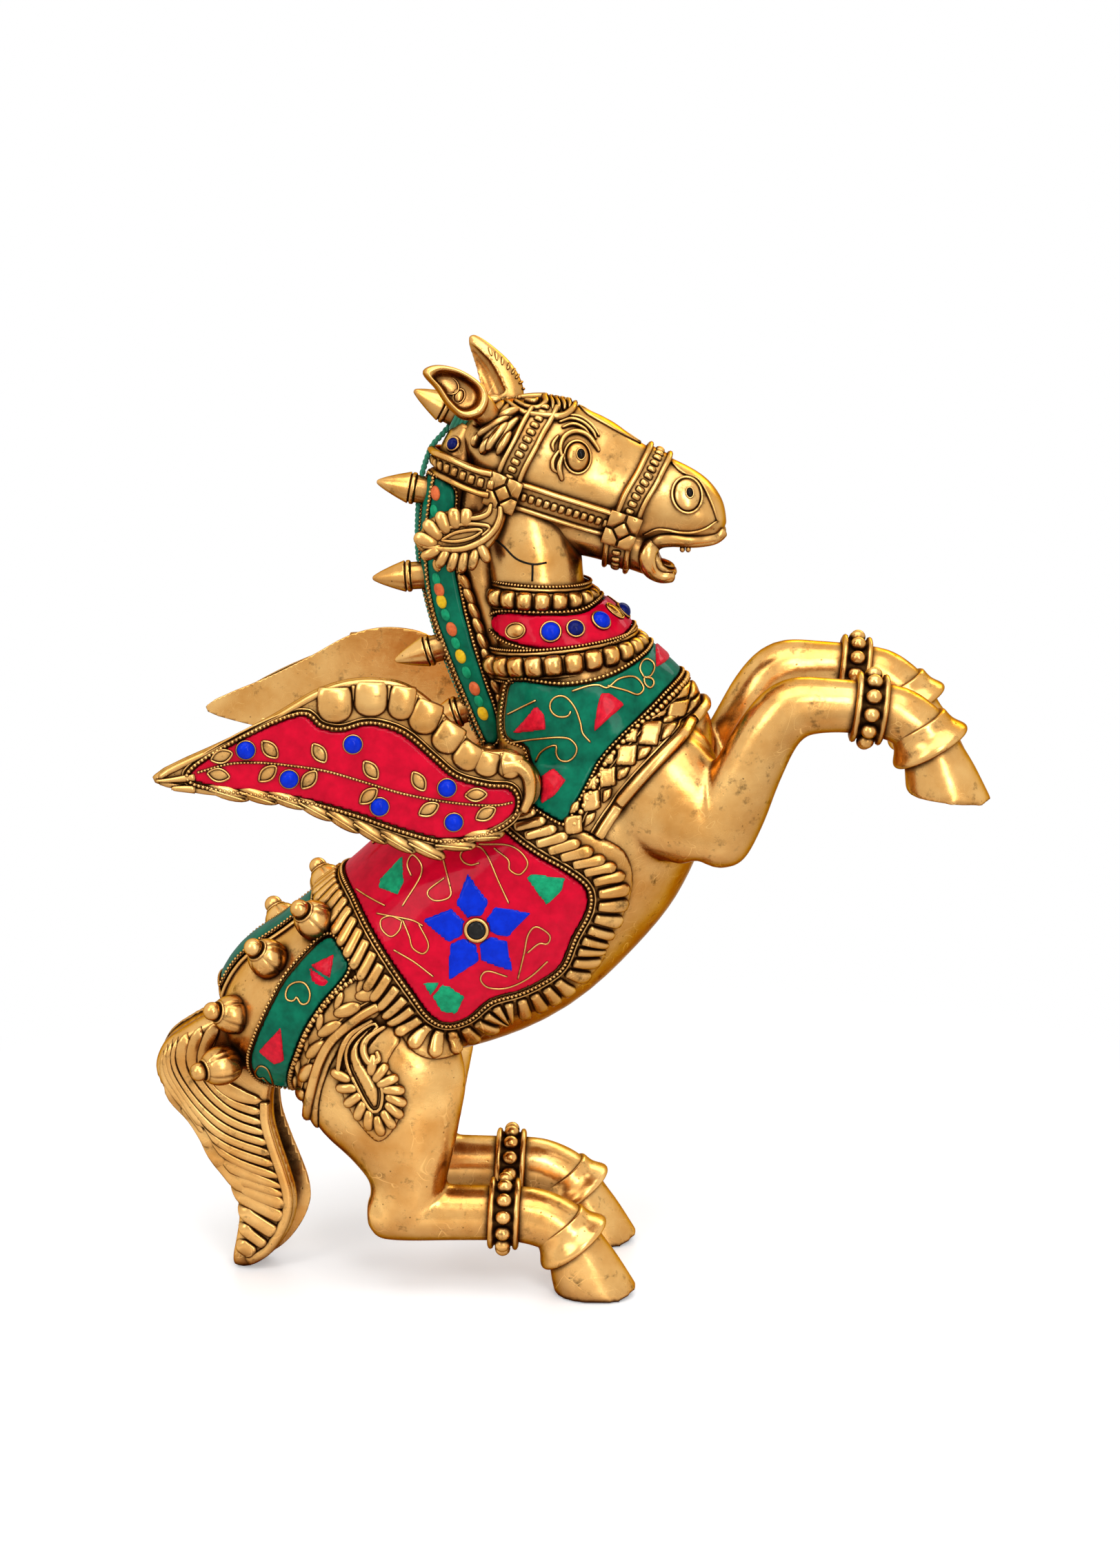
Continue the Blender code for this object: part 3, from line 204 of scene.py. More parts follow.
def resampled(points, count):
    """Points spread evenly along a run, with whatever columns it has."""
    points = np.asarray(points, float)
    steps = np.linalg.norm(np.diff(points[:, :3], axis=0), axis=1)
    along = np.concatenate([[0.0], np.cumsum(steps)])
    spots = np.linspace(0, along[-1], count)
    return np.stack([np.interp(spots, along, column) for column in points.T], axis=1)


def run_length(points):
    return float(np.linalg.norm(np.diff(points[:, :3], axis=0), axis=1).sum())


class Shape:
    """A mesh in the making: closed bodies in drawing millimetres, gathered into one piece."""

    def __init__(self):
        self.points, self.faces, self.count = [], [], 0

    def add(self, points, *face_sets):
        points = np.asarray(points, float).reshape(-1, 3)
        self.points.append(points)
        self.faces += [np.asarray(faces, int) + self.count for faces in face_sets if len(faces)]
        self.count += len(points)
        return self

    def take(self, other):
        return self.add(np.vstack(other.points), *other.faces)

    def mirror(self):
        """The same shape on the other side of the horse."""
        flipped = [faces[:, ::-1] for faces in self.faces]
        return Shape().add(np.vstack(self.points) * [1, -1, 1], *flipped)

    def on(self, side):
        """A shape drawn on the right side, or its mirror image."""
        return self if side == RIGHT else self.mirror()

    def moved(self, matrix):
        """The shape turned and shifted by a 4x4 matrix in millimetres."""
        matrix = np.array(matrix)
        return Shape().add(np.vstack(self.points) @ matrix[:3, :3].T + matrix[:3, 3], *self.faces)

    def mesh(self, name):
        points = (MM * (np.vstack(self.points) + SHIFT)).astype(np.float32)
        sizes = np.concatenate([np.full(len(faces), faces.shape[1]) for faces in self.faces])
        corners = np.concatenate([faces.ravel() for faces in self.faces])
        mesh = bpy.data.meshes.new(name)
        mesh.vertices.add(len(points))
        mesh.vertices.foreach_set("co", points.ravel())
        mesh.loops.add(len(corners))
        mesh.loops.foreach_set("vertex_index", corners.astype(np.int32))
        mesh.polygons.add(len(sizes))
        starts = np.concatenate([[0], np.cumsum(sizes)[:-1]])
        mesh.polygons.foreach_set("loop_start", starts.astype(np.int32))
        mesh.update(calc_edges=True)
        mesh.validate()
        mesh.shade_smooth()
        return mesh

    def piece(self, name, look, *nodes):
        """Makes the shape a piece of the figure, in place of the named CAD nodes, with its look's slot."""
        mesh = self.mesh(name)
        obj = bpy.data.objects.new(name, mesh)
        bpy.context.scene.collection.objects.link(obj)
        mesh.materials.append(look)
        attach(obj, "root")
        if nodes:
            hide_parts(*nodes)
        return obj

    def pair(self, name, look, *nodes):
        """Makes the shape a piece on the right side, and its mirror image one on the left side."""
        for side in SIDES:
            whose = SIDE_NAMES[side]
            self.on(side).piece(f"{whose}_{name}", look, *[f"{whose}_{node}" for node in nodes])


def tube(grid):
    """(points, quads, triangles) of a closed body through rings, or of many at once."""
    grid = np.asarray(grid, float)
    if grid.ndim == 3:
        grid = grid[None]
    bodies, rings, sides, _ = grid.shape
    index = np.arange(bodies * rings * sides).reshape(bodies, rings, sides)
    turned = np.roll(index, -1, axis=2)
    quads = np.stack([index[:, :-1], turned[:, :-1], turned[:, 1:], index[:, 1:]], axis=-1).reshape(-1, 4)
    first = bodies * rings * sides + np.arange(bodies)
    last = first + bodies
    starts = np.stack([np.repeat(first[:, None], sides, 1), turned[:, 0], index[:, 0]], axis=-1)
    ends = np.stack([np.repeat(last[:, None], sides, 1), index[:, -1], turned[:, -1]], axis=-1)
    points = np.vstack([grid.reshape(-1, 3), grid[:, 0].mean(axis=1), grid[:, -1].mean(axis=1)])
    return points, quads, np.vstack([starts.reshape(-1, 3), ends.reshape(-1, 3)])


def loft(rows, steps=4, sides=48):
    """A closed body through elliptical sections set square to the spine."""
    run = smooth_rows(rows, steps)
    centres, radii = run[:, :3], run[:, 3:5]
    tangents = unit(np.gradient(centres, axis=0))
    lateral = np.array([0.0, 1.0, 0.0])
    across = unit(lateral - tangents * (tangents @ lateral)[:, None])
    normals = np.cross(across, tangents)
    angles = circle(sides)
    depth = radii[:, :1, None] * np.cos(angles)[None, :, None] * normals[:, None]
    width = radii[:, 1:, None] * np.sin(angles)[None, :, None] * across[:, None]
    return tube(centres[:, None] + depth + width)


def swept(paths, normals, widths, heights, sides=8, lift=0.0, power=1.0):
    """Bodies of elliptical section along paths on a surface: half widths across it, heights over it."""
    paths, normals = np.asarray(paths, float), np.asarray(normals, float)
    if paths.ndim == 2:
        paths, normals = paths[None], np.broadcast_to(normals, paths.shape)[None]
    shape = paths.shape[:2]
    widths = np.broadcast_to(widths, shape)[..., None, None]
    heights = np.broadcast_to(heights, shape)[..., None, None]
    lift = np.broadcast_to(lift, shape)[..., None]
    tangents = unit(np.gradient(paths, axis=1))
    normals = unit(normals - tangents * (normals * tangents).sum(-1, keepdims=True))
    across = np.cross(normals, tangents)
    angles = circle(sides)
    cosine = np.sign(np.cos(angles)) * np.abs(np.cos(angles)) ** power
    sine = np.sign(np.sin(angles)) * np.abs(np.sin(angles)) ** power
    centres = paths + normals * lift
    grid = centres[:, :, None] + across[:, :, None] * widths * cosine[:, None]
    return tube(grid + normals[:, :, None] * heights * sine[:, None])


def ball(detail):
    """(points, triangles) of a unit ball."""
    bm = bmesh.new()
    bmesh.ops.create_icosphere(bm, subdivisions=detail, radius=1.0)
    points = np.array([vertex.co for vertex in bm.verts])
    faces = np.array([[vertex.index for vertex in face.verts] for face in bm.faces])
    bm.free()
    return points, faces


BALLS = {detail: ball(detail) for detail in (1, 2, 3, 4)}


def blobs(centres, normals, tangents, radii, detail=3, square=2.0):
    """Ellipsoids, or cushions, with half sizes (along, across, up) on a surface."""
    points, faces = BALLS[detail]
    if square > 2:
        plan = np.abs(points[:, :2])
        swell = np.hypot(*plan.T) / np.maximum((plan**square).sum(axis=1) ** (1 / square), 1e-9)
        points = points * np.stack([swell, swell, np.ones(len(points))], axis=1)
    centres, normals = np.atleast_2d(centres), np.atleast_2d(normals)
    tangents = np.broadcast_to(tangents, centres.shape)
    normals = np.broadcast_to(normals, centres.shape)
    tangents = unit(tangents - normals * (tangents * normals).sum(-1, keepdims=True))
    across = np.cross(normals, tangents)
    radii = np.broadcast_to(radii, centres.shape)
    axes = np.stack([tangents, across, normals], axis=1) * radii[:, :, None]
    made = centres[:, None] + np.einsum("vi,nij->nvj", points, axes)
    offsets = (np.arange(len(centres)) * len(points))[:, None, None]
    return made.reshape(-1, 3), (faces[None] + offsets).reshape(-1, 3)


def turned(profile, point, direction, sides=32, ripple=None):
    """A closed body from a profile of (radius, height) pairs turned about a direction."""
    direction = unit(np.array(direction, float))
    first = unit(np.cross(direction, [0.0, 0.31, 1.0]))
    second = np.cross(direction, first)
    angles = circle(sides)
    spokes = np.cos(angles)[:, None] * first + np.sin(angles)[:, None] * second
    rings = []
    for radius, height in profile:
        share = ripple(angles, height) if ripple else 1.0
        reach = (radius * share * np.ones(sides))[:, None]
        rings.append(np.array(point) + direction * height + spokes * reach)
    return tube(np.array(rings))


def beads(run, radius, height, spacing=2.0, detail=1, long=1.0):
    """Beads at a height over a run of (point, normal) columns; spacing and length count in radii."""
    count = max(int(round(run_length(run) / (spacing * radius))), 2)
    spots = resampled(run, count)
    normals = unit(spots[:, 3:6])
    tangents = unit(np.gradient(spots[:, :3], axis=0))
    sizes = (radius * long, radius, radius)
    return blobs(spots[:, :3] + normals * height, normals, tangents, sizes, detail)


def wire(run, radius, height=0.0, sides=6):
    """A wire at a height over a run of (point, normal) columns."""
    count = max(int(run_length(run) / (2.0 * radius)), 4)
    spots = resampled(run, count)
    return swept(spots[:, :3], unit(spots[:, 3:6]), radius, radius, sides, height)


def rail(run, width, height, sides=8, lift=0.0, power=1.0):
    """A moulding along a run of (point, normal) columns."""
    return swept(*halves(run), width, height, sides, lift, power)


def outline_field(outline, points, steps=4):
    """How far side-view points lie outside (+) or inside (-) of a closed outline."""
    run = smooth_rows(outline, steps, True) if steps > 1 else np.array(outline, float)
    x, z = points[:, 0], points[:, -1]
    nearest = np.full(len(points), FAR_OFF)
    inside = np.zeros(len(points), bool)
    for (ax, az), (bx, bz) in zip(run, np.roll(run, -1, axis=0)):
        dx, dz = bx - ax, bz - az
        t = np.clip(((x - ax) * dx + (z - az) * dz) / max(dx * dx + dz * dz, 1e-12), 0, 1)
        nearest = np.minimum(nearest, (x - ax - t * dx) ** 2 + (z - az - t * dz) ** 2)
        if az != bz:
            inside ^= ((az > z) != (bz > z)) & (x < dx * (z - az) / dz + ax)
    distance = np.sqrt(nearest)
    return np.where(inside, -distance, distance)


# How far off the middle plane side-view spots are cast from
CAST_FROM = 200.0


class Skin:
    """A smooth surface that settings are laid on."""

    def __init__(self, points, triangles):
        self.points, self.triangles = np.asarray(points, float), np.asarray(triangles, int)
        a, b, c = (self.points[self.triangles[:, i]] for i in range(3))
        flat = np.cross(b - a, c - a)
        self.normals = np.zeros_like(self.points)
        for corner in range(3):
            np.add.at(self.normals, self.triangles[:, corner], flat)
        self.normals = unit(self.normals)
        self.tree = BVHTree.FromPolygons(self.points.tolist(), self.triangles.tolist())

    def field(self, outline, **options):
        return outline_field(outline, self.points, **options)

    def on_side(self, side, least=0.0):
        """A field that is negative on one side of the horse, from a distance off its middle plane."""
        return least - side * self.points[:, 1]

    def stick(self, points, height=0.0):
        """(point, normal) columns where points come to the nearest place on the skin."""
        made = []
        for point in np.atleast_2d(points):
            spot, _, index, _ = self.tree.find_nearest(Vector(point))
            corners = self.triangles[index]
            weights = 1 / (np.linalg.norm(self.points[corners] - np.array(spot), axis=1) + 0.05)
            normal = unit(weights @ self.normals[corners])
            made.append(np.concatenate([np.array(spot) + normal * height, normal]))
        return np.array(made)

    def cast(self, spots, side, height=0.0):
        """(point, normal) columns where side-view (x, z) spots meet the skin from one side."""
        seen = []
        for x, z in np.asarray(spots, float):
            hit = self.tree.ray_cast(Vector((x, side * CAST_FROM, z)), Vector((0, -side, 0)))[0]
            seen.append(np.array(hit) if hit else np.array([x, float(side), z]))
        return self.stick(np.array(seen), height)

    def trace(self, line, side, steps=8):
        """(point, normal) columns along a smooth side-view line laid on the skin."""
        return self.cast(smooth_rows(line, steps), side)

    def lines(self, field, mask=None, least=5.0):
        """Runs of (point, normal) columns where a field is zero, longest first."""
        triangles = self.triangles if mask is None else self.triangles[mask[self.triangles].all(axis=1)]
        above = field >= 0
        state = above[triangles]
        mixed = triangles[state.any(axis=1) & ~state.all(axis=1)]
        links = {}
        for a, b, c in mixed.tolist():
            pair = [(min(e), max(e)) for e in ((a, b), (b, c), (c, a)) if above[e[0]] != above[e[1]]]
            links.setdefault(pair[0], []).append(pair[1])
            links.setdefault(pair[1], []).append(pair[0])
        ends = [key for key, near in links.items() if len(near) == 1]
        left, runs = set(links), []
        for start in ends + list(links):
            if start not in left:
                continue
            chain, key = [], start
            while key is not None:
                chain.append(key)
                left.discard(key)
                key = next((near for near in links[key] if near in left), None)
            if len(links[start]) > 1:
                chain.append(start)
            low, high = np.array(chain).T
            share = (field[low] / (field[low] - field[high]))[:, None]
            points = self.points[low] + share * (self.points[high] - self.points[low])
            normals = unit(self.normals[low] + share * (self.normals[high] - self.normals[low]))
            run = np.hstack([points, normals])
            if run_length(run) > least:
                runs.append(run)
        return sorted(runs, key=run_length, reverse=True)

    def clipped(self, field):
        """(points, normals, depth, triangles) of the skin where a field is negative."""
        inside = field < 0
        state = inside[self.triangles]
        whole = self.triangles[state.all(axis=1)]
        partly = self.triangles[state.any(axis=1) & ~state.all(axis=1)]
        cuts, made, count = {}, [], len(self.points)
        for triangle in partly.tolist():
            corners = []
            for a, b in zip(triangle, triangle[1:] + triangle[:1]):
                if inside[a]:
                    corners.append(a)
                if inside[a] != inside[b]:
                    corners.append(cuts.setdefault((min(a, b), max(a, b)), count + len(cuts)))
            made += [(corners[0], corners[i], corners[i + 1]) for i in range(1, len(corners) - 1)]
        low, high = np.array(list(cuts), int).reshape(-1, 2).T
        share = (field[low] / (field[low] - field[high]))[:, None]
        both = (self.points, self.normals)
        points, normals = (np.vstack([rows, rows[low] + share * (rows[high] - rows[low])]) for rows in both)
        depth = np.concatenate([np.maximum(-field, 0), np.zeros(len(low))])
        faces = np.vstack([whole, np.array(made, int).reshape(-1, 3)])
        used, faces = np.unique(faces, return_inverse=True)
        return points[used], unit(normals[used]), depth[used], faces.reshape(-1, 3)

    def plate(self, field, low, high, edge=1.0, dome=0.0, dome_reach=6.0):
        """A closed plate between two heights over the skin where a field is negative, its edges rounded."""
        points, normals, depth, faces = self.clipped(field)
        fall = 1 - np.clip(depth / edge, 0, 1)
        crown = dome * (1 - (1 - np.clip(depth / dome_reach, 0, 1)) ** 2)
        height = low + (high - low) * (EDGE_FOOT + (1 - EDGE_FOOT) * np.sqrt(1 - fall**2)) + crown
        count = len(points)
        start, end = open_edges(faces, count).T
        walls = np.stack([end, start, start + count, end + count], axis=1)
        body = np.vstack([points + normals * height[:, None], points + normals * low])
        return body, np.vstack([faces, faces[:, ::-1] + count]), walls


def open_edges(faces, count):
    """The directed edges that only one face has."""
    edges = np.vstack([faces[:, [0, 1]], faces[:, [1, 2]], faces[:, [2, 0]]])
    there, back = edges @ [count, 1], edges @ [1, count]
    return edges[~np.isin(there, back)]


def evaluated_arrays(obj):
    """(points, triangles) of an object with its modifiers, in drawing millimetres."""
    bpy.context.view_layer.update()
    graph = bpy.context.evaluated_depsgraph_get()
    mesh = bpy.data.meshes.new_from_object(obj.evaluated_get(graph))
    mesh.calc_loop_triangles()
    points = np.empty(len(mesh.vertices) * 3, np.float32)
    mesh.vertices.foreach_get("co", points)
    triangles = np.empty(len(mesh.loop_triangles) * 3, np.int32)
    mesh.loop_triangles.foreach_get("vertices", triangles)
    bpy.data.meshes.remove(mesh)
    return points.reshape(-1, 3).astype(float) / MM - SHIFT, triangles.reshape(-1, 3)


def helper(shape):
    obj = bpy.data.objects.new("helper", shape.mesh("helper"))
    bpy.context.scene.collection.objects.link(obj)
    return obj


def add_remesh(obj, voxel):
    remesh = obj.modifiers.new("remesh", "REMESH")
    remesh.mode = "VOXEL"
    remesh.voxel_size = MM * voxel


def united(bodies, voxel, iterations, cutters=()):
    """A skin over several bodies at once, with the joins between them rounded."""
    shape = Shape()
    for body in bodies:
        shape.add(*body)
    obj = helper(shape)
    add_remesh(obj, voxel)
    others = [helper(Shape().add(*body)) for body in cutters]
    for other in others:
        boolean = obj.modifiers.new("cut", "BOOLEAN")
        boolean.operation = "DIFFERENCE"
        boolean.solver = "MANIFOLD"
        boolean.object = other
    if cutters:
        add_remesh(obj, voxel)
    smooth = obj.modifiers.new("smooth", "SMOOTH")
    smooth.factor = 0.5
    smooth.iterations = iterations
    skin = Skin(*evaluated_arrays(obj))
    for other in [obj, *others]:
        bpy.data.objects.remove(other)
    return skin


def trimmed(body, point, normal):
    """A body cut off flat beyond a plane."""
    mesh = Shape().add(*body).mesh("trim")
    bm = bmesh.new()
    bm.from_mesh(mesh)
    place = MM * (Vector(point) + Vector(SHIFT))
    everything = bm.verts[:] + bm.edges[:] + bm.faces[:]
    cut = bmesh.ops.bisect_plane(bm, geom=everything, plane_co=place, plane_no=normal, clear_outer=True)
    edges = [e for e in cut["geom_cut"] if isinstance(e, bmesh.types.BMEdge)]
    bmesh.ops.holes_fill(bm, edges=edges)
    bmesh.ops.triangulate(bm, faces=bm.faces)
    bm.verts.index_update()
    points = np.array([vertex.co for vertex in bm.verts]) / MM - SHIFT
    faces = np.array([[vertex.index for vertex in face.verts] for face in bm.faces])
    bm.free()
    bpy.data.meshes.remove(mesh)
    return points, faces


def prism(outline, low, high, steps=3):
    """A side-view outline made solid between two lateral planes."""
    run = smooth_rows(outline, steps, closed=True)
    grid = np.stack([side_view(run, y) for y in (low, high)])
    area = np.sum(run[:, 0] * np.roll(run[:, 1], -1) - np.roll(run[:, 0], -1) * run[:, 1])
    return tube(grid if area < 0 else grid[:, ::-1])


# Looks

LIGHT_BRASS = (0.90, 0.53, 0.18, 1)
DEEP_BRASS = (0.69, 0.328, 0.080, 1)
PATINA = (0.034, 0.0115, 0.003, 1)
# The tint of the painted shade on undersides and in sheltered places
WARM_SHADE = (0.13, 0.035, 0.0, 1)
BRASS_EDGE = (0.48, 0.28, 0.12, 1)
WHITE = (1, 1, 1, 1)
# Ramps of the brass as (place, level) stops: bare metal by how openly it lies, light metal by the clouds,
# stains, painted shade by the way it faces and by how sheltered it lies, and scratches by place and
# strength
PROUD_STOPS = ((0.50, 0.0), (0.74, 0.42), (0.95, 1.0))
CLOUD_STOPS = ((0.32, 0.0), (0.68, 1.0))
STAIN_STOPS = ((0.29, 0.35), (0.43, 1.0))
UNDERSIDE_SHADE_STOPS = ((0.0, 0.24), (0.34, 0.56), (0.52, 0.90), (0.8, 1.0))
SHELTER_SHADE_STOPS = ((0.30, 0.16), (0.62, 0.62), (0.88, 1.0))
ARC_STOPS = ((0.004, 1.0), (0.014, 0.0))
ARC_PATCHES = ((0.46, 0.0), (0.58, 0.55))
PIT_STOPS = ((0.05, 1.0), (0.13, 0.0))
# Reach of the hollows and of the painted shelter shade, sizes of the arcs and of the pits, in millimetres
PATINA_REACH, SHELTER_SHADE_REACH, ARC_SIZE, PIT_SIZE = 2.3, 15.0, 11.0, 2.8
# Share of the cells without a pit, and how dark a pit is
PIT_RARITY, PIT_DEPTH = 0.72, 0.7
BRASS_ROUGHNESS, BRASS_DULLER, PATINA_ROUGHNESS = 0.17, 0.14, (0.6, 0.6, 0.6, 1)
GRAIN_IN_WEAR = 0.24
BRASS_SCRATCH, RESIN_SCRATCH, SCRATCH_TURN = (60.0, 1500.0, 900.0), (1200.0, 900.0, 70.0), (0.3, 0.5, 0.7)


def look_of(name):
    look = bpy.data.materials.new(name)
    look.use_nodes = True
    return look, look.node_tree, look.node_tree.nodes["Principled BSDF"]


def plug(tree, made, **links):
    """Sets or links a node's sockets, by name with _ for a space or by number as in i0."""
    for key, value in links.items():
        socket = made.inputs[int(key[1:]) if key[1:].isdigit() else key.replace("_", " ")]
        if isinstance(value, bpy.types.NodeSocket):
            tree.links.new(value, socket)
        else:
            socket.default_value = value
    return made


def node(tree, kind, settings=None, **links):
    """A shader node with its settings and sockets."""
    made = tree.nodes.new("ShaderNode" + kind)
    for key, value in (settings or {}).items():
        setattr(made, key, value)
    return plug(tree, made, **links)


def ramp(tree, value, *stops):
    """A value or colour that runs through (place, level) stops."""
    made = node(tree, "ValToRGB", Fac=value)
    band = made.color_ramp.elements
    while len(band) < len(stops):
        band.new(0.5)
    for element, (place, level) in zip(band, stops):
        element.position = place
        element.color = level if isinstance(level, tuple) else (level, level, level, 1)
    return made.outputs["Color"]


def mixed(tree, factor, a, b, blend="MIX"):
    made = node(tree, "Mix", {"data_type": "RGBA", "blend_type": blend}, i0=factor, i6=a, i7=b)
    return made.outputs[2]


def calc(tree, operation, a, b=0.5):
    return node(tree, "Math", {"operation": operation}, i0=a, i1=b).outputs[0]


def noise(tree, place, size, detail=3.0, roughness=0.55):
    """Noise with features of a size in millimetres."""
    made = node(tree, "TexNoise", Vector=place, Scale=1 / (MM * size), Detail=detail, Roughness=roughness)
    return made.outputs["Fac"]


def object_place(tree):
    return node(tree, "TexCoord").outputs["Object"]


def scratches(tree, stretch):
    """Fine strokes: noise drawn out by a number of times per metre along each axis, and turned askew."""
    turned_place = node(tree, "Mapping", Vector=object_place(tree), Scale=stretch, Rotation=SCRATCH_TURN)
    return noise(tree, turned_place.outputs["Vector"], 1 / MM, 2.0)


def occlusion(tree, reach, samples):
    """How open a place is to what lies within a reach in millimetres."""
    return node(tree, "AmbientOcclusion", {"samples": samples}, Distance=MM * reach).outputs["AO"]


def relief_of(tree, strength, depth, *parts):
    """A bump from (share, height) parts, with its depth in millimetres."""
    height = 0.0
    for share, part in parts:
        height = calc(tree, "ADD", calc(tree, "MULTIPLY", part, share), height)
    return node(tree, "Bump", Height=height, Strength=strength, Distance=MM * depth).outputs["Normal"]


def brass(name):
    """Antique brass: bright where it stands proud, brown in hollows, with painted shade below and where
    sheltered, scratched and pitted.
    """
    look, tree, shader = look_of(name)
    place = object_place(tree)
    grain = noise(tree, place, 1.3, 3.0, 0.7)
    wear = calc(tree, "MULTIPLY", calc(tree, "SUBTRACT", grain, 0.5), GRAIN_IN_WEAR)
    proud = ramp(tree, calc(tree, "ADD", occlusion(tree, PATINA_REACH, 8), wear), *PROUD_STOPS)
    metal = mixed(tree, ramp(tree, noise(tree, place, 14.0, 4.0), *CLOUD_STOPS), DEEP_BRASS, LIGHT_BRASS)
    stain = ramp(tree, noise(tree, place, 5.0, 6.0, 0.7), *STAIN_STOPS)
    metal = mixed(tree, 1.0, metal, stain, "MULTIPLY")
    # Painted shade: darker where the surface faces down and lighter where it faces up, as if lit from above
    up = node(tree, "SeparateXYZ", Vector=node(tree, "NewGeometry").outputs["Normal"]).outputs["Z"]
    underside_shade = ramp(tree, calc(tree, "MULTIPLY_ADD", up, 0.5), *UNDERSIDE_SHADE_STOPS)
    # Painted shade: broadly darker, towards a warm brown, where other parts lie within 15 mm
    shelter_shade = ramp(tree, occlusion(tree, SHELTER_SHADE_REACH, 6), *SHELTER_SHADE_STOPS)
    shade = mixed(tree, calc(tree, "MULTIPLY", underside_shade, shelter_shade), WARM_SHADE, WHITE)
    metal = mixed(tree, 1.0, metal, shade, "MULTIPLY")
    bent = calc(tree, "ADD", noise(tree, place, 22.0, 2.0), 0.6)
    shifted = node(tree, "VectorMath", {"operation": "SCALE"}, Vector=place, Scale=bent).outputs["Vector"]
    to_edge = {"feature": "DISTANCE_TO_EDGE"}
    arcs = node(tree, "TexVoronoi", to_edge, Vector=shifted, Scale=1 / (MM * ARC_SIZE), Randomness=1.0)
    patches = ramp(tree, noise(tree, place, 9.0, 2.0), *ARC_PATCHES)
    line = calc(tree, "MULTIPLY", ramp(tree, arcs.outputs["Distance"], *ARC_STOPS), patches)
    metal = mixed(tree, line, metal, LIGHT_BRASS)
    pits = node(tree, "TexVoronoi", Vector=place, Scale=1 / (MM * PIT_SIZE), Randomness=1.0).outputs
    chance = node(tree, "SeparateXYZ", Vector=pits["Color"]).outputs["X"]
    chosen = calc(tree, "GREATER_THAN", chance, PIT_RARITY)
    hole = calc(tree, "MULTIPLY", ramp(tree, pits["Distance"], *PIT_STOPS), chosen)
    metal = mixed(tree, calc(tree, "MULTIPLY", hole, PIT_DEPTH), metal, PATINA)
    dull = ((0.3, BRASS_ROUGHNESS), (0.7, BRASS_ROUGHNESS + BRASS_DULLER))
    rough = ramp(tree, noise(tree, place, 3.0, 5.0, 0.65), *dull)
    dents, scratch = noise(tree, place, 6.0, 2.0), scratches(tree, BRASS_SCRATCH)
    relief = relief_of(tree, 0.4, 0.16, (0.30, scratch), (-PIT_DEPTH, hole), (0.6, dents), (0.25, grain))
    plug(tree, shader, Base_Color=mixed(tree, proud, PATINA, metal), Metallic=1.0, Normal=relief)
    plug(tree, shader, Roughness=mixed(tree, proud, PATINA_ROUGHNESS, rough), Specular_Tint=BRASS_EDGE)
    return look


def resin(name, colour, deep, gloss=0.22, mottle=4.0):
    """Stone-filled resin, polished smooth: mottled, finely scratched, and darker where other parts lie
    within 2 mm.
    """
    look, tree, shader = look_of(name)
    place = object_place(tree)
    cloud = ramp(tree, noise(tree, place, mottle, 5.0, 0.6), (0.30, 0.0), (0.66, 1.0))
    # Darker, towards a near-black of its own colour, where other parts lie within 2 mm
    openness = ramp(tree, occlusion(tree, 2.0, 6), (0.35, 0.0), (0.75, 1.0))
    close_tone = tuple(0.12 * level for level in deep[:3]) + (1,)
    rough = ramp(tree, noise(tree, place, 2.2, 4.0), (0.35, gloss), (0.7, gloss + 0.16))
    speck, dents = noise(tree, place, 0.9, 3.0), noise(tree, place, 5.0, 2.0)
    relief = relief_of(tree, 0.3, 0.12, (0.4, scratches(tree, RESIN_SCRATCH)), (0.5, speck), (1.0, dents))
    tint = mixed(tree, openness, close_tone, mixed(tree, cloud, deep, colour))
    plug(tree, shader, Base_Color=tint, Roughness=rough, Normal=relief)
    plug(tree, shader, Specular_IOR_Level=0.0, Coat_Weight=0.16, Coat_Roughness=0.09)
    return look


def thread(name, colour, deep):
    """Twisted thread with a fine pile."""
    look, tree, shader = look_of(name)
    fibre = noise(tree, object_place(tree), 0.35, 2.0)
    relief = relief_of(tree, 0.5, 0.15, (1.0, fibre))
    plug(tree, shader, Base_Color=mixed(tree, fibre, deep, colour), Normal=relief)
    plug(tree, shader, Roughness=0.75, Sheen_Weight=0.3)
    return look


BRASS = brass("antique_brass_look")
RED = resin("red_resin_look", (0.66, 0.002, 0.026, 1), (0.47, 0.001, 0.018, 1))
RED_STONE = resin("red_stone_look", (0.72, 0.012, 0.03, 1), (0.45, 0.006, 0.02, 1), 0.3, 2.0)
GREEN = resin("green_resin_look", (0.002, 0.165, 0.088, 1), (0.001, 0.075, 0.042, 1), 0.2, 5.0)
GREEN_STONE = resin("green_stone_look", (0.01, 0.36, 0.16, 1), (0.005, 0.20, 0.09, 1), 0.3, 2.0)
BLUE = resin("blue_stone_look", (0.001, 0.030, 0.63, 1), (0.001, 0.018, 0.45, 1), 0.22, 2.5)
NAVY = resin("navy_stone_look", (0.006, 0.012, 0.16, 1), (0.003, 0.006, 0.07, 1), 0.12, 2.0)
CORAL = resin("coral_stone_look", (0.78, 0.17, 0.05, 1), (0.5, 0.09, 0.03, 1), 0.25, 1.5)
YELLOW = resin("yellow_stone_look", (0.85, 0.55, 0.02, 1), (0.6, 0.34, 0.01, 1), 0.25, 1.5)
BLACK = resin("black_stone_look", (0.022, 0.021, 0.019, 1), (0.010, 0.010, 0.009, 1), 0.15, 2.0)
# Near-black: the eyes' pupils, and painted shade in place of the nostrils' holes and of the throat's
# engraved grooves
PUPIL_AND_HOLE_SHADE = resin("pupil_and_painted_recess_shade_look", (0.010, 0.006, 0.003, 1), (0.004, 0.003, 0.002, 1), 0.5)
CORD_GREEN = thread("green_cord_look", (0.01, 0.28, 0.15, 1), (0.003, 0.09, 0.05, 1))


# Castings

TRUNK_VOXEL, TRUNK_SMOOTHING = 1.0, 10
# The row of the foreleg's spine from which its hoof is cut
HOOF_FROM = 7


def sided(rows, side):
    return rows if side == RIGHT else mirrored(rows)


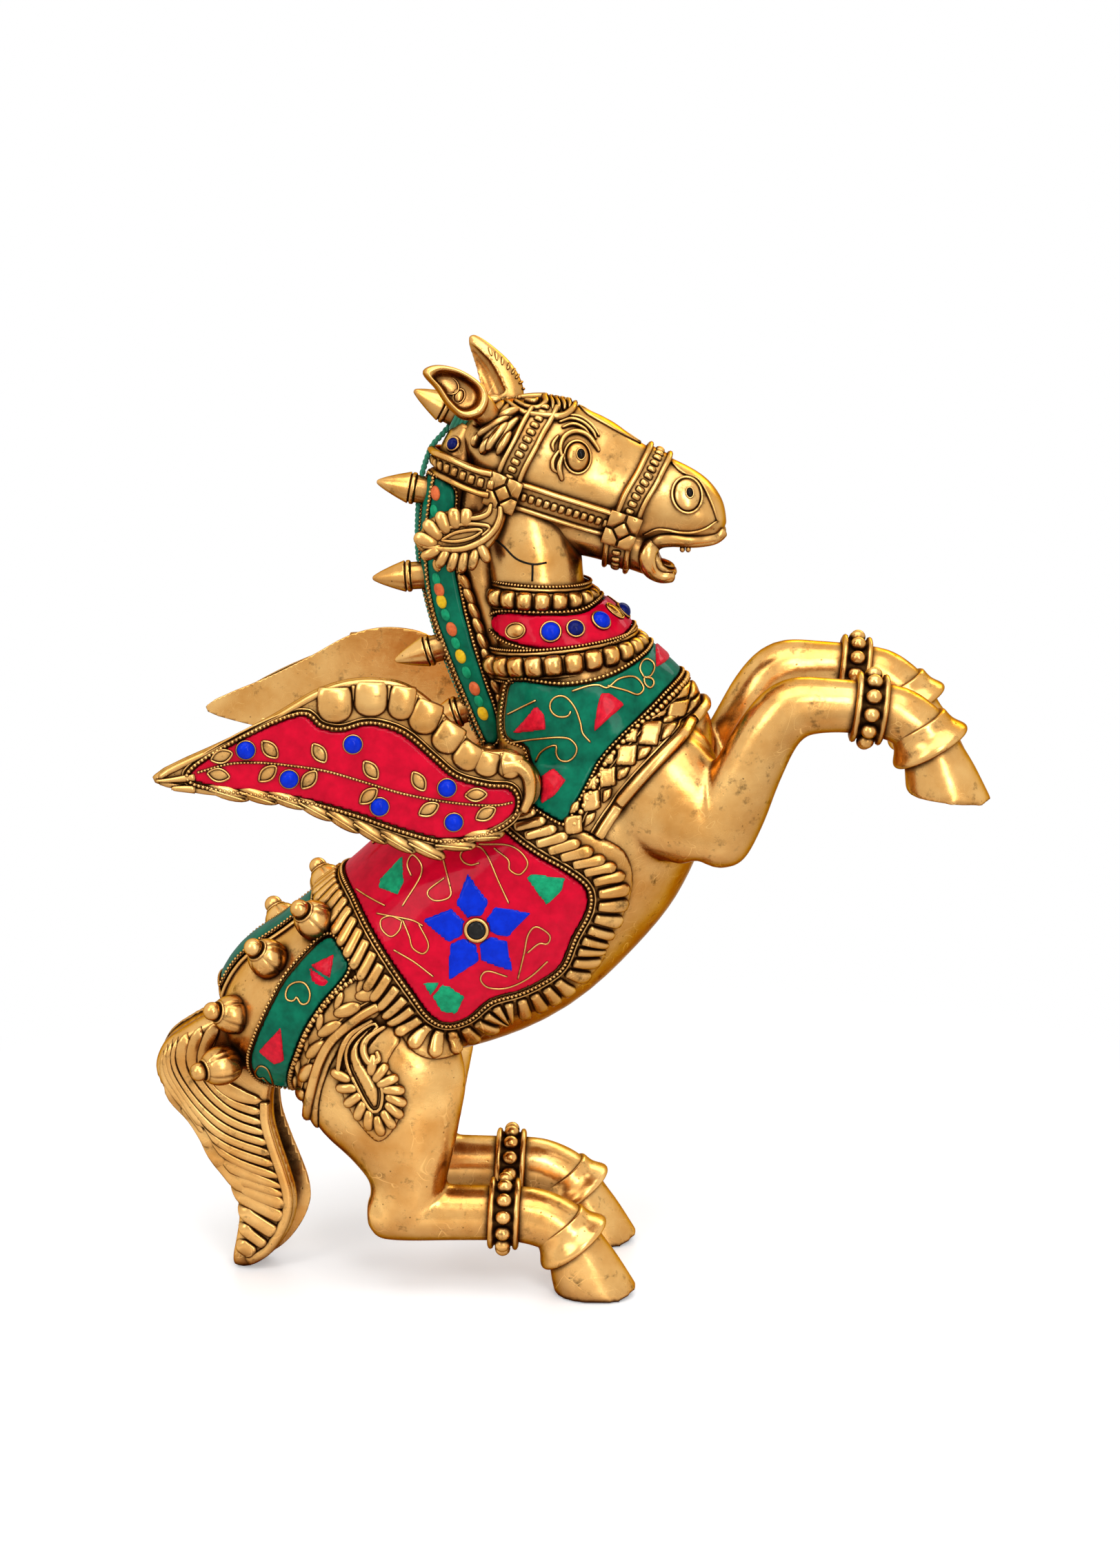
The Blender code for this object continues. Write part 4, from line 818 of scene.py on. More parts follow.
def leg_forms(side):
    """The upper and lower bodies of the fore and the hind leg on one side."""
    (x, y, z), tilt = FORE_SOLE
    fore_upper, fore_lower, thigh, shank = (
        sided(rows, side) for rows in (FORE_UPPER, FORE_LOWER, HIND_THIGH, HIND_SHANK)
    )
    down = (-math.sin(math.radians(tilt)), 0, -math.cos(math.radians(tilt)))
    fore_hoof = trimmed(loft(fore_lower[HOOF_FROM:]), (x, side * abs(y), z), down)
    return {
        f"{SIDE_NAMES[side]}_foreleg": [loft(fore_upper), loft(fore_lower[: HOOF_FROM + 2]), fore_hoof],
        f"{SIDE_NAMES[side]}_hindleg": [loft(thigh), trimmed(loft(shank), (0, 0, 0), (0, 0, -1))],
    }


# Fills the fold between the chest and the root of a foreleg
PECTORAL = [
    (27, -18, 186, 3, 4), (28.5, -18, 183, 7, 8), (31, -18, 178.5, 10.5, 10), (33.5, -18, 173, 11.5, 11),
    (35.5, -18, 167, 10, 10), (37, -18, 162, 4, 5),
]
TORSO_FORMS = [loft(TORSO, 4, 64), loft(PECTORAL), loft(mirrored(PECTORAL))]
FORMS = {"torso": TORSO_FORMS, "neck": [loft(NECK, 4, 64)], **leg_forms(RIGHT), **leg_forms(LEFT)}
TRUNK = united([body for bodies in FORMS.values() for body in bodies], TRUNK_VOXEL, TRUNK_SMOOTHING)


def body_distance(bodies, points):
    """How far points lie outside (+) or inside (-) of the nearest of some bodies."""
    nearest = np.full(len(points), FAR_OFF)
    for body in bodies:
        polygons = [face for faces in body[1:] for face in np.asarray(faces).tolist()]
        tree = BVHTree.FromPolygons(body[0].tolist(), polygons)
        for i, point in enumerate(points):
            spot, normal, _, distance = tree.find_nearest(Vector(point))
            signed = distance if (Vector(point) - spot).dot(normal) > 0 else -distance
            nearest[i] = min(nearest[i], signed)
    return nearest


def capped(points, faces):
    """A surface with each of its open loops closed by a fan."""
    follow = dict(open_edges(faces, len(points)).tolist())
    left, centres, fans = set(follow), [], []
    while left:
        start = left.pop()
        loop, key = [start], follow[start]
        while key in left:
            left.discard(key)
            loop.append(key)
            key = follow.get(key)
        middle = len(points) + len(centres)
        centres.append(points[loop].mean(axis=0))
        fans += [(loop[(i + 1) % len(loop)], loop[i], middle) for i in range(len(loop))]
    if not fans:
        return points, faces
    return np.vstack([points, centres]), np.vstack([faces, fans])


def make_castings():
    """The body castings, cut from one smooth skin along the lines where their forms meet."""
    distances = {name: body_distance(bodies, TRUNK.points) for name, bodies in FORMS.items()}
    for name in FORMS:
        others = np.min([distances[other] for other in FORMS if other != name], axis=0)
        points, normals, _, faces = TRUNK.clipped(distances[name] - others)
        closed_points, closed_faces = capped(points, faces)
        obj = Shape().add(closed_points, closed_faces).piece(f"{name}_casting", BRASS, name)
        spare = np.zeros((len(closed_points) - len(points), 3))
        obj.data.normals_split_custom_set_from_vertices(np.vstack([normals, spare]).tolist())


make_castings()

# Rolled bands over the hooves as (centre of the lip, direction, radius of the leg)
CORONETS = {
    "fore": ((108.9, -34, 184.2), (0.5, 0, -0.87), 8.7), "hind": ((-0.4, -24, 18), (0.6, 0, -0.8), 8.9),
}
# Radius beyond the leg and height along the leg
CORONET_PROFILE = [
    (-1.6, -7.2), (0.3, -7), (0.75, -6.2), (1.0, -4.9), (1.5, -3.3), (2.3, -1.9), (3.1, -0.8), (3.75, 0.2),
    (4.0, 1.1), (3.7, 1.9), (2.9, 2.35), (1.6, 2.3), (-1.6, 2.2),
]


def make_coronets():
    for name, (centre, way, leg) in CORONETS.items():
        profile = smooth_rows([(leg + out, height) for out, height in CORONET_PROFILE], 3)
        Shape().add(*turned(profile, centre, way, 64)).pair(f"{name}_coronet", BRASS)


make_coronets()


# Saddle

BEAD, WIRE = 0.66, 0.3
# Trims: distances outside of an inlay's edge, and what runs there as (kind, radius, height over the skin)
SADDLE_TRIM = [(0.9, (wire, 0.5, 1.5), (beads, BEAD, 1.9)), (2.2, (wire, 0.45, 1.5))]
SADDLE_BASE = 1.2
# The border's tongues: where they start, their pitch, length, steps along it, how much of the pitch they
# fill, largest half width, height and lift
BORDER_FOOT, BORDER_PITCH, BORDER_LENGTH, BORDER_STEPS = 3.2, 4.2, 10.2, 10
BORDER_FILL, BORDER_HALF, BORDER_HEIGHT, BORDER_LIFT = 1.04, 2.7, 2.3, 0.9
# Stones are let into an inlay down to a height, and stand over its face
STONE_FOOT, STONE_RISE, PETAL_RISE, PETAL_EDGE, WIRE_RISE = 1.0, 0.45, 0.4, 0.35, 0.1
# The flower's hub as half sizes, height over the inlay, and the radius and wire of its ring
HUB_SIZE, HUB_RISE, HUB_RING = (2.9, 2.9, 0.9), 0.3, (3.35, 0.62, 40, 8)
FLOWER_CENTRE = (-29.5, 124.8)
FLOWER_TIPS = [(-32, 141.8), (-12.5, 130.9), (-18.5, 111.3), (-38.5, 108.6), (-46.7, 126.9)]
# Corners of a petal before and after its tip as (distance from the centre, degrees off the tip)
FLOWER_PETAL = ((4.5, -30.5), (9.8, -32.6), (9.8, 32.6), (4.5, 30.5))
SADDLE_STONES = [
    [(-52.8, 143.7), (-52.1, 136.7), (-53.9, 133.1), (-60.3, 134), (-60, 136.3)],
    [(-14.4, 141.9), (-11.8, 142.9), (-2, 142), (-3.4, 137.3), (-7.9, 132.9)],
    [(-46.8, 108.2), (-40.8, 108.5), (-44.2, 103.5)],
    [(-43.8, 103.4), (-40.4, 107.6), (-38.2, 107), (-33.7, 103.4), (-36.5, 97.2), (-41.1, 98.2)],
]
SADDLE_WIRES = [
    [(-52.5, 130.2), (-46.4, 140.2), (-49.3, 144.1), (-51.2, 141.5), (-49.8, 138.7)],
    [(-40.5, 147.3), (-37.9, 138.6), (-37.5, 134.3), (-42.2, 132.7), (-44.6, 135), (-39.3, 139.4)],
    [
        (-28.3, 144.9), (-31, 144), (-33.4, 144.8), (-34, 147), (-30.4, 149.4), (-26.4, 148.2),
        (-22.3, 139.7), (-19.4, 133.5),
    ],
    [
        (-28.4, 150.2), (-18.4, 150.7), (-13.5, 146.4), (-15.8, 142.5), (-19, 143.7), (-19.4, 146.6),
        (-23.7, 149.6),
    ],
    [(-60.6, 127.3), (-50.1, 126.7), (-46, 125.2)],
    [
        (-52.6, 126.2), (-56.2, 127.1), (-59.2, 125.6), (-58.8, 123), (-56, 121.3), (-53.4, 123.4),
        (-52.6, 126.2),
    ],
    [(-52.4, 126.5), (-50.3, 121.8), (-49.3, 118.5), (-46, 117), (-44.4, 120), (-47.4, 125.7)],
    [(-55.3, 117.6), (-49, 114.4), (-43.1, 110)],
    [
        (-17.3, 108.9), (-15.2, 117.3), (-13.8, 123.6), (-11.2, 126.3), (-7.3, 123.5), (-8, 120.6),
        (-10.6, 120.7), (-14.2, 117.7),
    ],
    [
        (-20.5, 109.9), (-26.4, 111.9), (-28.7, 109.4), (-26.5, 106.4), (-20.6, 106), (-14, 109.1),
        (-8.1, 114.6),
    ],
    [(-67.6, 132.3), (-57.9, 129.7)],
]
# Flower over the spine: a point above its middle, the way along the back, its petals' turns, reach and
# half sizes, the half sizes of its middle and the wire of its rims
SPINE_FLOWER, SPINE_WAY = (-63.5, 0.0, 158.0), np.array([0.79, 0.0, 0.62])
SPINE_TURNS, SPINE_REACH, SPINE_PETAL = (30, 90, 150, 210, 270, 330), 6.0, (4.0, 2.1, 0.7)
SPINE_MIDDLE, SPINE_RIM = (1.5, 1.5, 0.9), 0.36
# Where the saddle's tongues lean, as the height from which and the span over which it sets in and the side
# of x on which it holds; how far and which way they lean
REAR_LEAN, FRONT_LEAN = (92, 30, -42), (136, 10, -30)
LEAN_SHARE, LEAN_WAY = 0.75, np.array([0.6, 0, -0.8])


def away_from(outline, points, reach=0.4):
    """Side-view directions in which points leave an outline fastest."""
    ahead, up = np.array([reach, 0, 0]), np.array([0, 0, reach])
    dx = outline_field(outline, points + ahead) - outline_field(outline, points - ahead)
    dz = outline_field(outline, points + up) - outline_field(outline, points - up)
    return unit(np.stack([dx, 0 * dx, dz], axis=1))


def tongue_paths(skin, outline, run):
    """Paths over a skin, side by side, that leave an outline from a run along it."""
    count = int(round(run_length(run) / BORDER_PITCH))
    spots = resampled(run, count + 1)[:-1]
    place, normal = spots[:, :3], unit(spots[:, 3:])
    paths, normals = [place], [normal]
    for _ in range(BORDER_STEPS):
        way = unit(away_from(outline, place) + saddle_lean(place))
        way = unit(way - normal * (way * normal).sum(axis=1, keepdims=True))
        place, normal = halves(skin.stick(place + way * BORDER_LENGTH / BORDER_STEPS))
        paths.append(place)
        normals.append(normal)
    return np.stack(paths, axis=1), np.stack(normals, axis=1)


def tongues(paths, normals):
    """Rounded tongues along paths that lie side by side."""
    beside = np.linalg.norm(np.roll(paths, -1, axis=0) - paths, axis=2)
    beside = np.minimum(beside, np.roll(beside, 1, axis=0))
    swell = teardrop(np.linspace(0, 1, paths.shape[1]))
    widths = np.clip(BORDER_FILL * beside / 2, WIRE, BORDER_HALF) * swell
    return swept(paths, normals, widths, BORDER_HEIGHT * swell**0.5, 16, BORDER_LIFT, 0.66)


def saddle_lean(points):
    """How far the saddle's tongues lean: down the rear edge, forwards at the top of the front edge."""
    x, z = points[:, 0], points[:, 2]
    start, span, before = REAR_LEAN
    rear = np.clip((z - start) / span, 0, 1) * (x < before)
    start, span, beyond = FRONT_LEAN
    front = np.clip((z - start) / span, 0, 1) * (x > beyond)
    return LEAN_SHARE * np.maximum(rear, front)[:, None] * LEAN_WAY


def teardrop(t):
    """Half width along a tongue: it widens, then rounds off."""
    tip = np.clip((t - 0.72) / 0.285, 0, 1)
    return (0.74 + 0.26 * t**0.8) * np.sqrt(np.clip(1 - tip**2, 0.01, 1))


def edged(shape, skin, field, trim, mask=None, most=None):
    """Adds a trim along the lines that lie its distances outside of a field's edge."""
    for offset, *rows in trim:
        for run in skin.lines(field - offset, mask)[:most]:
            for make, *sizes in rows:
                shape.add(*make(run, *sizes))
    return shape


def inlaid(skin, field):
    """An inlay where a field is negative."""
    return Shape().add(*skin.plate(field, BED, INLAY_HEIGHT, INLAY_EDGE))


def stones(skin, outlines, low, high, side=0, edge=0.5):
    """Flat stones with rounded edges, on both sides of the horse or on one."""
    shape = Shape()
    for outline in outlines:
        field = skin.field(outline, steps=1)
        if side:
            field = np.maximum(field, skin.on_side(side))
        shape.add(*skin.plate(field, low, high, edge))
    return shape


def surface_wires(skin, paths, height, radius=WIRE, sides=SIDES):
    shape = Shape()
    for path in paths:
        for side in sides:
            shape.add(*wire(skin.trace(path, side, 6), radius, height))
    return shape


def flower_petals():
    """Kite-shaped petals about the saddle's centre."""
    centre, petals = np.array(FLOWER_CENTRE), []
    for tip in np.array(FLOWER_TIPS, float):
        facing = math.degrees(math.atan2(*(tip - centre)[::-1]))
        corners = [centre + reach * heading(facing + turn)[[0, 2]] for reach, turn in FLOWER_PETAL]
        petals.append([*corners[:2], tip, *corners[2:]])
    return petals


def cabochons(skin, spots, side, radius, height, rim):
    """(stones, bezels): domed round stones on a skin, each in a thin ring."""
    domes, rings = Shape(), Shape()
    for spot in skin.cast(spots, side):
        place, normal = spot[:3] + spot[3:] * height, spot[3:]
        along = np.cross(normal, [0.3, 0.2, 1.0])
        domes.add(*blobs(place, normal, along, (radius, radius, radius * 0.8)))
        rings.add(*ring_about(place, normal, radius + rim * 0.4, rim))
    return domes, rings


def ring_about(centre, normal, radius, tube_radius, count=28, sides=6, stretch=1.0, along=(0, 0, 1)):
    """A round or oval ring lying square to a normal."""
    normal = unit(np.asarray(normal, float))
    first = unit(np.asarray(along, float) - normal * (np.asarray(along, float) @ normal))
    second = np.cross(normal, first)
    turn = circle(count)
    spokes = stretch * np.cos(turn)[:, None] * first + np.sin(turn)[:, None] * second
    angles = circle(sides)
    out = unit(spokes)[:, None] * np.cos(angles)[:, None] + normal * np.sin(angles)[:, None]
    grid = (centre + radius * spokes)[:, None] + tube_radius * out
    index = np.arange(count * sides).reshape(count, sides)
    ahead, turned = np.roll(index, -1, axis=0), np.roll(index, -1, axis=1)
    quads = np.stack([index, ahead, np.roll(ahead, -1, axis=1), turned], axis=-1).reshape(-1, 4)
    return grid.reshape(-1, 3), quads


def make_saddle():
    inlay, outer = TRUNK.field(SADDLE_INLAY), TRUNK.field(SADDLE_OUTER)
    inlaid(TRUNK, inlay).piece("saddle_field", RED, "saddle_inlay")
    border = Shape().add(*TRUNK.plate(np.maximum(outer, -inlay), BED, SADDLE_BASE))
    edged(border, TRUNK, inlay, SADDLE_TRIM, most=1)
    border.add(*tongues(*tongue_paths(TRUNK, SADDLE_INLAY, TRUNK.lines(inlay - BORDER_FOOT)[0])))
    border.piece("saddle_border_tongues", BRASS, "saddle_border")
    chips = stones(TRUNK, SADDLE_STONES, STONE_FOOT, INLAY_HEIGHT + STONE_RISE)
    chips.piece("saddle_stones", GREEN_STONE)
    for side in SIDES:
        name = f"{SIDE_NAMES[side]}_saddle_flower"
        petals = stones(TRUNK, flower_petals(), STONE_FOOT, INLAY_HEIGHT + PETAL_RISE, side, PETAL_EDGE)
        petals.piece(f"{name}_petals", BLUE, name)
    hub, rims = Shape(), surface_wires(TRUNK, SADDLE_WIRES, INLAY_HEIGHT + WIRE_RISE)
    for side in SIDES:
        spot = TRUNK.cast([FLOWER_CENTRE], side, INLAY_HEIGHT + HUB_RISE)[0]
        place, normal = spot[:3], spot[3:]
        hub.add(*blobs(place, normal, (0, 0, 1), HUB_SIZE))
        rims.add(*ring_about(place, normal, *HUB_RING))
    petals = Shape()
    middle = TRUNK.stick([SPINE_FLOWER])[0]
    rims.add(*blobs(middle[:3] + middle[3:] * INLAY_HEIGHT, middle[3:], SPINE_WAY, SPINE_MIDDLE))
    long, wide, _ = SPINE_PETAL
    for turn in np.radians(SPINE_TURNS):
        way = math.cos(turn) * SPINE_WAY + math.sin(turn) * np.array([0.0, 1.0, 0.0])
        spot = TRUNK.stick([middle[:3] + way * SPINE_REACH], INLAY_HEIGHT + WIRE_RISE)[0]
        petals.add(*blobs(spot[:3], spot[3:], way, SPINE_PETAL))
        rims.add(*ring_about(spot[:3], spot[3:], wide, SPINE_RIM, 36, 6, long / wide, way))
    petals.piece("saddle_spine_petals", NAVY)
    hub.piece("saddle_flower_hubs", BLACK)
    rims.piece("saddle_wires", BRASS)


make_saddle()


# Wings

WING_OUTLINE = [
    (-127.5, 177), (-104, 188.4), (-90.5, 195.4), (-78.5, 202.2), (-68.5, 205.4), (-59, 205.7),
    (-51, 203.9), (-43.6, 198.8), (-36.6, 191.2), (-30.4, 184.9), (-25, 182.6), (-18.5, 182.4),
    (-13.5, 178.4), (-12, 172), (-13, 165), (-19, 160), (-28, 155), (-36, 152.6), (-44, 151),
    (-53, 153.5), (-63, 157.5), (-74, 162.5), (-86, 167.6), (-100, 170), (-114, 171.6),
]
WING_INLAY = [
    (-116.5, 178), (-101, 188), (-83, 195.2), (-77, 191.4), (-70.5, 190), (-62, 191.8), (-52, 188.6),
    (-43.5, 181), (-36, 174.5), (-26, 171.4), (-19.5, 170.6), (-17.5, 166.5), (-19.5, 161.6), (-27, 157.6),
    (-39, 155.4), (-52.5, 159), (-67, 164.6), (-86, 170.2), (-108, 173.6),
]
# The wing turns about an upright line at (x, y); a stud of a radius and height, between two y, holds it
WING_ROOT, WING_SPREAD = (-16.0, -38.0), 9.0
STUD_RADIUS, STUD_Z, STUD_ENDS = 6.3, 170, (-14.0, -39.0)
# Lobes of the leading edge: foot and top (x, z) and half width; leaves as (x, z, turn in degrees)
WING_LOBES = [
    ((-72.4, 192.2), (-72.4, 203.4), 5.5), ((-61.8, 193.8), (-61.3, 204.8), 5.3),
    ((-53, 192.6), (-51.4, 203.2), 4.4), ((-47.4, 188.4), (-43.2, 198.2), 4.9),
    ((-41.2, 182.6), (-35.8, 191), 4.7), ((-35, 177.2), (-30, 184.6), 4.5),
    ((-27.6, 174.4), (-25.4, 182.2), 4.0), ((-20.6, 173.6), (-18.2, 181.6), 3.9),
]
WING_LEAVES = [
    (-106.6, 183.3, 17), (-107.7, 177.6, -12), (-92.2, 185, -50), (-93, 177.6, 40), (-77.4, 183.5, -58),
    (-80.6, 175.4, 50), (-61.9, 177.8, -55), (-62.7, 169.8, 40), (-47.4, 173.9, -60), (-44.4, 165.1, 27),
    (-29.9, 169.2, 2), (-27, 163.2, 28),
]
WING_STONES = [(-99.4, 185), (-86.6, 175.7), (-67.2, 185.9), (-59.4, 166.3), (-38.8, 171.6), (-36.8, 160.8)]
WING_VEIN = [
    (-113.7, 178.6), (-104.4, 180.9), (-95.2, 181), (-86, 179.8), (-75.6, 177.9), (-63.3, 173.9),
    (-53, 170.4), (-42.5, 167.9), (-32, 166.2), (-23.6, 165.7), (-19, 166.4),
]
WING_BASE, WING_FIELD = 2.8, 3.5
# Rounding of the plate's edge; its rim's distance inside the edge, radius, height and sides
WING_EDGE, WING_RIM = 1.8, (1.3, 1.15, 2.3, 8)
WING_TRIM = [
    (0.7, (wire, 0.55, WING_FIELD - 0.2), (beads, BEAD, WING_FIELD + 0.25)),
    (1.9, (wire, 0.4, WING_BASE + 0.1)),
]
# Height of the lobes, and width and height of the strips between them
LOBE_HEIGHT, LOBE_STRIP = 2.3, (np.linspace(0.15, 0.75, 7), 1.0)
# Feathers below: first point of the outline's lower edge, how many, half sizes, shift and lean of each, and
# the reach, shift, half width and height of its ridge
PINION_FROM, PINION_COUNT, PINION_SIZE = 16, 10, (7.2, 2.5, 2.2)
PINION_SHIFT, PINION_LEAN = np.array([0, -1.9, 1.3]), np.array([-0.1, 0, 0.28])
RIDGE_REACH, RIDGE_SHIFT, RIDGE_SIZE = np.linspace(-5.4, 6, 9), np.array([0, -1.5, -0.7]), (0.5, 0.9)
WING_TIPS = [
    [(-126.5, 176.2), (-121, 176.4), (-114.8, 177)], [(-121.3, 173.6), (-121, 173.8), (-114.8, 173.36)],
]
WING_CAP = [(-22, 177.5), (-17, 177.8), (-13.8, 174.5), (-13.4, 168.5), (-15.4, 163.5)]
# Half widths at both ends and height of the tip's strokes, at a height, and of the cap over the root
TIP_AT, TIP_WIDTHS, TIP_HEIGHT, CAP_WIDTHS, CAP_HEIGHT = 3.0, (0.4, 1.5), 1.2, (3.2, 1.6), 2.6
# Foot and edge of the field; its leaves as length, half width and height, the wire round each; its vein
FIELD_FOOT, FIELD_EDGE, LEAF_SIZE, LEAF_WIRE = 1.5, 0.5, (6.9, 2.0, 0.35), (0.34, 0.4)
VEIN_WIRE, VEIN_BEADS = (0.4, WING_FIELD), (0.5, WING_FIELD + 0.3)
# Stones of the field: half sizes, rise, and the gap and wire of the ring round each
WING_STONE, WING_STONE_RISE, WING_STONE_GAP, WING_STONE_WIRE = (2.75, 2.75, 2.2), 0.2, 0.1, 0.3
OUTWARD = np.array([0, -1.0, 0])


def flat_skin(outline, cell, spare=3.0):
    """A level skin in the drawing's side view, facing the right."""
    low, high = np.min(outline, axis=0) - spare, np.max(outline, axis=0) + spare
    xs, zs = np.arange(low[0], high[0], cell), np.arange(low[1], high[1], cell)
    x, z = np.meshgrid(xs, zs, indexing="ij")
    points = np.stack([x.ravel(), 0 * x.ravel(), z.ravel()], axis=1)
    index = np.arange(len(points)).reshape(x.shape)
    a, b, c, d = index[:-1, :-1], index[1:, :-1], index[1:, 1:], index[:-1, 1:]
    cells = np.stack([np.stack([a, b, c], -1), np.stack([a, c, d], -1)], axis=2)
    return Skin(points, cells.reshape(-1, 3))


def level(path, height, steps=6):
    """(point, normal) columns of a side-view path at a height over the flat skin."""
    run = smooth_rows(path, steps) if steps > 1 else np.array(path, float)
    flat = np.full(len(run), 0.0)
    return np.stack([run[:, 0], flat - height, run[:, 1], flat, flat - 1, flat], axis=1)


def almond(centre, turn, length, width, height):
    """(body, rim) of a pointed leaf lying flat on a wing's field."""
    t = np.linspace(0, 1, 13)
    along = heading(turn)
    aside = np.array([-along[2], 0, along[0]])
    half = width * np.sin(math.pi * t) ** 0.8
    path = np.array([centre[0], -WING_FIELD, centre[1]]) + along * ((t - 0.5) * length)[:, None]
    rise = np.maximum(height * np.sin(math.pi * t) ** 0.5, 0.05)
    body = swept(path, OUTWARD, np.maximum(half, 0.05), rise, 12)
    rims = [path + aside * (half * way)[:, None] for way in (1, -1)]
    loop = np.vstack([rims[0], rims[1][::-1][1:]])
    return body, np.hstack([loop, np.broadcast_to(OUTWARD, loop.shape)])


def wing_lobes():
    """The lobes of the leading edge and the strips between them."""
    made = Shape()
    t = np.linspace(0, 1, 15)
    round_end = np.sqrt(np.clip(1 - np.clip((0.42 - t) / 0.425, 0, 1) ** 2, 0.02, 1))
    swell = round_end * (1 - 0.14 * np.clip((t - 0.75) / 0.25, 0, 1) ** 2)
    rise = 2.7 - 0.5 * np.clip((t - 0.6) / 0.4, 0, 1) ** 2
    lobes = [(np.array(foot), np.array(top), half) for foot, top, half in WING_LOBES]
    for foot, top, half in lobes:
        path = level(foot + (top - foot) * t[:, None], 0.0, 1)
        made.add(*rail(path, half * swell, LOBE_HEIGHT * swell, 20, rise, 0.9))
    for (foot, top, half), (next_foot, next_top, next_half) in zip(lobes[:-1], lobes[1:]):
        share = half / (half + next_half)
        foot, top = foot + share * (next_foot - foot), top + share * (next_top - top)
        path = level(foot + (top - foot) * np.linspace(0.55, 0.98, 7)[:, None], 2.9, 1)
        made.add(*rail(path, *LOBE_STRIP))
    return made


def wing_feathers():
    """The feathers along the lower edge, each with a ridge."""
    made = Shape()
    spots = resampled(side_view(smooth_rows(WING_OUTLINE[PINION_FROM:], 4)), PINION_COUNT + 1)
    for spot, ahead in zip(spots[:-1], spots[1:]):
        way = unit(unit(ahead - spot) + PINION_LEAN)
        centre = spot + PINION_SHIFT
        made.add(*blobs(centre, OUTWARD, way, PINION_SIZE))
        made.add(*swept(centre + way * RIDGE_REACH[:, None] + RIDGE_SHIFT, OUTWARD, *RIDGE_SIZE, 6))
    return made


def make_wings():
    skin = flat_skin(WING_OUTLINE, 0.9)
    edge, inlay = skin.field(WING_OUTLINE), skin.field(WING_INLAY)
    plate = Shape().add(*skin.plate(edge, 0.0, WING_BASE, WING_EDGE))
    inset, *rim_size = WING_RIM
    edged(plate, skin, edge, [(-inset, (wire, *rim_size))])
    edged(plate, skin, inlay, WING_TRIM)
    plate.take(wing_lobes()).take(wing_feathers())
    for line in WING_TIPS:
        tip = level(line, TIP_AT)
        plate.add(*rail(tip, np.linspace(*TIP_WIDTHS, len(tip)), TIP_HEIGHT))
    cap = level(WING_CAP, WING_BASE)
    plate.add(*rail(cap, np.linspace(*CAP_WIDTHS, len(cap)), CAP_HEIGHT, 12))
    for x, z, turn in WING_LEAVES:
        body, rim = almond((x, z), turn, *LEAF_SIZE)
        plate.add(*body).add(*wire(rim, *LEAF_WIRE))
    vein = level(WING_VEIN, 0.0)
    plate.add(*wire(vein, *VEIN_WIRE)).add(*beads(vein, *VEIN_BEADS))
    field = Shape().add(*skin.plate(inlay, FIELD_FOOT, WING_FIELD, FIELD_EDGE))
    domes = Shape()
    for x, z in WING_STONES:
        place = np.array([x, -WING_FIELD - WING_STONE_RISE, z])
        domes.add(*blobs(place, OUTWARD, (1, 0, 0), WING_STONE))
        plate.add(*ring_about(place, OUTWARD, WING_STONE[0] + WING_STONE_GAP, WING_STONE_WIRE))
    hinge = Matrix.Translation((*WING_ROOT, 0)) @ Matrix.Rotation(math.radians(WING_SPREAD), 4, "Z")
    swing = hinge @ Matrix.Translation((-WING_ROOT[0], 0, 0))
    plate, field, domes = (shape.moved(swing) for shape in (plate, field, domes))
    round_stud = np.stack([np.cos(circle(24)), np.sin(circle(24))], axis=1)
    ring = np.array([WING_ROOT[0], STUD_Z]) + STUD_RADIUS * round_stud
    plate.add(*tube([side_view(ring, y) for y in STUD_ENDS]))
    for side in SIDES:
        name = SIDE_NAMES[side]
        plate.on(side).piece(f"{name}_wing_plate", BRASS, f"{name}_wing", f"{name}_wing_stud")
        field.on(side).piece(f"{name}_wing_field", RED, f"{name}_wing_inlay")
        domes.on(side).piece(f"{name}_wing_stones", BLUE)


make_wings()


# Chest and neck

CHEST_STONES = [
    [(-10.7, 193.3), (-8.3, 191.1), (-7.7, 186.4), (-18.1, 183.8)],
    [(8.2, 197.3), (10.8, 197.3), (15.6, 193.9), (6.4, 185.9), (7, 192.1)],
    [(24.3, 207.4), (27, 206.3), (30.6, 203.4), (24.6, 202.5)],
    [(-5.5, 173.8), (-1.6, 170.7), (-5.1, 166.2), (-9.3, 163.4), (-9.4, 170.9)],
]
CHEST_WIRES = [
    [(-19.3, 189.4), (-15.3, 192.1), (-10.7, 194.9)],
    [
        (-0.4, 192.2), (-1.3, 190.7), (-4.3, 190.5), (-6.2, 192.1), (-6.5, 194.1), (-5.3, 196),
        (-3.2, 196.6), (-1.1, 195.6), (1, 192.8), (2.5, 188.7), (3.2, 185.7), (5.5, 183),
    ],
    [
        (-10.7, 175.7), (-9.5, 178.7), (-7.1, 180.9), (-4.6, 181.6), (-4.6, 179.2), (-3.4, 177.1),
        (-1, 176.9), (1.1, 179.1), (1.4, 181.6), (-0.4, 183.7), (-2.8, 184.2), (-6.5, 183.9),
        (-12.5, 182.7), (-18, 180.9),
    ],
    [
        (-0.2, 198), (4.3, 199.4), (7.5, 199.6), (10.2, 198.7), (13.2, 200.8), (16.8, 201.3),
        (19.2, 200.3), (21, 197.6), (19.2, 196.1), (15.6, 197.6), (10.2, 199.3),
    ],
    [
        (21, 200.5), (19.7, 202.8), (20.3, 204.7), (21.8, 205), (23.7, 203.7), (24, 202.1), (22.8, 200.5),
        (21, 200.5), (23.4, 199.8), (24, 198.4), (22.8, 197.5), (21.3, 198.8), (21, 200.5),
    ],
]
LOZENGE_LINE = [(0.5, 158), (7, 166.5), (13, 174.5), (20, 181.5), (28, 187.6), (36, 193.4), (42, 197.5)]
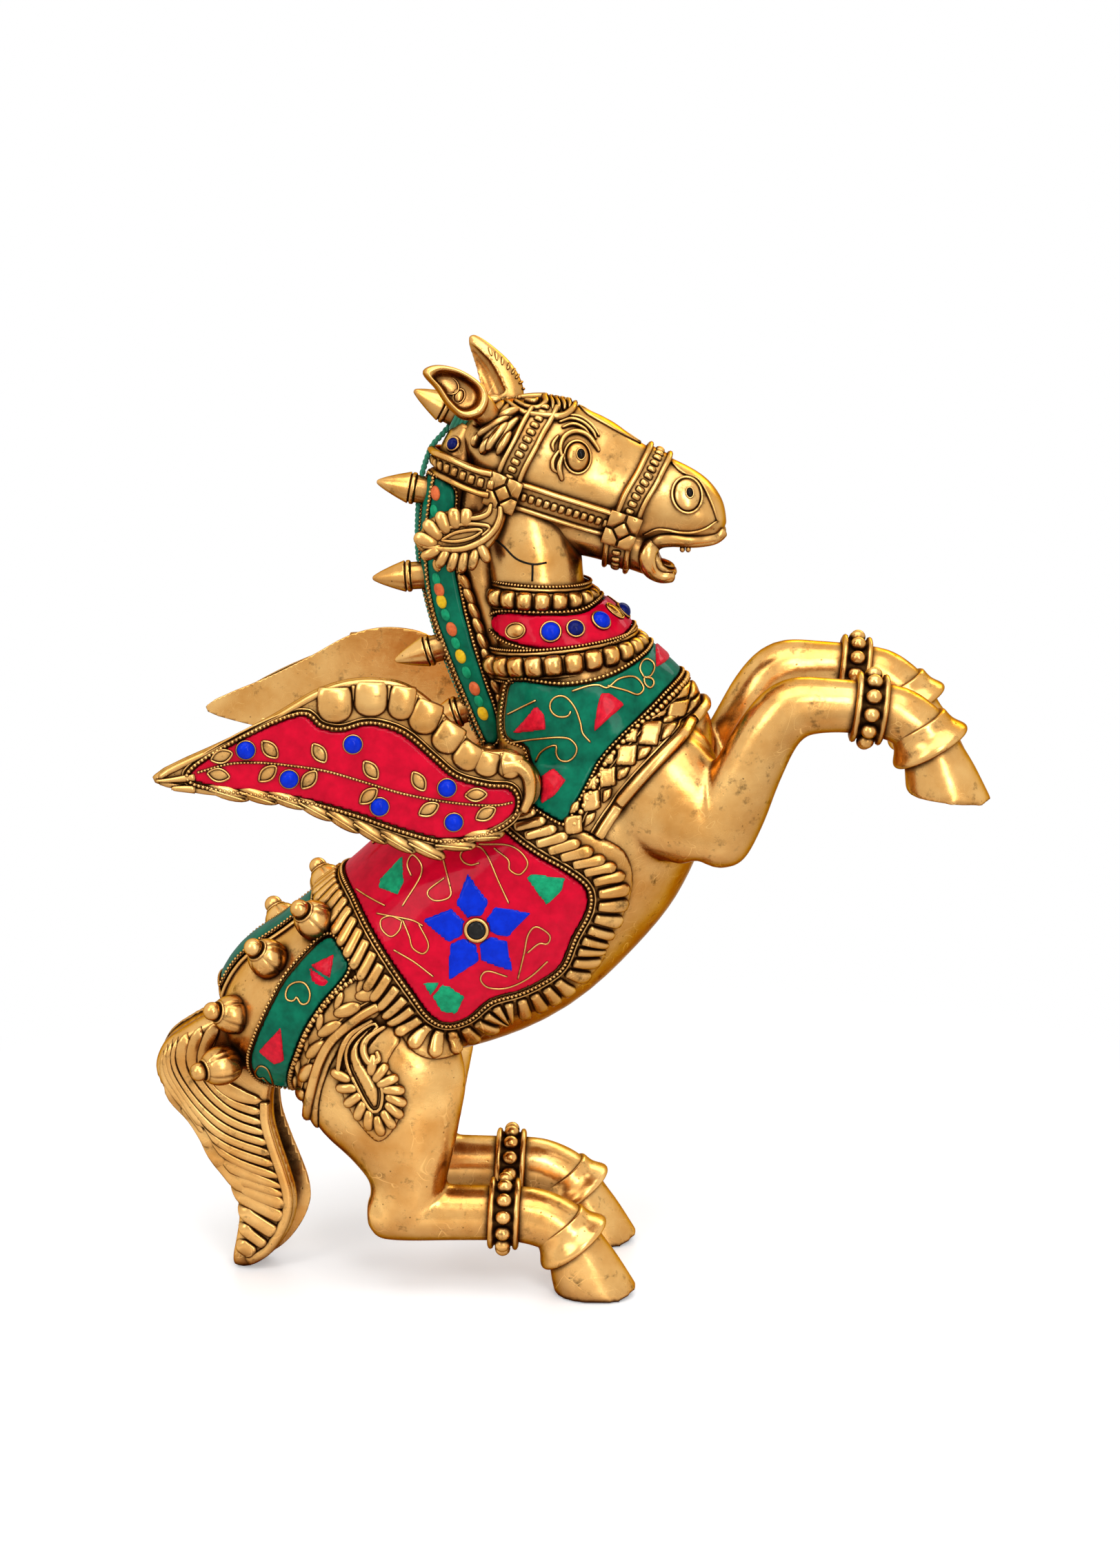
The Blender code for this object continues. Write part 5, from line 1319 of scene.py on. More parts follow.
NECK_ROUND = [(-6.9, 215.3), (7.6, 217.4)]
NECK_OVAL = [(0.3, 215.9), (14, 218)]
NECK_ALMONDS = [(-17.2, 215.4), (11.6, 219)]
# Collars as (centre x, centre z, half length, half width, tilt in degrees), count and half sizes of beads
COLLARS = {
    "upper_collar": ((-11.5, 224.6, 16.6, 17.6, -2.0), 20, (2.66, 2.95, 2.8)),
    "lower_collar": ((-3.8, 206.2, 24.2, 25.0, 6.5), 25, (3.05, 3.35, 3.1)),
}

# Turn of a collar's first bead, how square the beads are and how far they stand out
COLLAR_TURN, COLLAR_SQUARE, COLLAR_LIFT = 0.1, 3.6, 0.5
# The ring that holds a collar's beads as height and lift, points round it
COLLAR_CORE, COLLAR_POINTS = (1.9, -0.9), 90
# Trims on both edges of a collar as (kind, growth of the ring, distance from the beads, radius)
COLLAR_TRIM = [(wire, -0.4, 0.5, 0.75), (beads, -0.2, 1.7, 0.55)]
NECK_TRIM = [(0.7, (wire, 0.5, 1.2), (beads, 0.62, 1.75))]
NECK_REAR = -26
# Stones of the neck: radius of the round and the oval ones, height over the inlay, wire of their rings
ROUND_STONE, OVAL_STONE, STONE_LIFT, STONE_RING = 2.9, 2.5, 0.3, 0.42
ALMOND_WAY, ALMOND_SIZE, ALMOND_RIM = np.array([1.0, 0, 0.1]), (3.3, 2.2, 0.9), (2.4, 0.33, 28, 6, 1.45)
CHEST_REAR = -22
CHEST_TRIM = [(0.7, (wire, 0.5, 1.3), (beads, BEAD, 1.8))]
# Rise of the stones and wires of chest and crupper over the inlay, edge of the stones, radius of the wires
CHIP_RISE, CHIP_EDGE, SCROLL_RISE, SCROLL = 0.7, 0.4, 0.15, 0.34
# Bands of the harness: thickness; trims along the breast band's lower edge, clear of the chest's inlay by
# a distance, and along that inlay
BAND_HEIGHT, BREAST_CLEAR = 1.1, 7.5
BREAST_LOW = [(-1.5, (rail, 1.7, 1.5, 10, 1.5, 0.7)), (-4.0, (wire, 0.45, 1.3))]
BREAST_HIGH = [(2.6, (beads, 1.05, 1.7, 1.95, 2)), (4.2, (wire, 0.45, 1.3))]
# Lozenges: pitch, half length, half width, foot and top over the skin
LOZENGE = (8.8, 4.6, 3.7, 0.8, 2.5)


def collar_run(collar, count, grow=0.0, drop=0.0):
    """(point, outward) columns round a collar's ring."""
    x, z, half_length, half_width, tilt = collar
    angles = circle(count) + COLLAR_TURN
    level_x, level_y = (half_length + grow) * np.cos(angles), (half_width + grow) * np.sin(angles)
    out_x, out_y = np.cos(angles) / half_length, np.sin(angles) / half_width
    tip, rise, aside = heading(tilt), heading(tilt + 90), np.array([0, 1.0, 0])
    points = np.array([x, 0, z]) + level_x[:, None] * tip + level_y[:, None] * aside + drop * rise
    return np.hstack([points, unit(out_x[:, None] * tip + out_y[:, None] * aside)])


def make_collars():
    for name, (collar, count, size) in COLLARS.items():
        points, out = halves(collar_run(collar, count))
        along = unit(np.roll(points, -1, axis=0) - np.roll(points, 1, axis=0))
        ring = Shape().add(*blobs(points + COLLAR_LIFT * out, out, along, size, square=COLLAR_SQUARE))
        height, lift = COLLAR_CORE
        ring.add(*rail(looped(collar_run(collar, COLLAR_POINTS)), size[1], height, 10, lift))
        for way in (1, -1):
            for make, grow, off, radius in COLLAR_TRIM:
                edge = collar_run(collar, COLLAR_POINTS, grow, way * (size[1] + off))
                ring.add(*make(looped(edge), radius, 0.0))
        ring.piece(f"{name}_beads", BRASS, name)


def make_neck_band():
    field = np.maximum(TRUNK.field(NECK_INLAY), NECK_REAR - TRUNK.points[:, 0])
    inlaid(TRUNK, field).piece("neck_field", RED, "neck_inlay")
    metal, blues, ovals = edged(Shape(), TRUNK, field, NECK_TRIM), Shape(), Shape()
    for side in SIDES:
        for spots, radius, taken in ((NECK_ROUND, ROUND_STONE, blues), (NECK_OVAL, OVAL_STONE, ovals)):
            domes, rings = cabochons(TRUNK, spots, side, radius, INLAY_HEIGHT + STONE_LIFT, STONE_RING)
            taken.take(domes)
            metal.take(rings)
        for spot in TRUNK.cast(NECK_ALMONDS, side, INLAY_HEIGHT):
            place, normal = spot[:3], spot[3:]
            metal.add(*blobs(place, normal, ALMOND_WAY, ALMOND_SIZE))
            metal.add(*ring_about(place + normal * 0.2, normal, *ALMOND_RIM, ALMOND_WAY))
    metal.piece("neck_wires", BRASS)
    blues.piece("neck_round_stones", BLUE)
    ovals.piece("neck_oval_stones", NAVY)


def along_surface(skin, line, side, count):
    """(point, normal, tangent) columns at even places along a side-view line laid on a skin."""
    run = resampled(skin.trace(line, side), count)
    return np.hstack([run, unit(np.gradient(run[:, :3], axis=0))])


def lozenges(skin, line, spacing, long, wide, low, high):
    """Raised lozenges in a row along a side-view line, with smaller ones between them."""
    flat = side_view(smooth_rows(line, 8))
    spots = resampled(flat, int(run_length(flat) / spacing * 2) + 1)
    ways = unit(np.gradient(spots, axis=0))
    outlines = []
    for number, (spot, way) in enumerate(zip(spots[:, [0, 2]], ways[:, [0, 2]])):
        ahead, aside = way * long, np.array([-way[1], way[0]]) * wide
        if number % 2 == 0:
            outlines.append([spot + ahead, spot + aside, spot - ahead, spot - aside])
            continue
        for outer in (aside, -aside):
            centre, reach = spot + 0.83 * outer, 0.72 * ahead
            outlines.append([centre + reach, centre + 0.3 * outer, centre - reach, centre - 0.62 * outer])
    return stones(skin, outlines, low, high, edge=0.7)


def make_chest():
    chest, band, saddle = (TRUNK.field(outline) for outline in (CHEST_INLAY, BREAST_BAND, SADDLE_OUTER))
    field = np.maximum.reduce([chest, -saddle, CHEST_REAR - TRUNK.points[:, 0]])
    inlaid(TRUNK, field).piece("chest_field", GREEN, "chest_inlay")
    chips = stones(TRUNK, CHEST_STONES, STONE_FOOT, INLAY_HEIGHT + CHIP_RISE, edge=CHIP_EDGE)
    chips.piece("chest_stones", RED_STONE)
    metal = surface_wires(TRUNK, CHEST_WIRES, INLAY_HEIGHT + SCROLL_RISE, SCROLL)
    edged(metal, TRUNK, field, CHEST_TRIM).piece("chest_wires", BRASS)
    lattice = Shape().add(*TRUNK.plate(np.maximum.reduce([band, -chest, -saddle]), BED, BAND_HEIGHT))
    edged(lattice, TRUNK, band, BREAST_LOW, (chest > BREAST_CLEAR) & (saddle > -0.5))
    edged(lattice, TRUNK, chest, BREAST_HIGH, (band < 1) & (saddle > 0))
    lattice.take(lozenges(TRUNK, LOZENGE_LINE, *LOZENGE))
    lattice.piece("breast_band_lattice", BRASS, "breast_band")


make_collars()
make_neck_band()
make_chest()


# Mane

# Stones of the mane strip as (x, z, look), from the top
MANE_STONES = [
    (-42.4, 257, "coral"), (-43, 251.5, "green"), (-43.2, 246, "brass"), (-42.3, 234.7, "brass"),
    (-42.4, 230.4, "green"), (-41.6, 227.2, "coral"), (-40.9, 223.6, "yellow"), (-39.7, 219.4, "green"),
    (-37.9, 214.9, "coral"), (-36.6, 210.5, "green"), (-35.1, 206.3, "yellow"), (-33.3, 201.2, "green"),
    (-30.9, 196, "coral"), (-29.6, 192, "green"), (-28.3, 188, "yellow"),
]
# How far off the middle plane the strips start, and a second row of beads runs; foot, face and edge of a
# strip's field
MANE_FROM, MANE_BEAD_LINE = 1.2, 6.6
MANE_FIELD = (0.05, 1.2, 0.6)
MANE_TRIM = [(0.3, (wire, 0.5, 0.9), (beads, 0.62, 1.3))]
MANE_ROW = [(0.0, (wire, 0.55, 1.4), (beads, 0.7, 1.7))]
# Half sizes of the stones, their height over the crest and the way they lie
MANE_SIZES = {
    "coral": (2.4, 1.75, 1.1), "yellow": (2.4, 1.75, 1.1), "green": (2.1, 1.5, 0.75),
    "brass": (2.1, 1.5, 0.75),
}
MANE_STONE_RISE, MANE_STONE_WAY = 1.15, (0.35, 0, -1.0)
# A body that closes the gap between the crest and the throat
NAPE = [
    (-21, 0, 200, 4, 8), (-24, 0, 210, 6, 10), (-27.5, 0, 222, 6, 10), (-30, 0, 232, 7, 10.5),
    (-30, 0, 244, 8, 11), (-29, 0, 256, 9, 11), (-28, 0, 268, 7, 8),
]
# A round stone's place, radius, height over the crest and the wire of its ring
MANE_OVAL, MANE_OVAL_SIZE = (-37.6, 272.2), (1.9, 0.2, 0.5)
# Locks along the crest: how many, half sizes, rise, and how their faces and ways lean forwards
LOCK_COUNT, LOCK_SIZE, LOCK_RISE = 11, (4.2, 1.75, 2.0), 0.9
LOCK_FACE, LOCK_WAY = np.array([0.5, 0, 0]), np.array([0.5, 0.0, 0.1])
MANE_LOCKS = [(-35, 229), (-32.6, 221), (-29.6, 211), (-26.4, 200.5), (-22.6, 189.5), (-19.6, 181.5)]
# Spikes as (x, z, degrees above +X), and their profile as (radius, height)
SPIKES = [(-33, 279, 152), (-43, 256.3, 170), (-44.5, 230.5, 184), (-38.5, 208.5, 197), (-30, 189, 199)]
SPIKE_PROFILE = [
    (4.5, -6), (4.5, 0.2), (5.0, 0.5), (5.15, 1.1), (5.0, 1.7), (4.5, 2), (4.35, 6.6), (4.5, 7.0),
    (4.95, 7.3), (5.05, 7.9), (4.9, 8.4), (4.4, 8.7), (4.9, 9.0), (4.9, 9.4), (4.4, 10.8), (3.75, 12.6),
    (2.95, 14.6), (2.0, 16.8), (1.05, 18.6), (0.6, 19.2), (0.2, 19.4),
]
CORD_PATH = [
    (-33.5, 285.5), (-36.3, 280.6), (-41, 275), (-44.8, 270.5), (-47.6, 263), (-48.8, 256), (-49.4, 247),
    (-49.4, 238), (-48.2, 230), (-46.6, 222), (-44.2, 213), (-42, 206.5), (-38.4, 197), (-34.6, 187.5),
    (-32, 180.5),
]
# Radius of a strand, how far off the middle its centre runs as a share of it, length of a turn
CORD_STRAND, CORD_LAY, CORD_TURN = 0.55, 0.75, 3.4
# Radius of the winding beyond the spike's stem, and of its thread
WINDING_GAP, WINDING = 0.3, 0.75
# Heights above the first spike's foot at which the thread is wound round it
CORD_WINDING = (0.6, 1.7, 2.8, 3.8)


def split(body):
    """A closed body's (points, triangles)."""
    points, quads, triangles = body
    quads = np.asarray(quads)
    halves = np.vstack([quads[:, [0, 1, 2]], quads[:, [0, 2, 3]]])
    return points, np.vstack([halves, triangles]) if len(triangles) else halves


def make_mane():
    crest = Skin(*split(loft(CREST, 8, 72)))
    casting = Shape().add(*loft(CREST, 8, 72)).add(*loft(NAPE, 6))
    casting.piece("mane_crest_casting", BRASS, "mane_crest")
    metal, ovals, colours = Shape(), Shape(), {kind: Shape() for kind in MANE_SIZES}
    for side in SIDES:
        strip = np.maximum(crest.field(MANE_INLAY), crest.on_side(side, MANE_FROM))
        name = f"{SIDE_NAMES[side]}_mane_inlay"
        Shape().add(*crest.plate(strip, *MANE_FIELD)).piece(f"{name}_field", GREEN, name)
        edged(metal, crest, strip, MANE_TRIM)
        edged(metal, crest, crest.on_side(side, MANE_BEAD_LINE), MANE_ROW, strip < -0.5)
        for x, z, kind in MANE_STONES:
            spot = crest.cast([(x, z)], side, MANE_STONE_RISE)[0]
            colours[kind].add(*blobs(spot[:3], spot[3:], MANE_STONE_WAY, MANE_SIZES[kind]))
        for row in along_surface(crest, MANE_LOCKS, side, LOCK_COUNT):
            place, normal, way = row[:3], unit(row[3:6] + LOCK_FACE), unit(row[6:] + LOCK_WAY)
            metal.add(*blobs(place + normal * LOCK_RISE, normal, way, LOCK_SIZE))
        domes, rings = cabochons(crest, [MANE_OVAL], side, *MANE_OVAL_SIZE)
        ovals.take(domes)
        metal.take(rings)
    ovals.piece("mane_oval_stones", NAVY)
    metal.take(colours["brass"]).piece("mane_wires", BRASS)
    for kind, look in (("coral", CORAL), ("yellow", YELLOW), ("green", GREEN_STONE)):
        colours[kind].piece(f"mane_{kind}_stones", look)
    profile = smooth_rows(SPIKE_PROFILE, 3)
    for number, (x, z, turn) in enumerate(SPIKES, 1):
        spike = Shape().add(*turned(profile, (x, 0, z), heading(turn), 40))
        spike.piece(f"mane_spike_{number}_turned", BRASS, f"mane_spike_{number}")


def make_cord():
    path = resampled(side_view(smooth_rows(CORD_PATH, 16)), 420)
    aside = np.array([0.0, 1.0, 0.0])
    first = np.cross(unit(np.gradient(path, axis=0)), aside)
    turn = run_length(path) * np.linspace(0, 1, len(path)) * 2 * math.pi / CORD_TURN
    cord = Shape()
    for phase in (0, math.pi):
        out = np.cos(turn + phase)[:, None] * first + np.sin(turn + phase)[:, None] * aside
        cord.add(*swept(path + CORD_STRAND * CORD_LAY * out, out, CORD_STRAND, CORD_STRAND, 8))
    x, z, angle = SPIKES[0]
    way, stem = heading(angle), SPIKE_PROFILE[0][0]
    for height in CORD_WINDING:
        cord.add(*ring_about(np.array([x, 0, z]) + height * way, way, stem + WINDING_GAP, WINDING, 48, 10))
    cord.piece("mane_cord_strands", CORD_GREEN, "mane_cord")


make_mane()
make_cord()


# Rump

CRUPPER_STONES = [
    [(-81.9, 110.2), (-73.9, 114.6), (-75.4, 107.4)],
    [(-99.1, 82.2), (-91.2, 91.6), (-91, 80), (-94, 78.3)],
]
CRUPPER_DISC = [(-82.4, 109), (-81.6, 109.8), (-75.9, 107), (-75.8, 105.8), (-78.1, 104.7), (-80.9, 105.6)]
CRUPPER_WIRES = [
    [
        (-85.9, 101), (-87.1, 99.7), (-89, 99.8), (-89.5, 101.3), (-88.5, 103.6), (-86, 105.1),
        (-83.3, 105.1), (-81.7, 102.8), (-82.3, 99.9), (-84.4, 99.1), (-85.9, 101),
    ],
    [
        (-98.9, 71.5), (-100.6, 70.8), (-101.3, 73.2), (-99.2, 76.7), (-96.8, 76), (-96.2, 71.7),
        (-96.6, 68.2), (-97.6, 67.8), (-98.2, 69.6), (-98.9, 71.5),
    ],
]
BREECH_BEADS = [
    (-67.1, 108.5), (-73, 104), (-78.4, 97.9), (-82.7, 91.5), (-86, 83.9), (-89, 74.8), (-90.8, 66),
    (-91.6, 58),
]
BREECH_RAIL = [
    (-60.4, 100.2), (-67, 96), (-72.4, 90.9), (-76.6, 85.4), (-79.6, 78.6), (-81.7, 70.7), (-83.3, 62.3),
    (-84, 54.5),
]
BREECH_LEAVES = [
    (-64, 104.6), (-68.6, 101.4), (-73.2, 97), (-77.4, 91.8), (-80.8, 86), (-83.4, 79.6), (-85.4, 72.6),
    (-86.8, 65), (-87.6, 58),
]
# Rows of leaves: how many and rise; shift towards the inlay, lean and half sizes of each
BREECH_COUNT, BREECH_RISE = 9, 0.9
BREECH_ROWS = [(-1.3, 0.42, (4.9, 2.5, 1.6)), (2.7, -0.5, (3.3, 1.4, 1.3))]
HIP_ORNAMENT = [
    (-57.5, 93.5), (-64, 86.5), (-70.5, 80), (-73, 74), (-69.5, 65), (-64, 57.5), (-60.5, 55.5), (-56, 60),
    (-53.2, 67.5), (-55, 76), (-58, 80.5), (-56, 85), (-54, 88.5),
]
HIP_LEAF = [
    (-62.1, 92.8), (-68.3, 87.3), (-69.5, 82), (-66.6, 74.9), (-61.9, 66.8), (-60.5, 72.1), (-62.6, 77.5),
    (-66.1, 82.9), (-66.3, 87.4),
]
HIP_HOOK = [(-58.6, 92.7), (-64, 89), (-65.3, 85.2), (-63.4, 81.5), (-60.7, 82.4), (-61.2, 85)]
HIP_FROND = [(-62.6, 95.2), (-69.4, 89.8), (-72.2, 84.1), (-73.4, 77)]
HIP_LOBES = [
    (-62.6, 80.6), (-60.2, 78.2), (-58, 75.6), (-56.2, 72.8), (-55.4, 69.6), (-56, 66.4), (-57.8, 63.4),
    (-60.6, 61.2), (-63.8, 63), (-66.4, 66), (-68.6, 69.4), (-70.6, 73), (-72.4, 76.8),
]
HIP_HEART = (-63.5, 73.5)
BELLS = [
    ((-77, -18, 118), (-0.52, -0.56, 0.62)), ((-92, -17, 105), (-0.52, -0.56, 0.62)),
    ((-102, -15.5, 89), (-0.74, -0.58, 0.3)), ((-106, -15, 75), (-0.8, -0.58, -0.08)),
]
BELL_PROFILE = [
    (3.0, -6), (3.1, 2.4), (4.6, 3.2), (5.7, 5), (6.3, 7.6), (6.25, 9.8), (5.6, 12), (4.6, 13.6),
    (3.7, 14.3), (3.6, 14.8), (2.7, 15),
]
BELL_TIP, BELL_TIP_AT, BELL_PETALS = 3.0, 16.6, 5
# Height of the ring under a bell's tip, its radius and wire
BELL_RING_AT, BELL_RING = 14.6, (3.3, 0.5)
# Depth of the seams between a bell's petals, where across a petal they start, and between which heights
SEAM_DEPTH, SEAM_FROM, SEAM_ENDS = 0.1, 0.78, (4, 14.2)
SPINE_TRIM = [(0.7, (wire, 0.5, 1.2), (beads, 0.62, 1.7)), (2.6, (rail, 0.9, 0.8, 8, 0.3))]
CRUPPER_TRIM = [(0.8, (wire, 0.5, 1.3), (beads, BEAD, 1.8))]
# Distances off the middle plane beyond which the side's inlay and bands, its paisley's base and leaf lie
CRUPPER_FROM, HIP_FROM, HIP_LEAF_FROM = 12, 24, 20
DISC_RISE = 0.3
# The breech band's rail, the wire beside it with its shift, and the beads with the wire under them
BREECH_RAIL_SIZE, BREECH_WIRE, BREECH_WIRE_SHIFT = (1.7, 1.7, 10, 1.3, 0.8), (0.45, 1.2), (-2.9, 1.16)
BREECH_BEAD, BREECH_BEAD_WIRE = (1.0, 1.6, 1.9, 2, 0.8), (0.6, 1.3)
# The paisley's base, leaf and the wire round it, its strokes' lift, its lobes' half sizes, rise, squareness
HIP_BASE, HIP_LEAF_PLATE, HIP_WIRE_OUT, HIP_WIRE = 0.9, (0.4, 1.7, 1.4, 0.5, 2.5), 1.1, (wire, 0.7, 1.2)
HIP_STROKES, HIP_LIFT = ((HIP_HOOK, 1.3), (HIP_FROND, 1.2)), 1.2
HIP_LOBE, HIP_LOBE_RISE, HIP_LOBE_SQUARE = (3.8, 1.86, 1.8), 0.7, 2.6


def breech_band(side, field):
    """The leafy band behind the haunch: a rail, a wire, beads and rows of leaves on a base."""
    strip = Shape().add(*TRUNK.plate(field, BED, BAND_HEIGHT))
    strip.add(*rail(TRUNK.trace(BREECH_RAIL, side), *BREECH_RAIL_SIZE))
    beside = np.array(BREECH_RAIL) + BREECH_WIRE_SHIFT
    strip.add(*wire(TRUNK.trace(beside, side), *BREECH_WIRE))
    row = TRUNK.trace(BREECH_BEADS, side)
    strip.add(*beads(row, *BREECH_BEAD)).add(*wire(row, *BREECH_BEAD_WIRE))
    for row in along_surface(TRUNK, BREECH_LEAVES, side, BREECH_COUNT):
        place, normal, way = row[:3], row[3:6], row[6:]
        aside = np.cross(normal, way) * side
        for shift, lean, size in BREECH_ROWS:
            spot = place + aside * shift + normal * BREECH_RISE
            strip.add(*blobs(spot, normal, way + aside * lean, size))
    return strip


def hip_paisley(side, field):
    """The paisley on the haunch: a leaf with a wire, two strokes and a fringe of lobes on a base."""
    paisley = Shape().add(*TRUNK.plate(field, BED, HIP_BASE))
    leaf, out = TRUNK.field(HIP_LEAF), TRUNK.on_side(side, HIP_LEAF_FROM)
    paisley.add(*TRUNK.plate(np.maximum(leaf, out), *HIP_LEAF_PLATE))
    edged(paisley, TRUNK, np.maximum(leaf - HIP_WIRE_OUT, out), [(0.0, HIP_WIRE)], most=1)
    for line, width in HIP_STROKES:
        run = TRUNK.trace(line, side)
        taper = width * (0.55 + 0.45 * np.sin(math.pi * np.linspace(0, 1, len(run))))
        paisley.add(*rail(run, taper, taper, 10, HIP_LIFT))
    heart = TRUNK.cast([HIP_HEART], side)[0, :3]
    for spot in TRUNK.cast(HIP_LOBES, side):
        place, normal = spot[:3] + spot[3:] * HIP_LOBE_RISE, spot[3:]
        paisley.add(*blobs(place, normal, unit(spot[:3] - heart), HIP_LOBE, square=HIP_LOBE_SQUARE))
    return paisley


def make_rump():
    saddle, crupper, breech, hip = (
        TRUNK.field(outline) for outline in (SADDLE_OUTER, CRUPPER_INLAY, BREECH_BAND, HIP_ORNAMENT)
    )
    across = np.abs(TRUNK.points[:, 1]) - SPINE_HALF_WIDTH
    spine = np.maximum.reduce([TRUNK.field(SPINE_INLAY, steps=1), across, -saddle])
    inlaid(TRUNK, spine).piece("rump_field", GREEN, "rump_inlay")
    metal, chips, discs = edged(Shape(), TRUNK, spine, SPINE_TRIM), Shape(), Shape()
    for side in SIDES:
        name = SIDE_NAMES[side]
        out = TRUNK.on_side(side, CRUPPER_FROM)
        inlay = np.maximum.reduce([crupper, out, -saddle])
        inlaid(TRUNK, inlay).piece(f"{name}_crupper_field", GREEN, f"{name}_crupper_inlay")
        edged(metal, TRUNK, inlay, CRUPPER_TRIM)
        chips.take(stones(TRUNK, CRUPPER_STONES, STONE_FOOT, INLAY_HEIGHT + CHIP_RISE, side, CHIP_EDGE))
        discs.take(stones(TRUNK, [CRUPPER_DISC], STONE_FOOT, INLAY_HEIGHT + DISC_RISE, side, CHIP_EDGE))
        metal.take(surface_wires(TRUNK, CRUPPER_WIRES, INLAY_HEIGHT + SCROLL_RISE, SCROLL, (side,)))
        strip = breech_band(side, np.maximum.reduce([breech, out, -saddle, -crupper]))
        strip.piece(f"{name}_breech_leaves", BRASS, f"{name}_breech_band")
        haunch = np.maximum.reduce([hip, TRUNK.on_side(side, HIP_FROM), -saddle, -breech])
        paisley = hip_paisley(side, haunch)
        paisley.piece(f"{name}_hip_paisley", BRASS, f"{name}_hip_ornament")
    chips.piece("crupper_stones", RED_STONE)
    discs.piece("crupper_discs", RED)
    metal.piece("rump_wires", BRASS)


def petal_ripple(angles, height):
    """The seams between a bell's petals."""
    seam = np.abs(np.mod(angles * BELL_PETALS / (2 * math.pi), 1.0) - 0.5) * 2
    low, high = SEAM_ENDS
    return 1 - SEAM_DEPTH * np.clip((seam - SEAM_FROM) / (1 - SEAM_FROM), 0, 1) ** 2 * (low < height < high)


def make_bells():
    profile = smooth_rows(BELL_PROFILE, 3)
    for number, (foot, way) in enumerate(BELLS, 1):
        bud = Shape().add(*turned(profile, foot, way, 60, petal_ripple))
        foot, way = np.array(foot), unit(np.array(way))
        bud.add(*blobs(foot + way * BELL_TIP_AT, way, (0, 0.3, 1), (BELL_TIP,) * 3))
        bud.add(*ring_about(foot + way * BELL_RING_AT, way, *BELL_RING))
        bud.pair(f"bell_{number}_bud", BRASS, f"bell_{number}")


make_rump()
make_bells()


# Tail

TAIL_OUTLINE = [
    (-104, 86), (-113, 88.5), (-119, 87), (-126.5, 83), (-133, 78), (-136, 71), (-135, 65), (-131, 58.5),
    (-125.5, 52), (-122, 46), (-119, 39), (-114, 32), (-111, 25), (-110.2, 18), (-111.3, 10.5),
    (-112.6, 3.5), (-111.5, 0.6), (-106, 0.8), (-99.4, 5.4), (-94, 12.8), (-91.4, 20), (-91.4, 27),
    (-93.4, 35), (-96, 43.5), (-98, 52), (-98, 60), (-97, 70),
]
TAIL_HOLLOW = [
    (-92, 60), (-100, 62), (-110, 66), (-122, 70), (-127, 67), (-124, 59), (-118, 49), (-112, 38),
    (-106.5, 26), (-105, 14), (-106, 6), (-100, -4), (-86, 4), (-80, 40),
]
# Locks of hair: guide lines in order, each with how many locks run between it and the next
TAIL_GUIDES = [
    (1, [(-121, 66), (-115.6, 64.4), (-111.6, 63.4), (-106.4, 62.4), (-101.6, 61.2), (-99.4, 60.6)]),
    (1, [(-112, 86.5), (-117.6, 76), (-117.4, 66.4), (-111.6, 60.8), (-105.9, 58.4), (-98.8, 56.8)]),
    (2, [(-118, 85.6), (-122.1, 74), (-119.4, 65.7), (-112.4, 58), (-105.9, 54.8), (-98.4, 52.6)]),
    (2, [(-127.1, 81.3), (-129, 74), (-126.3, 66.3), (-119.7, 57), (-110.7, 50), (-97.6, 45.6)]),
    (2, [(-130.8, 79.2), (-132, 72.5), (-130, 65.6), (-123.1, 54.4), (-114.1, 45.2), (-95.6, 38)]),
    (2, [(-133.6, 74.9), (-132.7, 64.5), (-124.4, 53.3), (-118.5, 43.8), (-109.1, 36), (-94.4, 30.2)]),
    (1, [(-124.6, 52.5), (-120, 43.8), (-115.1, 36), (-109.3, 30.8), (-101.4, 27.6), (-92.8, 24)]),
    (1, [(-114.5, 33.4), (-110.6, 29.6), (-106, 26.8), (-101, 24), (-96.6, 21.8), (-92.8, 19.4)]),
    (1, [(-110.6, 26), (-107, 22.6), (-103, 20), (-99.8, 17.9), (-97.1, 16.2), (-94.6, 14.4)]),
    (1, [(-109.8, 19), (-107.8, 16.8), (-105.9, 14.7), (-103.3, 12.5), (-101.3, 11), (-98.8, 9)]),
    (1, [(-110.4, 13.2), (-108.6, 11.8), (-106.7, 10), (-104.7, 8.4), (-103.1, 7), (-101.2, 5.2)]),
    (0, [(-111.6, 6.4), (-110.4, 5.4), (-109, 4.6), (-107.5, 3.8), (-106.2, 3.2), (-104.6, 2.4)]),
]
# Plain rim along the tail's inner edge
TAIL_RIM = [
    (-107.6, 2.8), (-101.6, 6.4), (-97, 13.2), (-94.4, 20.2), (-94.2, 26.8), (-96, 34.6), (-98.6, 43.2),
    (-100.6, 51.8), (-100.6, 59),
]
# How far off the middle plane the outer face lies at the top and at the bottom, and the height of the top
TAIL_FACE, TAIL_TOP = (13.0, 8.5), 88.0
# Where the lobes' inner faces lie, how far the left lobe's foot swings forwards, from a height over a span
TAIL_INNER, TAIL_FLARE, FLARE_TOP, FLARE_SPAN = 4.5, 3.5, 70, 50
# Depth of the lobes' ground under the face, width of their rounded edge, half width and height of a lock
TAIL_GROUND, TAIL_EDGE, TAIL_LOCK, TAIL_LOCK_HEIGHT = 1.2, 3.5, 2.6, 1.3
# The rim's half width, height and depth under the face
RIM_SIZE, RIM_DEPTH = (1.9, 1.8), 2.0
LOCK_POINTS = 26


def tail_face(z):
    """How far off the middle plane the tail's outer face lies at a height."""
    share = np.clip(np.asarray(z) / TAIL_TOP, 0, 1)
    return TAIL_FACE[1] + (TAIL_FACE[0] - TAIL_FACE[1]) * share


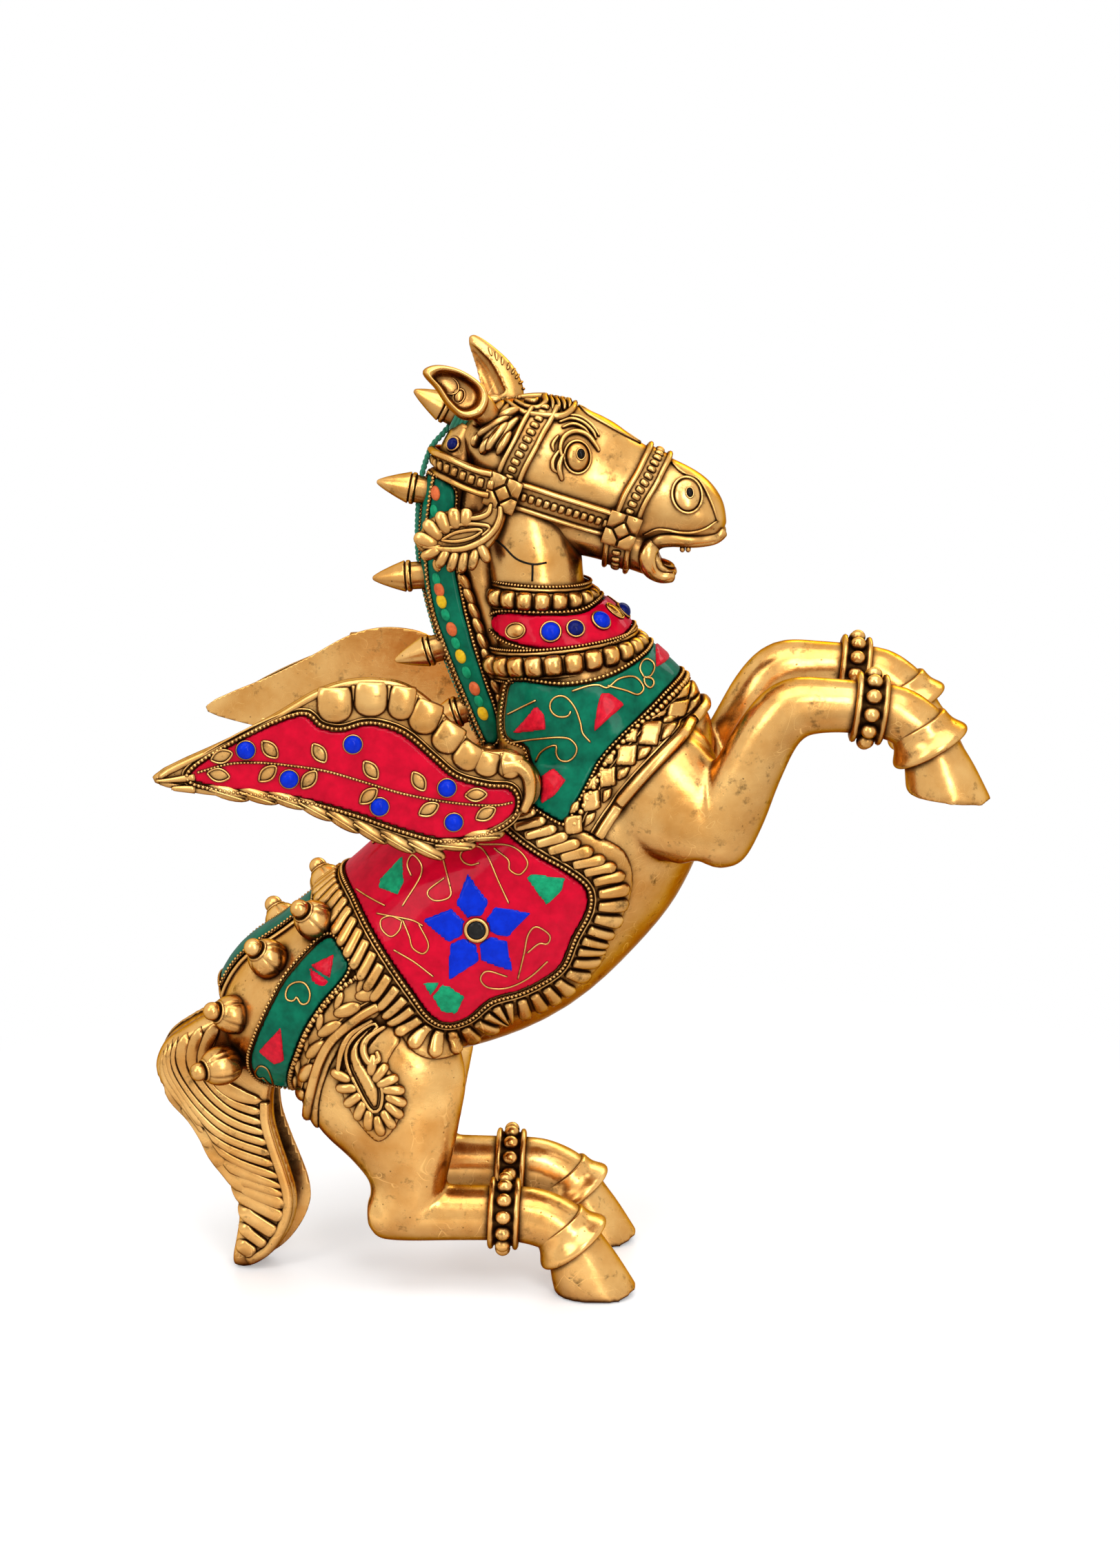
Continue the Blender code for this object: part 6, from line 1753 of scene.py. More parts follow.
def tail_locks():
    """The locks of a lobe, between its guide lines; they thin out towards its edge and its rim."""
    guides = [np.array(line, float) for _, line in TAIL_GUIDES]
    lines = []
    for (count, _), first, second in zip(TAIL_GUIDES, guides[:-1], guides[1:]):
        lines += [first + (second - first) * step / count for step in range(count)]
    lines.append(guides[-1])
    runs = np.array([resampled(side_view(smooth_rows(line, 6)), LOCK_POINTS) for line in lines])
    middle = (runs[:-1] + runs[1:]) / 2
    gap = np.linalg.norm(runs[1:] - runs[:-1], axis=2)
    t = np.linspace(0, 1, LOCK_POINTS)
    ends = np.sqrt(np.clip(1 - np.abs(2 * t - 1) ** 8, 0.02, 1))
    inside = -np.array([outline_field(TAIL_OUTLINE, points) for points in middle])
    fall = np.sqrt(np.clip(1 - (1 - np.clip(inside / TAIL_EDGE, 0, 1)) ** 2, 0, 1))
    plain = np.clip((inside - 3.4) / 1.2, 0.02, 1) ** 0.5
    thin = np.clip((inside + 0.2) / 2.6, 0.06, 1) ** 0.6
    swell = ends * np.where(t > 0.5, plain, thin)
    depth = tail_face(middle[:, :, 2]) - TAIL_GROUND - TAIL_INNER
    middle[:, :, 1] = -TAIL_INNER - depth * (EDGE_FOOT + (1 - EDGE_FOOT) * fall)
    normals = np.broadcast_to(OUTWARD, middle.shape)
    widths = np.clip(gap * 0.45, 0.25, TAIL_LOCK) * swell
    return swept(middle, normals, widths, TAIL_LOCK_HEIGHT * swell, 12, 0.0, 0.6)


def make_tail():
    skin = flat_skin(TAIL_OUTLINE, 0.9)
    edge = skin.field(TAIL_OUTLINE)
    points, faces, walls = skin.plate(edge, 0.0, 1.0, TAIL_EDGE)
    share = -points[:, 1]
    points[:, 1] = -TAIL_INNER - (tail_face(points[:, 2]) - TAIL_GROUND - TAIL_INNER) * share
    lobe = Shape().add(points, faces, walls).add(*tail_locks())
    rim = smooth_rows(TAIL_RIM, 6)
    lobe.add(*swept(side_view(rim, RIM_DEPTH - tail_face(rim[:, 1])), OUTWARD, *RIM_SIZE, 12, 0.0, 0.8))
    solid = np.maximum(edge + 0.5, -skin.field(TAIL_HOLLOW))
    core = skin.plate(solid, -TAIL_INNER - 1, TAIL_INNER + 1, 0.5)
    flared = lobe.mirror()
    swing = np.clip((FLARE_TOP - flared.points[0][:, 2]) / FLARE_SPAN, 0, 1)
    flared.points[0][:, 0] += TAIL_FLARE * swing
    lobe.take(flared).add(*core)
    lobe.piece("tail_locks", BRASS, "tail")


make_tail()


# Anklets

# Cuffs as (centre, direction, radius of the leg)
ANKLETS = {"fore": ((90.6, -34, 194.8), (20.6, 0, -2.6), 8.2), "hind": ((-22, -24, 26.6), (25, 0, -1), 8.8)}
# A cuff's profile as (radius beyond the leg, height), the same above as below
ANKLET_HALF = [(-1, -5), (1.6, -5), (2.5, -4.6), (2.8, -4), (2.5, -3.3), (1.5, -2.9)]
ANKLET_PROFILE = [*ANKLET_HALF, (1.2, 0), *[(out, -height) for out, height in ANKLET_HALF[::-1]]]
# Pitch of a cuff's balls, how far beyond the leg they sit, and their half sizes
ANKLET_PITCH = 5.3
ANKLET_LIFT = 2.3
ANKLET_BALL = (2.5, 2.4, 2.5)


def make_anklets():
    for name, (centre, way, leg) in ANKLETS.items():
        centre, way = np.array(centre, float), unit(np.array(way, float))
        profile = [(leg + out, height) for out, height in ANKLET_PROFILE]
        band = Shape().add(*turned(profile, centre, way, 56))
        first = np.array([0, 1.0, 0])
        ring = leg + ANKLET_LIFT
        angles = circle(round(2 * math.pi * ring / ANKLET_PITCH))
        out = np.cos(angles)[:, None] * first + np.sin(angles)[:, None] * np.cross(way, first)
        band.add(*blobs(centre + out * ring, out, way, ANKLET_BALL))
        band.pair(f"{name}_anklet_beaded", BRASS, f"{name}_anklet")


make_anklets()


# Head

MOUTH = [
    (26.2, 238.6), (28, 240.2), (33, 240), (40, 239.8), (52, 238.5), (52, 226), (35, 229.5),
    (32.6, 232.4), (29.5, 233.2), (27.4, 235),
]
NOSEBAND_LINE = [
    (31, 279), (26.1, 268.9), (24.2, 265.8), (22.7, 262.6), (20.5, 259.3), (18.6, 256.3), (17.2, 252.8),
    (14.8, 246.9), (13.2, 240), (12.6, 226),
]
BROWBAND_LINE = [
    (-4, 294), (-9.8, 281.9), (-12.2, 278.2), (-14.2, 274.4), (-16.4, 270.4), (-18.6, 266.2),
    (-20.8, 260),
]
CHEEK_LINE = [(-22, 259), (-15.9, 257.3), (-6, 254), (4, 250.7), (14.6, 247.2)]
POLL_LINE = [
    (-25.4, -17.2, 260.9), (-28.4, -16.5, 261.5), (-33, -14.6, 263), (-38, -11.6, 265), (-42, -7, 266.2),
    (-43.8, 0, 266.7),
]
FRONT_PLATE = [(12.1, 252.4), (20.1, 249.7), (16.9, 241.2), (9.1, 243.9)]
REAR_PLATE = [(-24, 264.4), (-16.2, 261), (-19.2, 252.8), (-27, 256)]
# Eyes and nostrils: place, half sizes, place of the hole in it and the hole's half sizes
EYE = ((1.0, 269.1), (4.4, 3.5, 2.4), (1.7, 269.8), (1.5, 1.15, 0.5))
NOSTRIL = ((34.8, 257.0), (5.1, 4.1, 1.7), (35.3, 257.4), (1.4, 1.0, 0.5))
# How far they stand out; the gap, wire and rise of the ring round each, and of the one round its hole
EYE_RISE, EYE_RING, HOLE_RING = 0.2, (0.62, 0.45, 0.1), (0.2, 0.22, -0.05)
# How far out on it the hole lies, as a share of its height
HOLE_AT = 0.97
# Raised strokes of the face as (half width, height, line)
FACE_STROKES = [
    (
        0.95,
        1.4,
        [(-3.4, 268.4), (-4.3, 272), (-3, 275.2), (0.2, 276.5), (3.9, 275.3), (6.6, 272.2), (7.6, 270.6)],
    ),
    (1.05, 1.3, [(-3.2, 270.2), (-4.6, 266.4), (-3.6, 262)]),
    (0.8, 1.1, [(-4.4, 271.4), (-6.4, 268.4), (-6.4, 265.8), (-5, 264.6)]),
    (0.7, 1.1, [(-4.8, 275.6), (-6.6, 273), (-6.2, 271)]),
    (0.7, 1.1, [(-3.8, 277.8), (-0.5, 278.6), (2.7, 277.3), (4.6, 275.4)]),
    (0.7, 1.1, [(-4.8, 279.3), (-1.1, 280.1), (2.6, 278.8), (5.6, 276.2), (6.6, 274.2)]),
    (0.7, 1.1, [(-2, 281.2), (1.6, 280.4), (5.2, 278), (7.6, 275)]),
    (0.45, 0.6, [(1, 283.6), (4.6, 280.9), (10.6, 277.6), (20.4, 272)]),
    (2.0, 2.3, [(-22.4, 284.4), (-24.4, 281.4), (-27, 277.6)]),
    (1.9, 2.2, [(-18, 282.8), (-21.6, 279.6), (-25, 276), (-27.6, 273.6)]),
    (1.8, 2.1, [(-17.2, 280.4), (-20.4, 277.4), (-22.8, 273.6), (-23.2, 271.4)]),
    (1.6, 2.0, [(-20.4, 283.8), (-23.4, 279.6), (-27.6, 275.4)]),
    (1.2, 1.6, [(-24.4, 274.4), (-25.4, 271.6)]),
    (1.0, 1.2, [(-15.2, 247.9), (-17.8, 248.7), (-19.8, 246.3), (-20.6, 243.8)]),
    (1.3, 1.9, [(-21.4, 285), (-15.4, 281.8), (-8.8, 280.9), (-3.8, 280.8), (-0.9, 282.6), (0.4, 285)]),
    (
        1.1,
        1.8,
        [
            (-18.6, 285), (-15, 283.4), (-11.2, 283), (-9, 284.6), (-10.6, 286.2), (-14.6, 286.4),
            (-17.6, 285.6),
        ],
    ),
    (1.0, 1.7, [(-15.4, 285.2), (-12.6, 284.6), (-11.4, 285.4)]),
    (0.8, 1.6, [(-8.4, 286.2), (-7, 284.4), (-6.8, 282.4)]),
    (0.8, 1.6, [(-6.8, 286), (-5.2, 284), (-5, 282.2)]),
    (0.8, 1.6, [(-5.2, 285.6), (-3.6, 284), (-3.2, 282.4)]),
    (0.8, 1.6, [(-3.6, 285.2), (-2, 284), (-1.8, 282.8)]),
]
LIPS = [
    (
        2.8,
        2.3,
        [
            (46, 244.8), (43.8, 243.2), (40, 242.6), (35.5, 242.6), (30.6, 243), (26.4, 242.4),
            (23.4, 240), (22.6, 236.6), (23.8, 233), (26.8, 231), (30.2, 230.8),
        ],
    ),
]
# Engraved lines of the throat, drawn as near-black strips that paint the grooves' shade and patina
CREASES = [
    [(-24.6, 243.4), (-21.7, 241.2), (-17.8, 237.6), (-12.8, 236), (-8.5, 236.4)],
    [(-12.8, 236), (-12.8, 233.4), (-12.9, 230.8)],
]
LIP_LINE = [
    (21.3, 244.4), (25.3, 246.3), (29, 246.2), (32.8, 245.5), (36.6, 245.5), (40.3, 246.5), (44.1, 248.8),
]
TONGUE, TONGUE_UP, TONGUE_SIZE = (28.2, 0, 234.2), (0.3, 0, 1.0), (3.4, 4.4, 1.3)
TEETH, TEETH_OUT, TEETH_Z, TOOTH = (33.6, 35.4), 7.4, 239.8, (0.9, 1.0, 1.1)
CREASE_SIZE = (0.32, 0.2)
EAR_RIM = [
    (-45.6, 295.2), (-43.9, 297.1), (-40, 297.4), (-34.7, 296), (-29.5, 292.9), (-26.5, 289.6),
    (-26, 286), (-28.2, 282.4), (-33.3, 281.5), (-38, 285.3), (-41.9, 290.9),
]
EAR_CENTRE, EAR_FACING = np.array([-34.0, -20.4, 288.6]), unit(np.array([0.16, -0.95, 0.26]))
# A small leaf and a loop inside the near ear: shift from its middle, depth, way and sizes
EAR_LEAF, EAR_LEAF_WAY, EAR_LEAF_SIZE = (0.6, 0, -1.6), np.array([0.5, 0, 1.0]), (2.2, 1.4, 0.7)
EAR_LEAF_RING, EAR_LEAF_DEPTH = (1.7, 0.3, 28, 6, 1.4), 2.3
EAR_LOOP, EAR_LOOP_DEPTH, EAR_LOOP_RING = (-2.6, 0, 1.8), 2.2, (2.6, 0.3, 28, 6, 1.3, (-1.0, 0, 0.6))
# Notches on the front edge of the far ear: heights, the edge as (z, x), distance off the middle plane
NOTCH_HEIGHTS, NOTCH_Z, NOTCH_X = (
    np.arange(287.5, 300.5, 1.7),
    [287, 293, 298, 302],
    [-17.4, -20.4, -25.4, -29.6],
)
NOTCH_Y, NOTCH_WAY, NOTCH_SIZE = 12.0, (0.4, -1.0, 0.2), (1.8, 0.5, 0.6)
# Rings of the near ear's cup as (scale of its rim, height towards the viewer)
EAR_CUP = [
    (0.02, -2.7), (0.3, -2.6), (0.5, -2.2), (0.61, -1.5), (0.67, -0.4), (0.72, 0.7), (0.79, 1.5),
    (0.88, 1.7), (0.96, 1.1), (1, -0.2), (1.01, -1.8), (0.97, -3.6), (0.86, -5.4), (0.62, -6.8),
    (0.3, -7.6), (0.02, -7.8),
]
EAR_STEM = [
    (-20, -2, 270, 4, 4), (-22.5, -6, 275.5, 3.8, 3.6), (-26, -10.5, 280.5, 3.8, 3.6),
    (-29.5, -14, 285, 4.4, 3.6), (-31, -15, 286.4, 2, 2),
]
FAR_EAR = [
    (-17.5, 4, 270, 5, 5), (-19.5, 6, 275, 5, 4.4), (-21, 9.5, 282, 5, 4.2), (-22.6, 12.5, 287, 6.2, 5),
    (-25.5, 14.5, 292.5, 5.9, 5.2), (-29, 15.5, 298, 4.1, 4), (-31.8, 16, 302, 2.3, 2.4),
    (-33.2, 16.2, 304, 0.9, 1),
]
FAR_BOWL = [
    (-25.4, 9.2, 285, 4.4, 4.4), (-29, 11.8, 292.6, 4.2, 4.6), (-32.4, 12.8, 298.2, 2.6, 3.4),
    (-34.8, 13.4, 302, 1.1, 1.6),
]
FEATHER = [
    (-25.5, 255.4), (-21.4, 253), (-21.4, 249), (-25, 242), (-33, 235), (-41, 236.2), (-48.5, 241),
    (-47.4, 245.8), (-44.5, 249.8), (-36.8, 253), (-29.5, 252),
]


def line_field(line, points, steps=6):
    """Signed distance of side-view points from an open line."""
    run = smooth_rows(line, steps)
    x, z = points[:, 0], points[:, 2]
    nearest, signed = np.full(len(points), FAR_OFF), np.zeros(len(points))
    for (ax, az), (bx, bz) in zip(run[:-1], run[1:]):
        dx, dz = bx - ax, bz - az
        t = np.clip(((x - ax) * dx + (z - az) * dz) / (dx * dx + dz * dz), 0, 1)
        away = np.hypot(x - ax - t * dx, z - az - t * dz)
        closer = away < nearest
        side = np.sign(dx * (z - az) - dz * (x - ax))
        nearest, signed = np.where(closer, away, nearest), np.where(closer, away * side, signed)
    return signed


def eased(run, spacing=0.9, passes=6):
    """A level line's columns at even places, with its jitter smoothed out."""
    run = resampled(run, int(run_length(run) / spacing) + 4)
    loop = np.linalg.norm(run[0, :3] - run[-1, :3]) < 1e-6
    for _ in range(passes):
        before, after = np.roll(run, 1, axis=0), np.roll(run, -1, axis=0)
        if loop:
            before[0], after[-1] = run[-2], run[1]
        else:
            before[0], after[-1] = run[0], run[-1]
        run = (before + 2 * run + after) / 4
    return run


# Straps: base, rails as (half width, height, sides, lift), beads as pitch, rise, half sizes and squareness
STRAP_BASE, STRAP_RAIL = (0.05, 0.8, 0.5), (0.95, 1.25, 10, 0.9)
STRAP_PITCH, STRAP_RISE, STRAP_BEAD, STRAP_SQUARE = 2.35, 0.9, (1.02, 1.5, 1.05), 4.0
# Half width of each strap, where its rails run, and where the browband and the cheek straps end
NOSEBAND, BROWBAND, CHEEK = (4.3, 3.35), (4.2, 3.3), (4.4, 3.55)
BROWBAND_ENDS, CHEEK_FROM, CHEEK_MIDDLE, CHEEK_HALF = (258, 283.5), 3, -4, 17


def strap(skin, line, half, rail_at, mask=None):
    """A bridle strap: a flat base, two rails and a row of square beads."""
    across = line_field(line, skin.points)
    field = np.abs(across) - half
    if mask is not None:
        field = np.maximum(field, mask)
    keep = None if mask is None else mask < 0
    made = Shape().add(*skin.plate(field, *STRAP_BASE))
    for offset in (rail_at, -rail_at):
        for run in skin.lines(across - offset, keep):
            made.add(*rail(eased(run), *STRAP_RAIL))
    for run in skin.lines(across, keep):
        run = eased(run)
        places, normals = halves(resampled(run, max(int(round(run_length(run) / STRAP_PITCH)), 2)))
        ways = unit(np.gradient(places, axis=0))
        made.add(*blobs(places + normals * STRAP_RISE, normals, ways, STRAP_BEAD, square=STRAP_SQUARE))
    return made


def strokes(skin, rows, side, sides=10, ends=0.4):
    """Raised strokes, thick in the middle, laid on a skin."""
    made = Shape()
    for width, height, line in rows:
        run = skin.trace(line, side, 6)
        swell = ends + (1 - ends) * np.sin(math.pi * np.linspace(0.06, 0.96, len(run))) ** 0.7
        made.add(*rail(run, width * swell, height * swell, sides, 0.15))
    return made


def slab(outline, place, normal, low, high, bevel=0.35):
    """A flat plate of a side-view outline, square to a normal at a place, with its upper edge bevelled."""
    outline = np.asarray(outline, float)
    rings = []
    for height, inset in ((low, 0.0), (high - bevel, 0.0), (high, bevel)):
        middle = outline.mean(axis=0)
        flat = outline + (middle - outline) * inset / np.linalg.norm(outline - middle, axis=1)[:, None]
        off = flat - place[[0, 2]]
        depth = place[1] - (off[:, 0] * normal[0] + off[:, 1] * normal[2]) / normal[1]
        rings.append(np.stack([flat[:, 0], depth, flat[:, 1]], axis=1) + height * normal)
    return tube(np.array(rings))


# Plates at the straps' joints: growth over the corners seen, and how their faces turn to the side; width of
# the grooves, where the corner fields start and how large the diamond is, as shares; heights and bevel
PLATE_SCALE, PLATE_TURN = 1.2, np.array([0.4, 1.0, 0.4])
PLATE_GROOVE, PLATE_INNER, PLATE_DIAMOND = 0.07, 0.6, 0.5
PLATE_BASE, PLATE_FIELD = (-3.2, 2.4), (1.5, 3.3, 0.22)


def bridle_plate(skin, corners, side):
    """A square plate with a diamond and four corner fields standing out of it."""
    corners = np.array(corners, float)
    centre = corners.mean(axis=0)
    spot = skin.cast([centre], side)[0]
    place, normal = spot[:3], unit(spot[3:] * PLATE_TURN)
    corners = centre + (corners - centre) * PLATE_SCALE
    made = Shape().add(*slab(corners, place, normal, *PLATE_BASE))
    middles = (corners + np.roll(corners, -1, axis=0)) / 2
    fields = [centre + (middles - centre) * PLATE_DIAMOND]
    for number in range(4):
        corner, before, after = corners[number], middles[number - 1], middles[number]
        fore, back = PLATE_GROOVE * (corner - after), PLATE_GROOVE * (corner - before)
        inner, outer = centre + PLATE_INNER * (after - centre), centre + PLATE_INNER * (before - centre)
        fields.append(np.array([corner, after + fore, inner + fore, outer + back, before + back]))
    for field in fields:
        made.add(*slab(field, place, normal, *PLATE_FIELD))
    return made


# Leaf-shaped locks as (x, z, turn in degrees, half length, half width)
LOCKS = [
    (-27.5, 281, 52, 5, 1.7), (-24.9, 278.2, 34, 6, 1.6), (-23.6, 275.4, 58, 5.6, 1.8),
    (-27.2, 272.4, 64, 3, 1.3), (-30, 274, 70, 2.6, 1.3), (-26.2, 284.6, 150, 3.4, 1.4),
    (-20.6, 281.6, 40, 4.4, 1.5), (-21.4, 273.4, 62, 4.4, 1.4),
]
LEAF_OUT, LEAF_HEIGHT = 1.2, 2.4
NOSE_STROKES = [
    (0.5, 0.7, [(29.8, 266.4), (33.4, 263.4), (38.4, 261), (42.2, 254.6), (44.4, 248.4)]),
    (0.5, 0.7, LIP_LINE),
]


# The poll strap: its upward way, base, rails' distance and size, beads' pitch, rise and half sizes
POLL_UP, POLL_BASE, POLL_RAIL_AT, POLL_RAIL = (
    np.array([-0.12, 0, 1.0]), (4.0, 1.0, 8, -0.3, 0.5), 3.3, (1.15, 1.5, 10, 0.5),
)
POLL_PITCH, POLL_RISE, POLL_BEAD = 2.9, 0.5, (1.25, 1.7, 1.3)
# Voxels of the skin that settings lie on, of the one with the mouth cut and of the far ear, their
# smoothing, and the mouth's half width
HEAD_VOXEL, CUT_VOXEL, FAR_VOXEL, HEAD_SMOOTHING, MOUTH_HALF = 0.7, 0.6, 0.5, 4, 30


def locks(skin, side):
    made = Shape()
    for x, z, turn, long, wide in LOCKS:
        spot = skin.cast([(x, z)], side)[0]
        place = spot[:3] + np.array([0, side * LEAF_OUT, 0])
        made.add(*blobs(place, spot[3:], heading(turn), (long, wide, LEAF_HEIGHT)))
    return made


def feature(skin, side, spot, size, hole, hole_size):
    """(metal, hole) of an eye or a nostril: a bulge with a ring round it, and a ringed near-black cap on
    it: the eye's pupil, and for a nostril painted shade in place of its hole.
    """
    place, normal = halves(skin.cast([spot], side))
    place, normal = place[0] + normal[0] * EYE_RISE, normal[0]
    metal = Shape().add(*blobs(place, normal, (0, 0, 1), size, 4))
    gap, thick, rise = EYE_RING
    long, wide = size[0] + gap, size[1] + gap
    metal.add(*ring_about(place + normal * rise, normal, wide, thick, 48, 8, long / wide))
    top = place + normal * (size[2] * HOLE_AT) + np.array([hole[0] - spot[0], 0, hole[1] - spot[1]])
    gap, thick, rise = HOLE_RING
    long, wide, _ = hole_size
    metal.add(*ring_about(top + normal * rise, normal, wide + gap, thick, 28, 6, long / wide))
    return metal, Shape().add(*blobs(top, normal, (0, 0, 1), hole_size))


def make_bridle(skin):
    strap(skin, NOSEBAND_LINE, *NOSEBAND).piece("noseband_beaded", BRASS, "noseband")
    x, z = skin.points[:, 0], skin.points[:, 2]
    ends = np.maximum(BROWBAND_ENDS[0] - z, z - BROWBAND_ENDS[1])
    strap(skin, BROWBAND_LINE, *BROWBAND, ends).piece("browband_beaded", BRASS, "browband")
    for side in SIDES:
        name = f"{SIDE_NAMES[side]}_cheek_strap"
        ends = np.maximum(skin.on_side(side, CHEEK_FROM), np.abs(x - CHEEK_MIDDLE) - CHEEK_HALF)
        cheek = strap(skin, CHEEK_LINE, *CHEEK, ends)
        for corners in (FRONT_PLATE, REAR_PLATE):
            cheek.take(bridle_plate(skin, corners, side))
        cheek.piece(f"{name}_beaded", BRASS, name)
    run = smooth_rows(POLL_LINE, 8)
    run = np.vstack([run, run[::-1][1:] * [1, -1, 1]])
    ahead = unit(np.gradient(run, axis=0))
    up = unit(POLL_UP - ahead * (ahead @ POLL_UP)[:, None])
    out = np.cross(up, ahead)
    poll = Shape().add(*swept(run, out, *POLL_BASE))
    for way in (POLL_RAIL_AT, -POLL_RAIL_AT):
        poll.add(*swept(run + up * way, out, *POLL_RAIL))
    places, normals = halves(resampled(np.hstack([run, out]), int(run_length(run) / POLL_PITCH)))
    normals, ways = unit(normals), unit(np.gradient(places, axis=0))
    poll.add(*blobs(places + POLL_RISE * normals, normals, ways, POLL_BEAD, square=STRAP_SQUARE))
    poll.piece("poll_strap_beaded", BRASS, "poll_strap")


def make_head():
    bodies = [loft(SKULL), loft(JAW)]
    solid = united(bodies, HEAD_VOXEL, HEAD_SMOOTHING)
    cut = united(bodies, CUT_VOXEL, HEAD_SMOOTHING, [prism(MOUTH, -MOUTH_HALF, MOUTH_HALF)])
    face, dark = Shape().add(cut.points, cut.triangles), Shape()
    for side in SIDES:
        for place_and_sizes in (EYE, NOSTRIL):
            metal, hole = feature(solid, side, *place_and_sizes)
            face.take(metal)
            dark.take(hole)
        face.take(strokes(solid, [*FACE_STROKES, *NOSE_STROKES], side)).take(locks(solid, side))
        face.take(strokes(solid, LIPS, side, 16, 0.7))
        # Near-black strips that paint the shade and patina of the throat's engraved grooves
        for line in CREASES:
            dark.add(*rail(TRUNK.trace(line, side, 6), *CREASE_SIZE))
        for x in TEETH:
            face.add(*blobs((x, side * TEETH_OUT, TEETH_Z), (0, 0, 1), (1, 0, 0), TOOTH, 2))
    face.add(*blobs(TONGUE, TONGUE_UP, (1, 0, 0), TONGUE_SIZE))
    face.piece("head_casting", BRASS, "head")
    dark.piece("head_pupils_and_painted_shade", PUPIL_AND_HOLE_SHADE)
    make_bridle(solid)


def make_ears():
    flat = resampled(looped(side_view(smooth_rows(EAR_RIM, 6, True))), 73)[:-1]
    off = flat - EAR_CENTRE
    flat[:, 1] = EAR_CENTRE[1] - (off[:, 0] * EAR_FACING[0] + off[:, 2] * EAR_FACING[2]) / EAR_FACING[1]
    centre = flat.mean(axis=0)
    cup = smooth_rows(EAR_CUP, 3)
    rings = [centre + scale * (flat - centre) + EAR_FACING * height for scale, height in cup]
    ear = Shape().add(*tube(np.array(rings))).add(*loft(EAR_STEM))
    leaf = centre + np.array(EAR_LEAF) - EAR_FACING * EAR_LEAF_DEPTH
    ear.add(*blobs(leaf, EAR_FACING, EAR_LEAF_WAY, EAR_LEAF_SIZE))
    ear.add(*ring_about(leaf + EAR_FACING * 0.2, EAR_FACING, *EAR_LEAF_RING, EAR_LEAF_WAY))
    loop = centre + np.array(EAR_LOOP) - EAR_FACING * EAR_LOOP_DEPTH
    ear.add(*ring_about(loop, EAR_FACING, *EAR_LOOP_RING))
    ear.piece("right_ear_cup", BRASS, "right_ear")
    far = united([loft(FAR_EAR)], FAR_VOXEL, HEAD_SMOOTHING, [loft(FAR_BOWL)])
    ear = Shape().add(far.points, far.triangles)
    for z in NOTCH_HEIGHTS:
        spot = far.stick([(np.interp(z, NOTCH_Z, NOTCH_X), NOTCH_Y, z)])[0]
        ear.add(*blobs(spot[:3], spot[3:], NOTCH_WAY, NOTCH_SIZE, 2))
    ear.piece("left_ear_cup", BRASS, "left_ear")


# Lobes of the feather ornament as (x, z, turn in degrees, half length, half width)
FEATHER_LOBES = [
    (-45.6, 243.4, 20, 4, 2.5), (-43.4, 246.6, 50, 4, 2.4), (-40.2, 248.9, 70, 3.9, 2.3),
    (-36.7, 250.2, 85, 3.6, 2.3), (-33.2, 250.6, 100, 3.2, 2.2), (-43.8, 239.8, -30, 3.8, 2),
    (-40.4, 238.2, -62, 3.8, 1.85), (-37.3, 237.2, -72, 3.8, 1.8), (-34.2, 237, -78, 3.8, 1.8),
    (-31, 237.8, -75, 3.8, 1.8), (-27.9, 239.8, -65, 3.6, 1.8),
]
# Strokes on it as (half width, line)
FEATHER_STROKES = [
    (
        1.25,
        [
            (-22.6, 254.2), (-22.8, 250.8), (-24.6, 246.8), (-28.4, 243.4), (-34, 241), (-40, 240.8),
            (-46.6, 241.8),
        ],
    ),
    (0.8, [(-46, 242.4), (-41, 246.4), (-34.4, 248.6), (-27.6, 248.4), (-26, 247.2), (-28.4, 245)]),
    (0.75, [(-41, 243.6), (-36.4, 246), (-30, 247), (-28, 246.6)]),
    (0.75, [(-41, 243.6), (-36.6, 243.2), (-31.4, 244.4), (-28, 246.6)]),
    (1.0, [(-25.4, 255), (-26.4, 252), (-29.6, 250.6), (-34, 250.4)]),
]

# Its base, how far the lobes' middles and the strokes lie over its foot, the lobes' height and squareness
FEATHER_BASE, LOBES_AT, STROKES_AT, LOBE_RISE, LOBE_SQUARE = (0.0, 3.0, 1.6), 2.6, 3.0, 1.7, 2.4
# Lobes behind this x point backwards; how far off the middle plane the ornament's foot lies
FEATHER_SPLIT, FEATHER_FOOT = -30, 14.2


def make_feathers():
    skin = flat_skin(FEATHER, 0.7)
    leaf = Shape().add(*skin.plate(skin.field(FEATHER), *FEATHER_BASE))
    for x, z, turn, long, wide in FEATHER_LOBES:
        way = heading(180 - turn if x < FEATHER_SPLIT else turn)
        leaf.add(*blobs((x, -LOBES_AT, z), OUTWARD, way, (long, wide, LOBE_RISE), square=LOBE_SQUARE))
    for width, line in FEATHER_STROKES:
        run = level(line, STROKES_AT)
        swell = width * (0.5 + 0.5 * np.sin(math.pi * np.linspace(0.1, 0.9, len(run))))
        leaf.add(*rail(run, swell, swell * 1.1, 10))
    leaf = leaf.moved(Matrix.Translation((0, -FEATHER_FOOT, 0)))
    leaf.pair("feather_ornament_leaf", BRASS, "feather_ornament")


make_head()
make_ears()
make_feathers()


# Stage

CAMERA_TARGET = (-1.0, 0.0, 163.0)
CAMERA_AZIMUTH, CAMERA_ELEVATION, CAMERA_DISTANCE = 1.5, 12.5, 934.0
# The photo's long side and the focal length in its pixels, and the sensor's width in millimetres
PHOTO_LONG_SIDE, FOCAL_PIXELS, SENSOR = 2274, 4235.0, 36.0


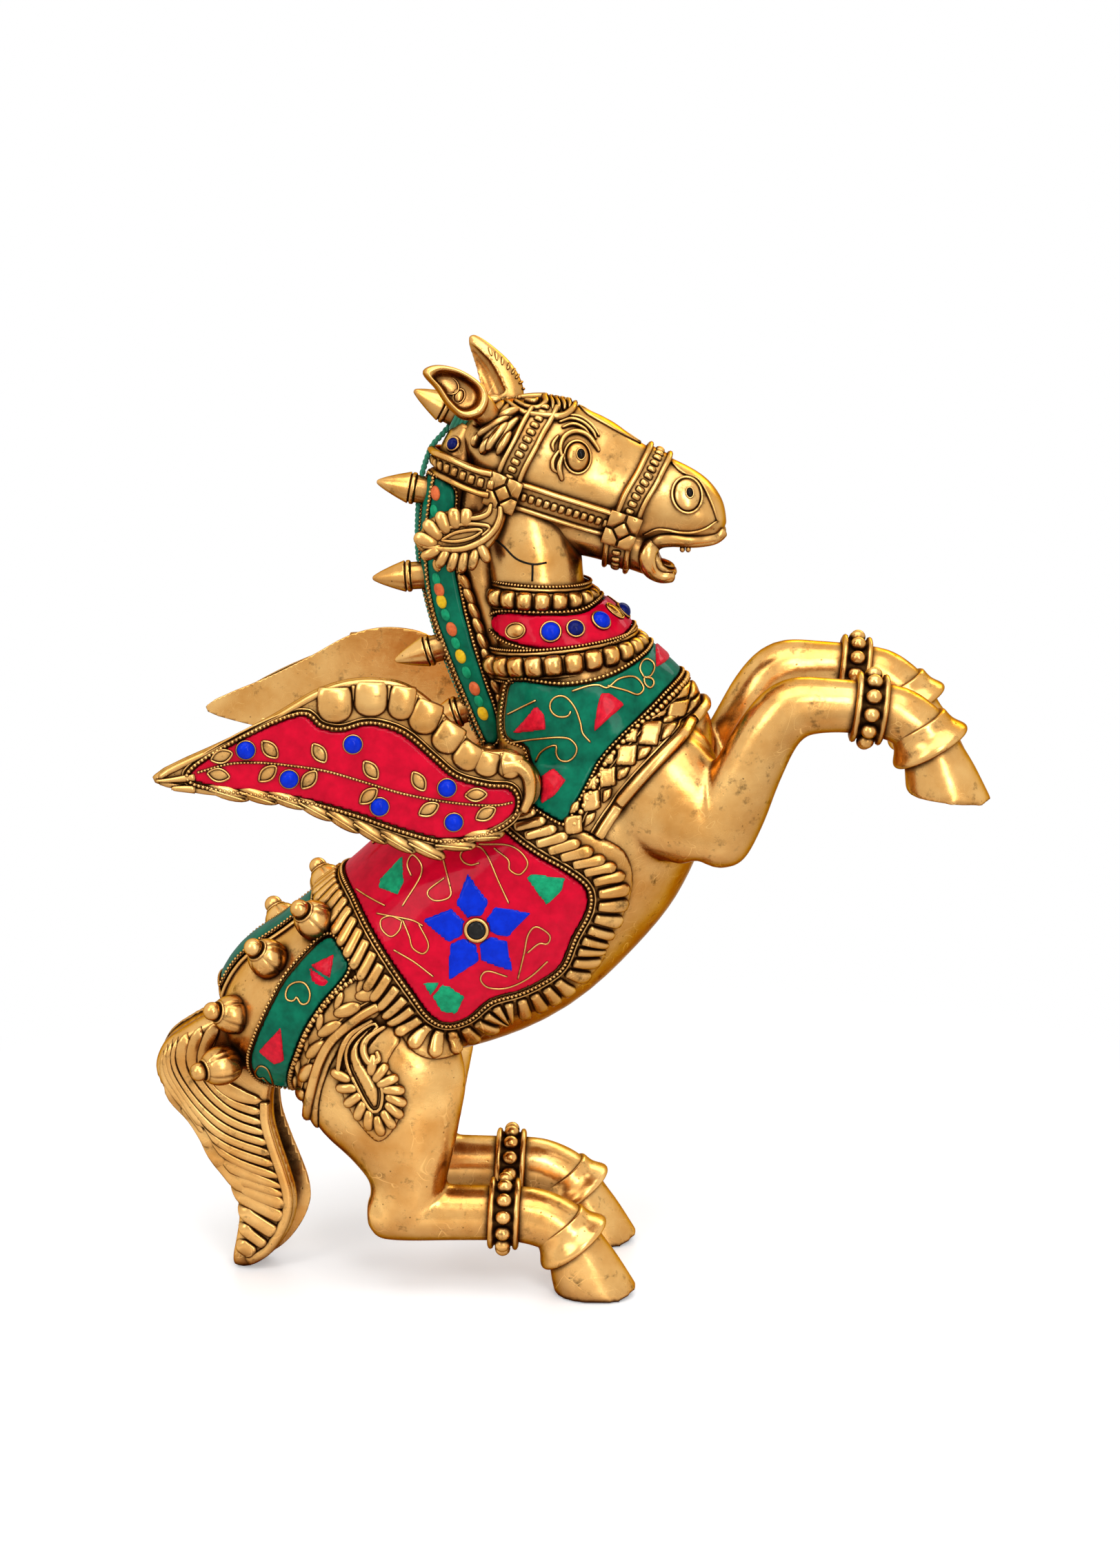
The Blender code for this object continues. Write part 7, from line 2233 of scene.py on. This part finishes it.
def make_camera():
    azimuth, elevation = math.radians(CAMERA_AZIMUTH), math.radians(CAMERA_ELEVATION)
    flat = math.cos(elevation)
    back = Vector((math.sin(azimuth) * flat, -math.cos(azimuth) * flat, math.sin(elevation)))
    camera = bpy.data.objects.new("camera", bpy.data.cameras.new("camera"))
    bpy.context.scene.collection.objects.link(camera)
    camera.data.sensor_width = SENSOR
    camera.data.lens = SENSOR * FOCAL_PIXELS / PHOTO_LONG_SIDE
    camera.data.clip_start = 0.01
    camera.location = MM * (Vector(CAMERA_TARGET) + CAMERA_DISTANCE * back)
    camera.rotation_mode = "QUATERNION"
    camera.rotation_quaternion = (-back).to_track_quat("-Z", "Y")
    bpy.context.scene.camera = camera


def soft_lamp(name, place, size, watts):
    lamp = bpy.data.lights.new(name, "AREA")
    lamp.shape = "RECTANGLE"
    lamp.size, lamp.size_y = size
    lamp.energy = watts
    obj = bpy.data.objects.new(name, lamp)
    bpy.context.scene.collection.objects.link(obj)
    obj.location = place
    obj.rotation_mode = "QUATERNION"
    obj.rotation_quaternion = (LAMP_AIM - Vector(place)).to_track_quat("-Z", "Y")


# The floor, in metres: radius, drop under the feet, the distances between which it fades to white, and its
# tone, roughness, sheen and own light
FLOOR_RADIUS, FLOOR_DROP, FLOOR_FADE = 0.9, 0.0002, (0.16, 0.34)
FLOOR_TONE, FLOOR_ROUGHNESS, FLOOR_SHEEN, FLOOR_LIFT = (0.90, 0.90, 0.90, 1), 0.32, 0.25, 0.30
# The sky's level from the nadir up
SKY_STOPS = ((0.0, 0.62), (0.35, 0.52), (0.65, 0.30), (1.0, 0.30))
# Lamps, in metres: place, size and watts, all aimed at the figure's middle
LAMP_AIM = Vector((0.0, 0.0, 0.16))
LAMPS = {
    "overhead": ((0.0, -0.3, 1.05), (1.1, 0.7), 5.6),
    "key": ((-0.75, -0.8, 0.75), (0.4, 0.6), 2.6),
    "front": ((0.25, -1.0, 0.9), (0.42, 0.36), 2.8),
    "strip": ((0.42, -1.0, 0.42), (0.2, 0.6), 2.4),
    "rim": ((0.35, 0.75, 0.7), (0.7, 0.3), 2.4),
}


def seen_directly(tree):
    """One for what the camera sees straight or in a reflection, else zero."""
    path = node(tree, "LightPath").outputs
    return calc(tree, "MAXIMUM", path["Is Camera Ray"], path["Is Glossy Ray"])


def make_floor():
    """A pale floor that keeps the figure's shadow and fades into the white background."""
    bm = bmesh.new()
    bmesh.ops.create_circle(bm, cap_ends=True, segments=96, radius=FLOOR_RADIUS)
    mesh = bpy.data.meshes.new("floor")
    bm.to_mesh(mesh)
    bm.free()
    floor = bpy.data.objects.new("floor", mesh)
    bpy.context.scene.collection.objects.link(floor)
    floor.location.z = -FLOOR_DROP
    look, tree, shader = look_of("floor_look")
    plug(tree, shader, Base_Color=FLOOR_TONE, Roughness=FLOOR_ROUGHNESS, Specular_IOR_Level=FLOOR_SHEEN)
    away = node(tree, "VectorMath", {"operation": "LENGTH"}, Vector=object_place(tree)).outputs["Value"]
    start, end = FLOOR_FADE
    smooth = {"interpolation_type": "SMOOTHSTEP"}
    fade = node(tree, "MapRange", smooth, Value=away, From_Min=start, From_Max=end)
    white = node(tree, "Emission", Color=WHITE, Strength=1.0)
    glow = calc(tree, "MULTIPLY", seen_directly(tree), FLOOR_LIFT)
    lift = node(tree, "Emission", Color=WHITE, Strength=glow)
    lit = node(tree, "AddShader", i0=shader.outputs[0], i1=lift.outputs[0])
    both = node(tree, "MixShader", i0=fade.outputs[0], i1=lit.outputs[0], i2=white.outputs[0])
    plug(tree, tree.nodes["Material Output"], Surface=both.outputs[0])
    mesh.materials.append(look)


def make_world():
    """White to the camera and in the metal; a dimmer sky lights the rest."""
    world = bpy.data.worlds.new("studio")
    bpy.context.scene.world = world
    world.use_nodes = True
    tree = world.node_tree
    tree.nodes.clear()
    height = node(tree, "SeparateXYZ", Vector=node(tree, "TexCoord").outputs["Generated"]).outputs["Z"]
    sky = ramp(tree, height, *SKY_STOPS)
    through = node(tree, "LightPath").outputs["Is Transmission Ray"]
    seen = calc(tree, "MAXIMUM", seen_directly(tree), through)
    light = node(tree, "Background", Color=mixed(tree, seen, sky, WHITE), Strength=1.0)
    node(tree, "OutputWorld", Surface=light.outputs[0])


def make_stage():
    make_camera()
    make_floor()
    make_world()
    for name, (place, size, watts) in LAMPS.items():
        soft_lamp(name, place, size, watts)
    bpy.context.scene.view_settings.view_transform = "Standard"


make_stage()
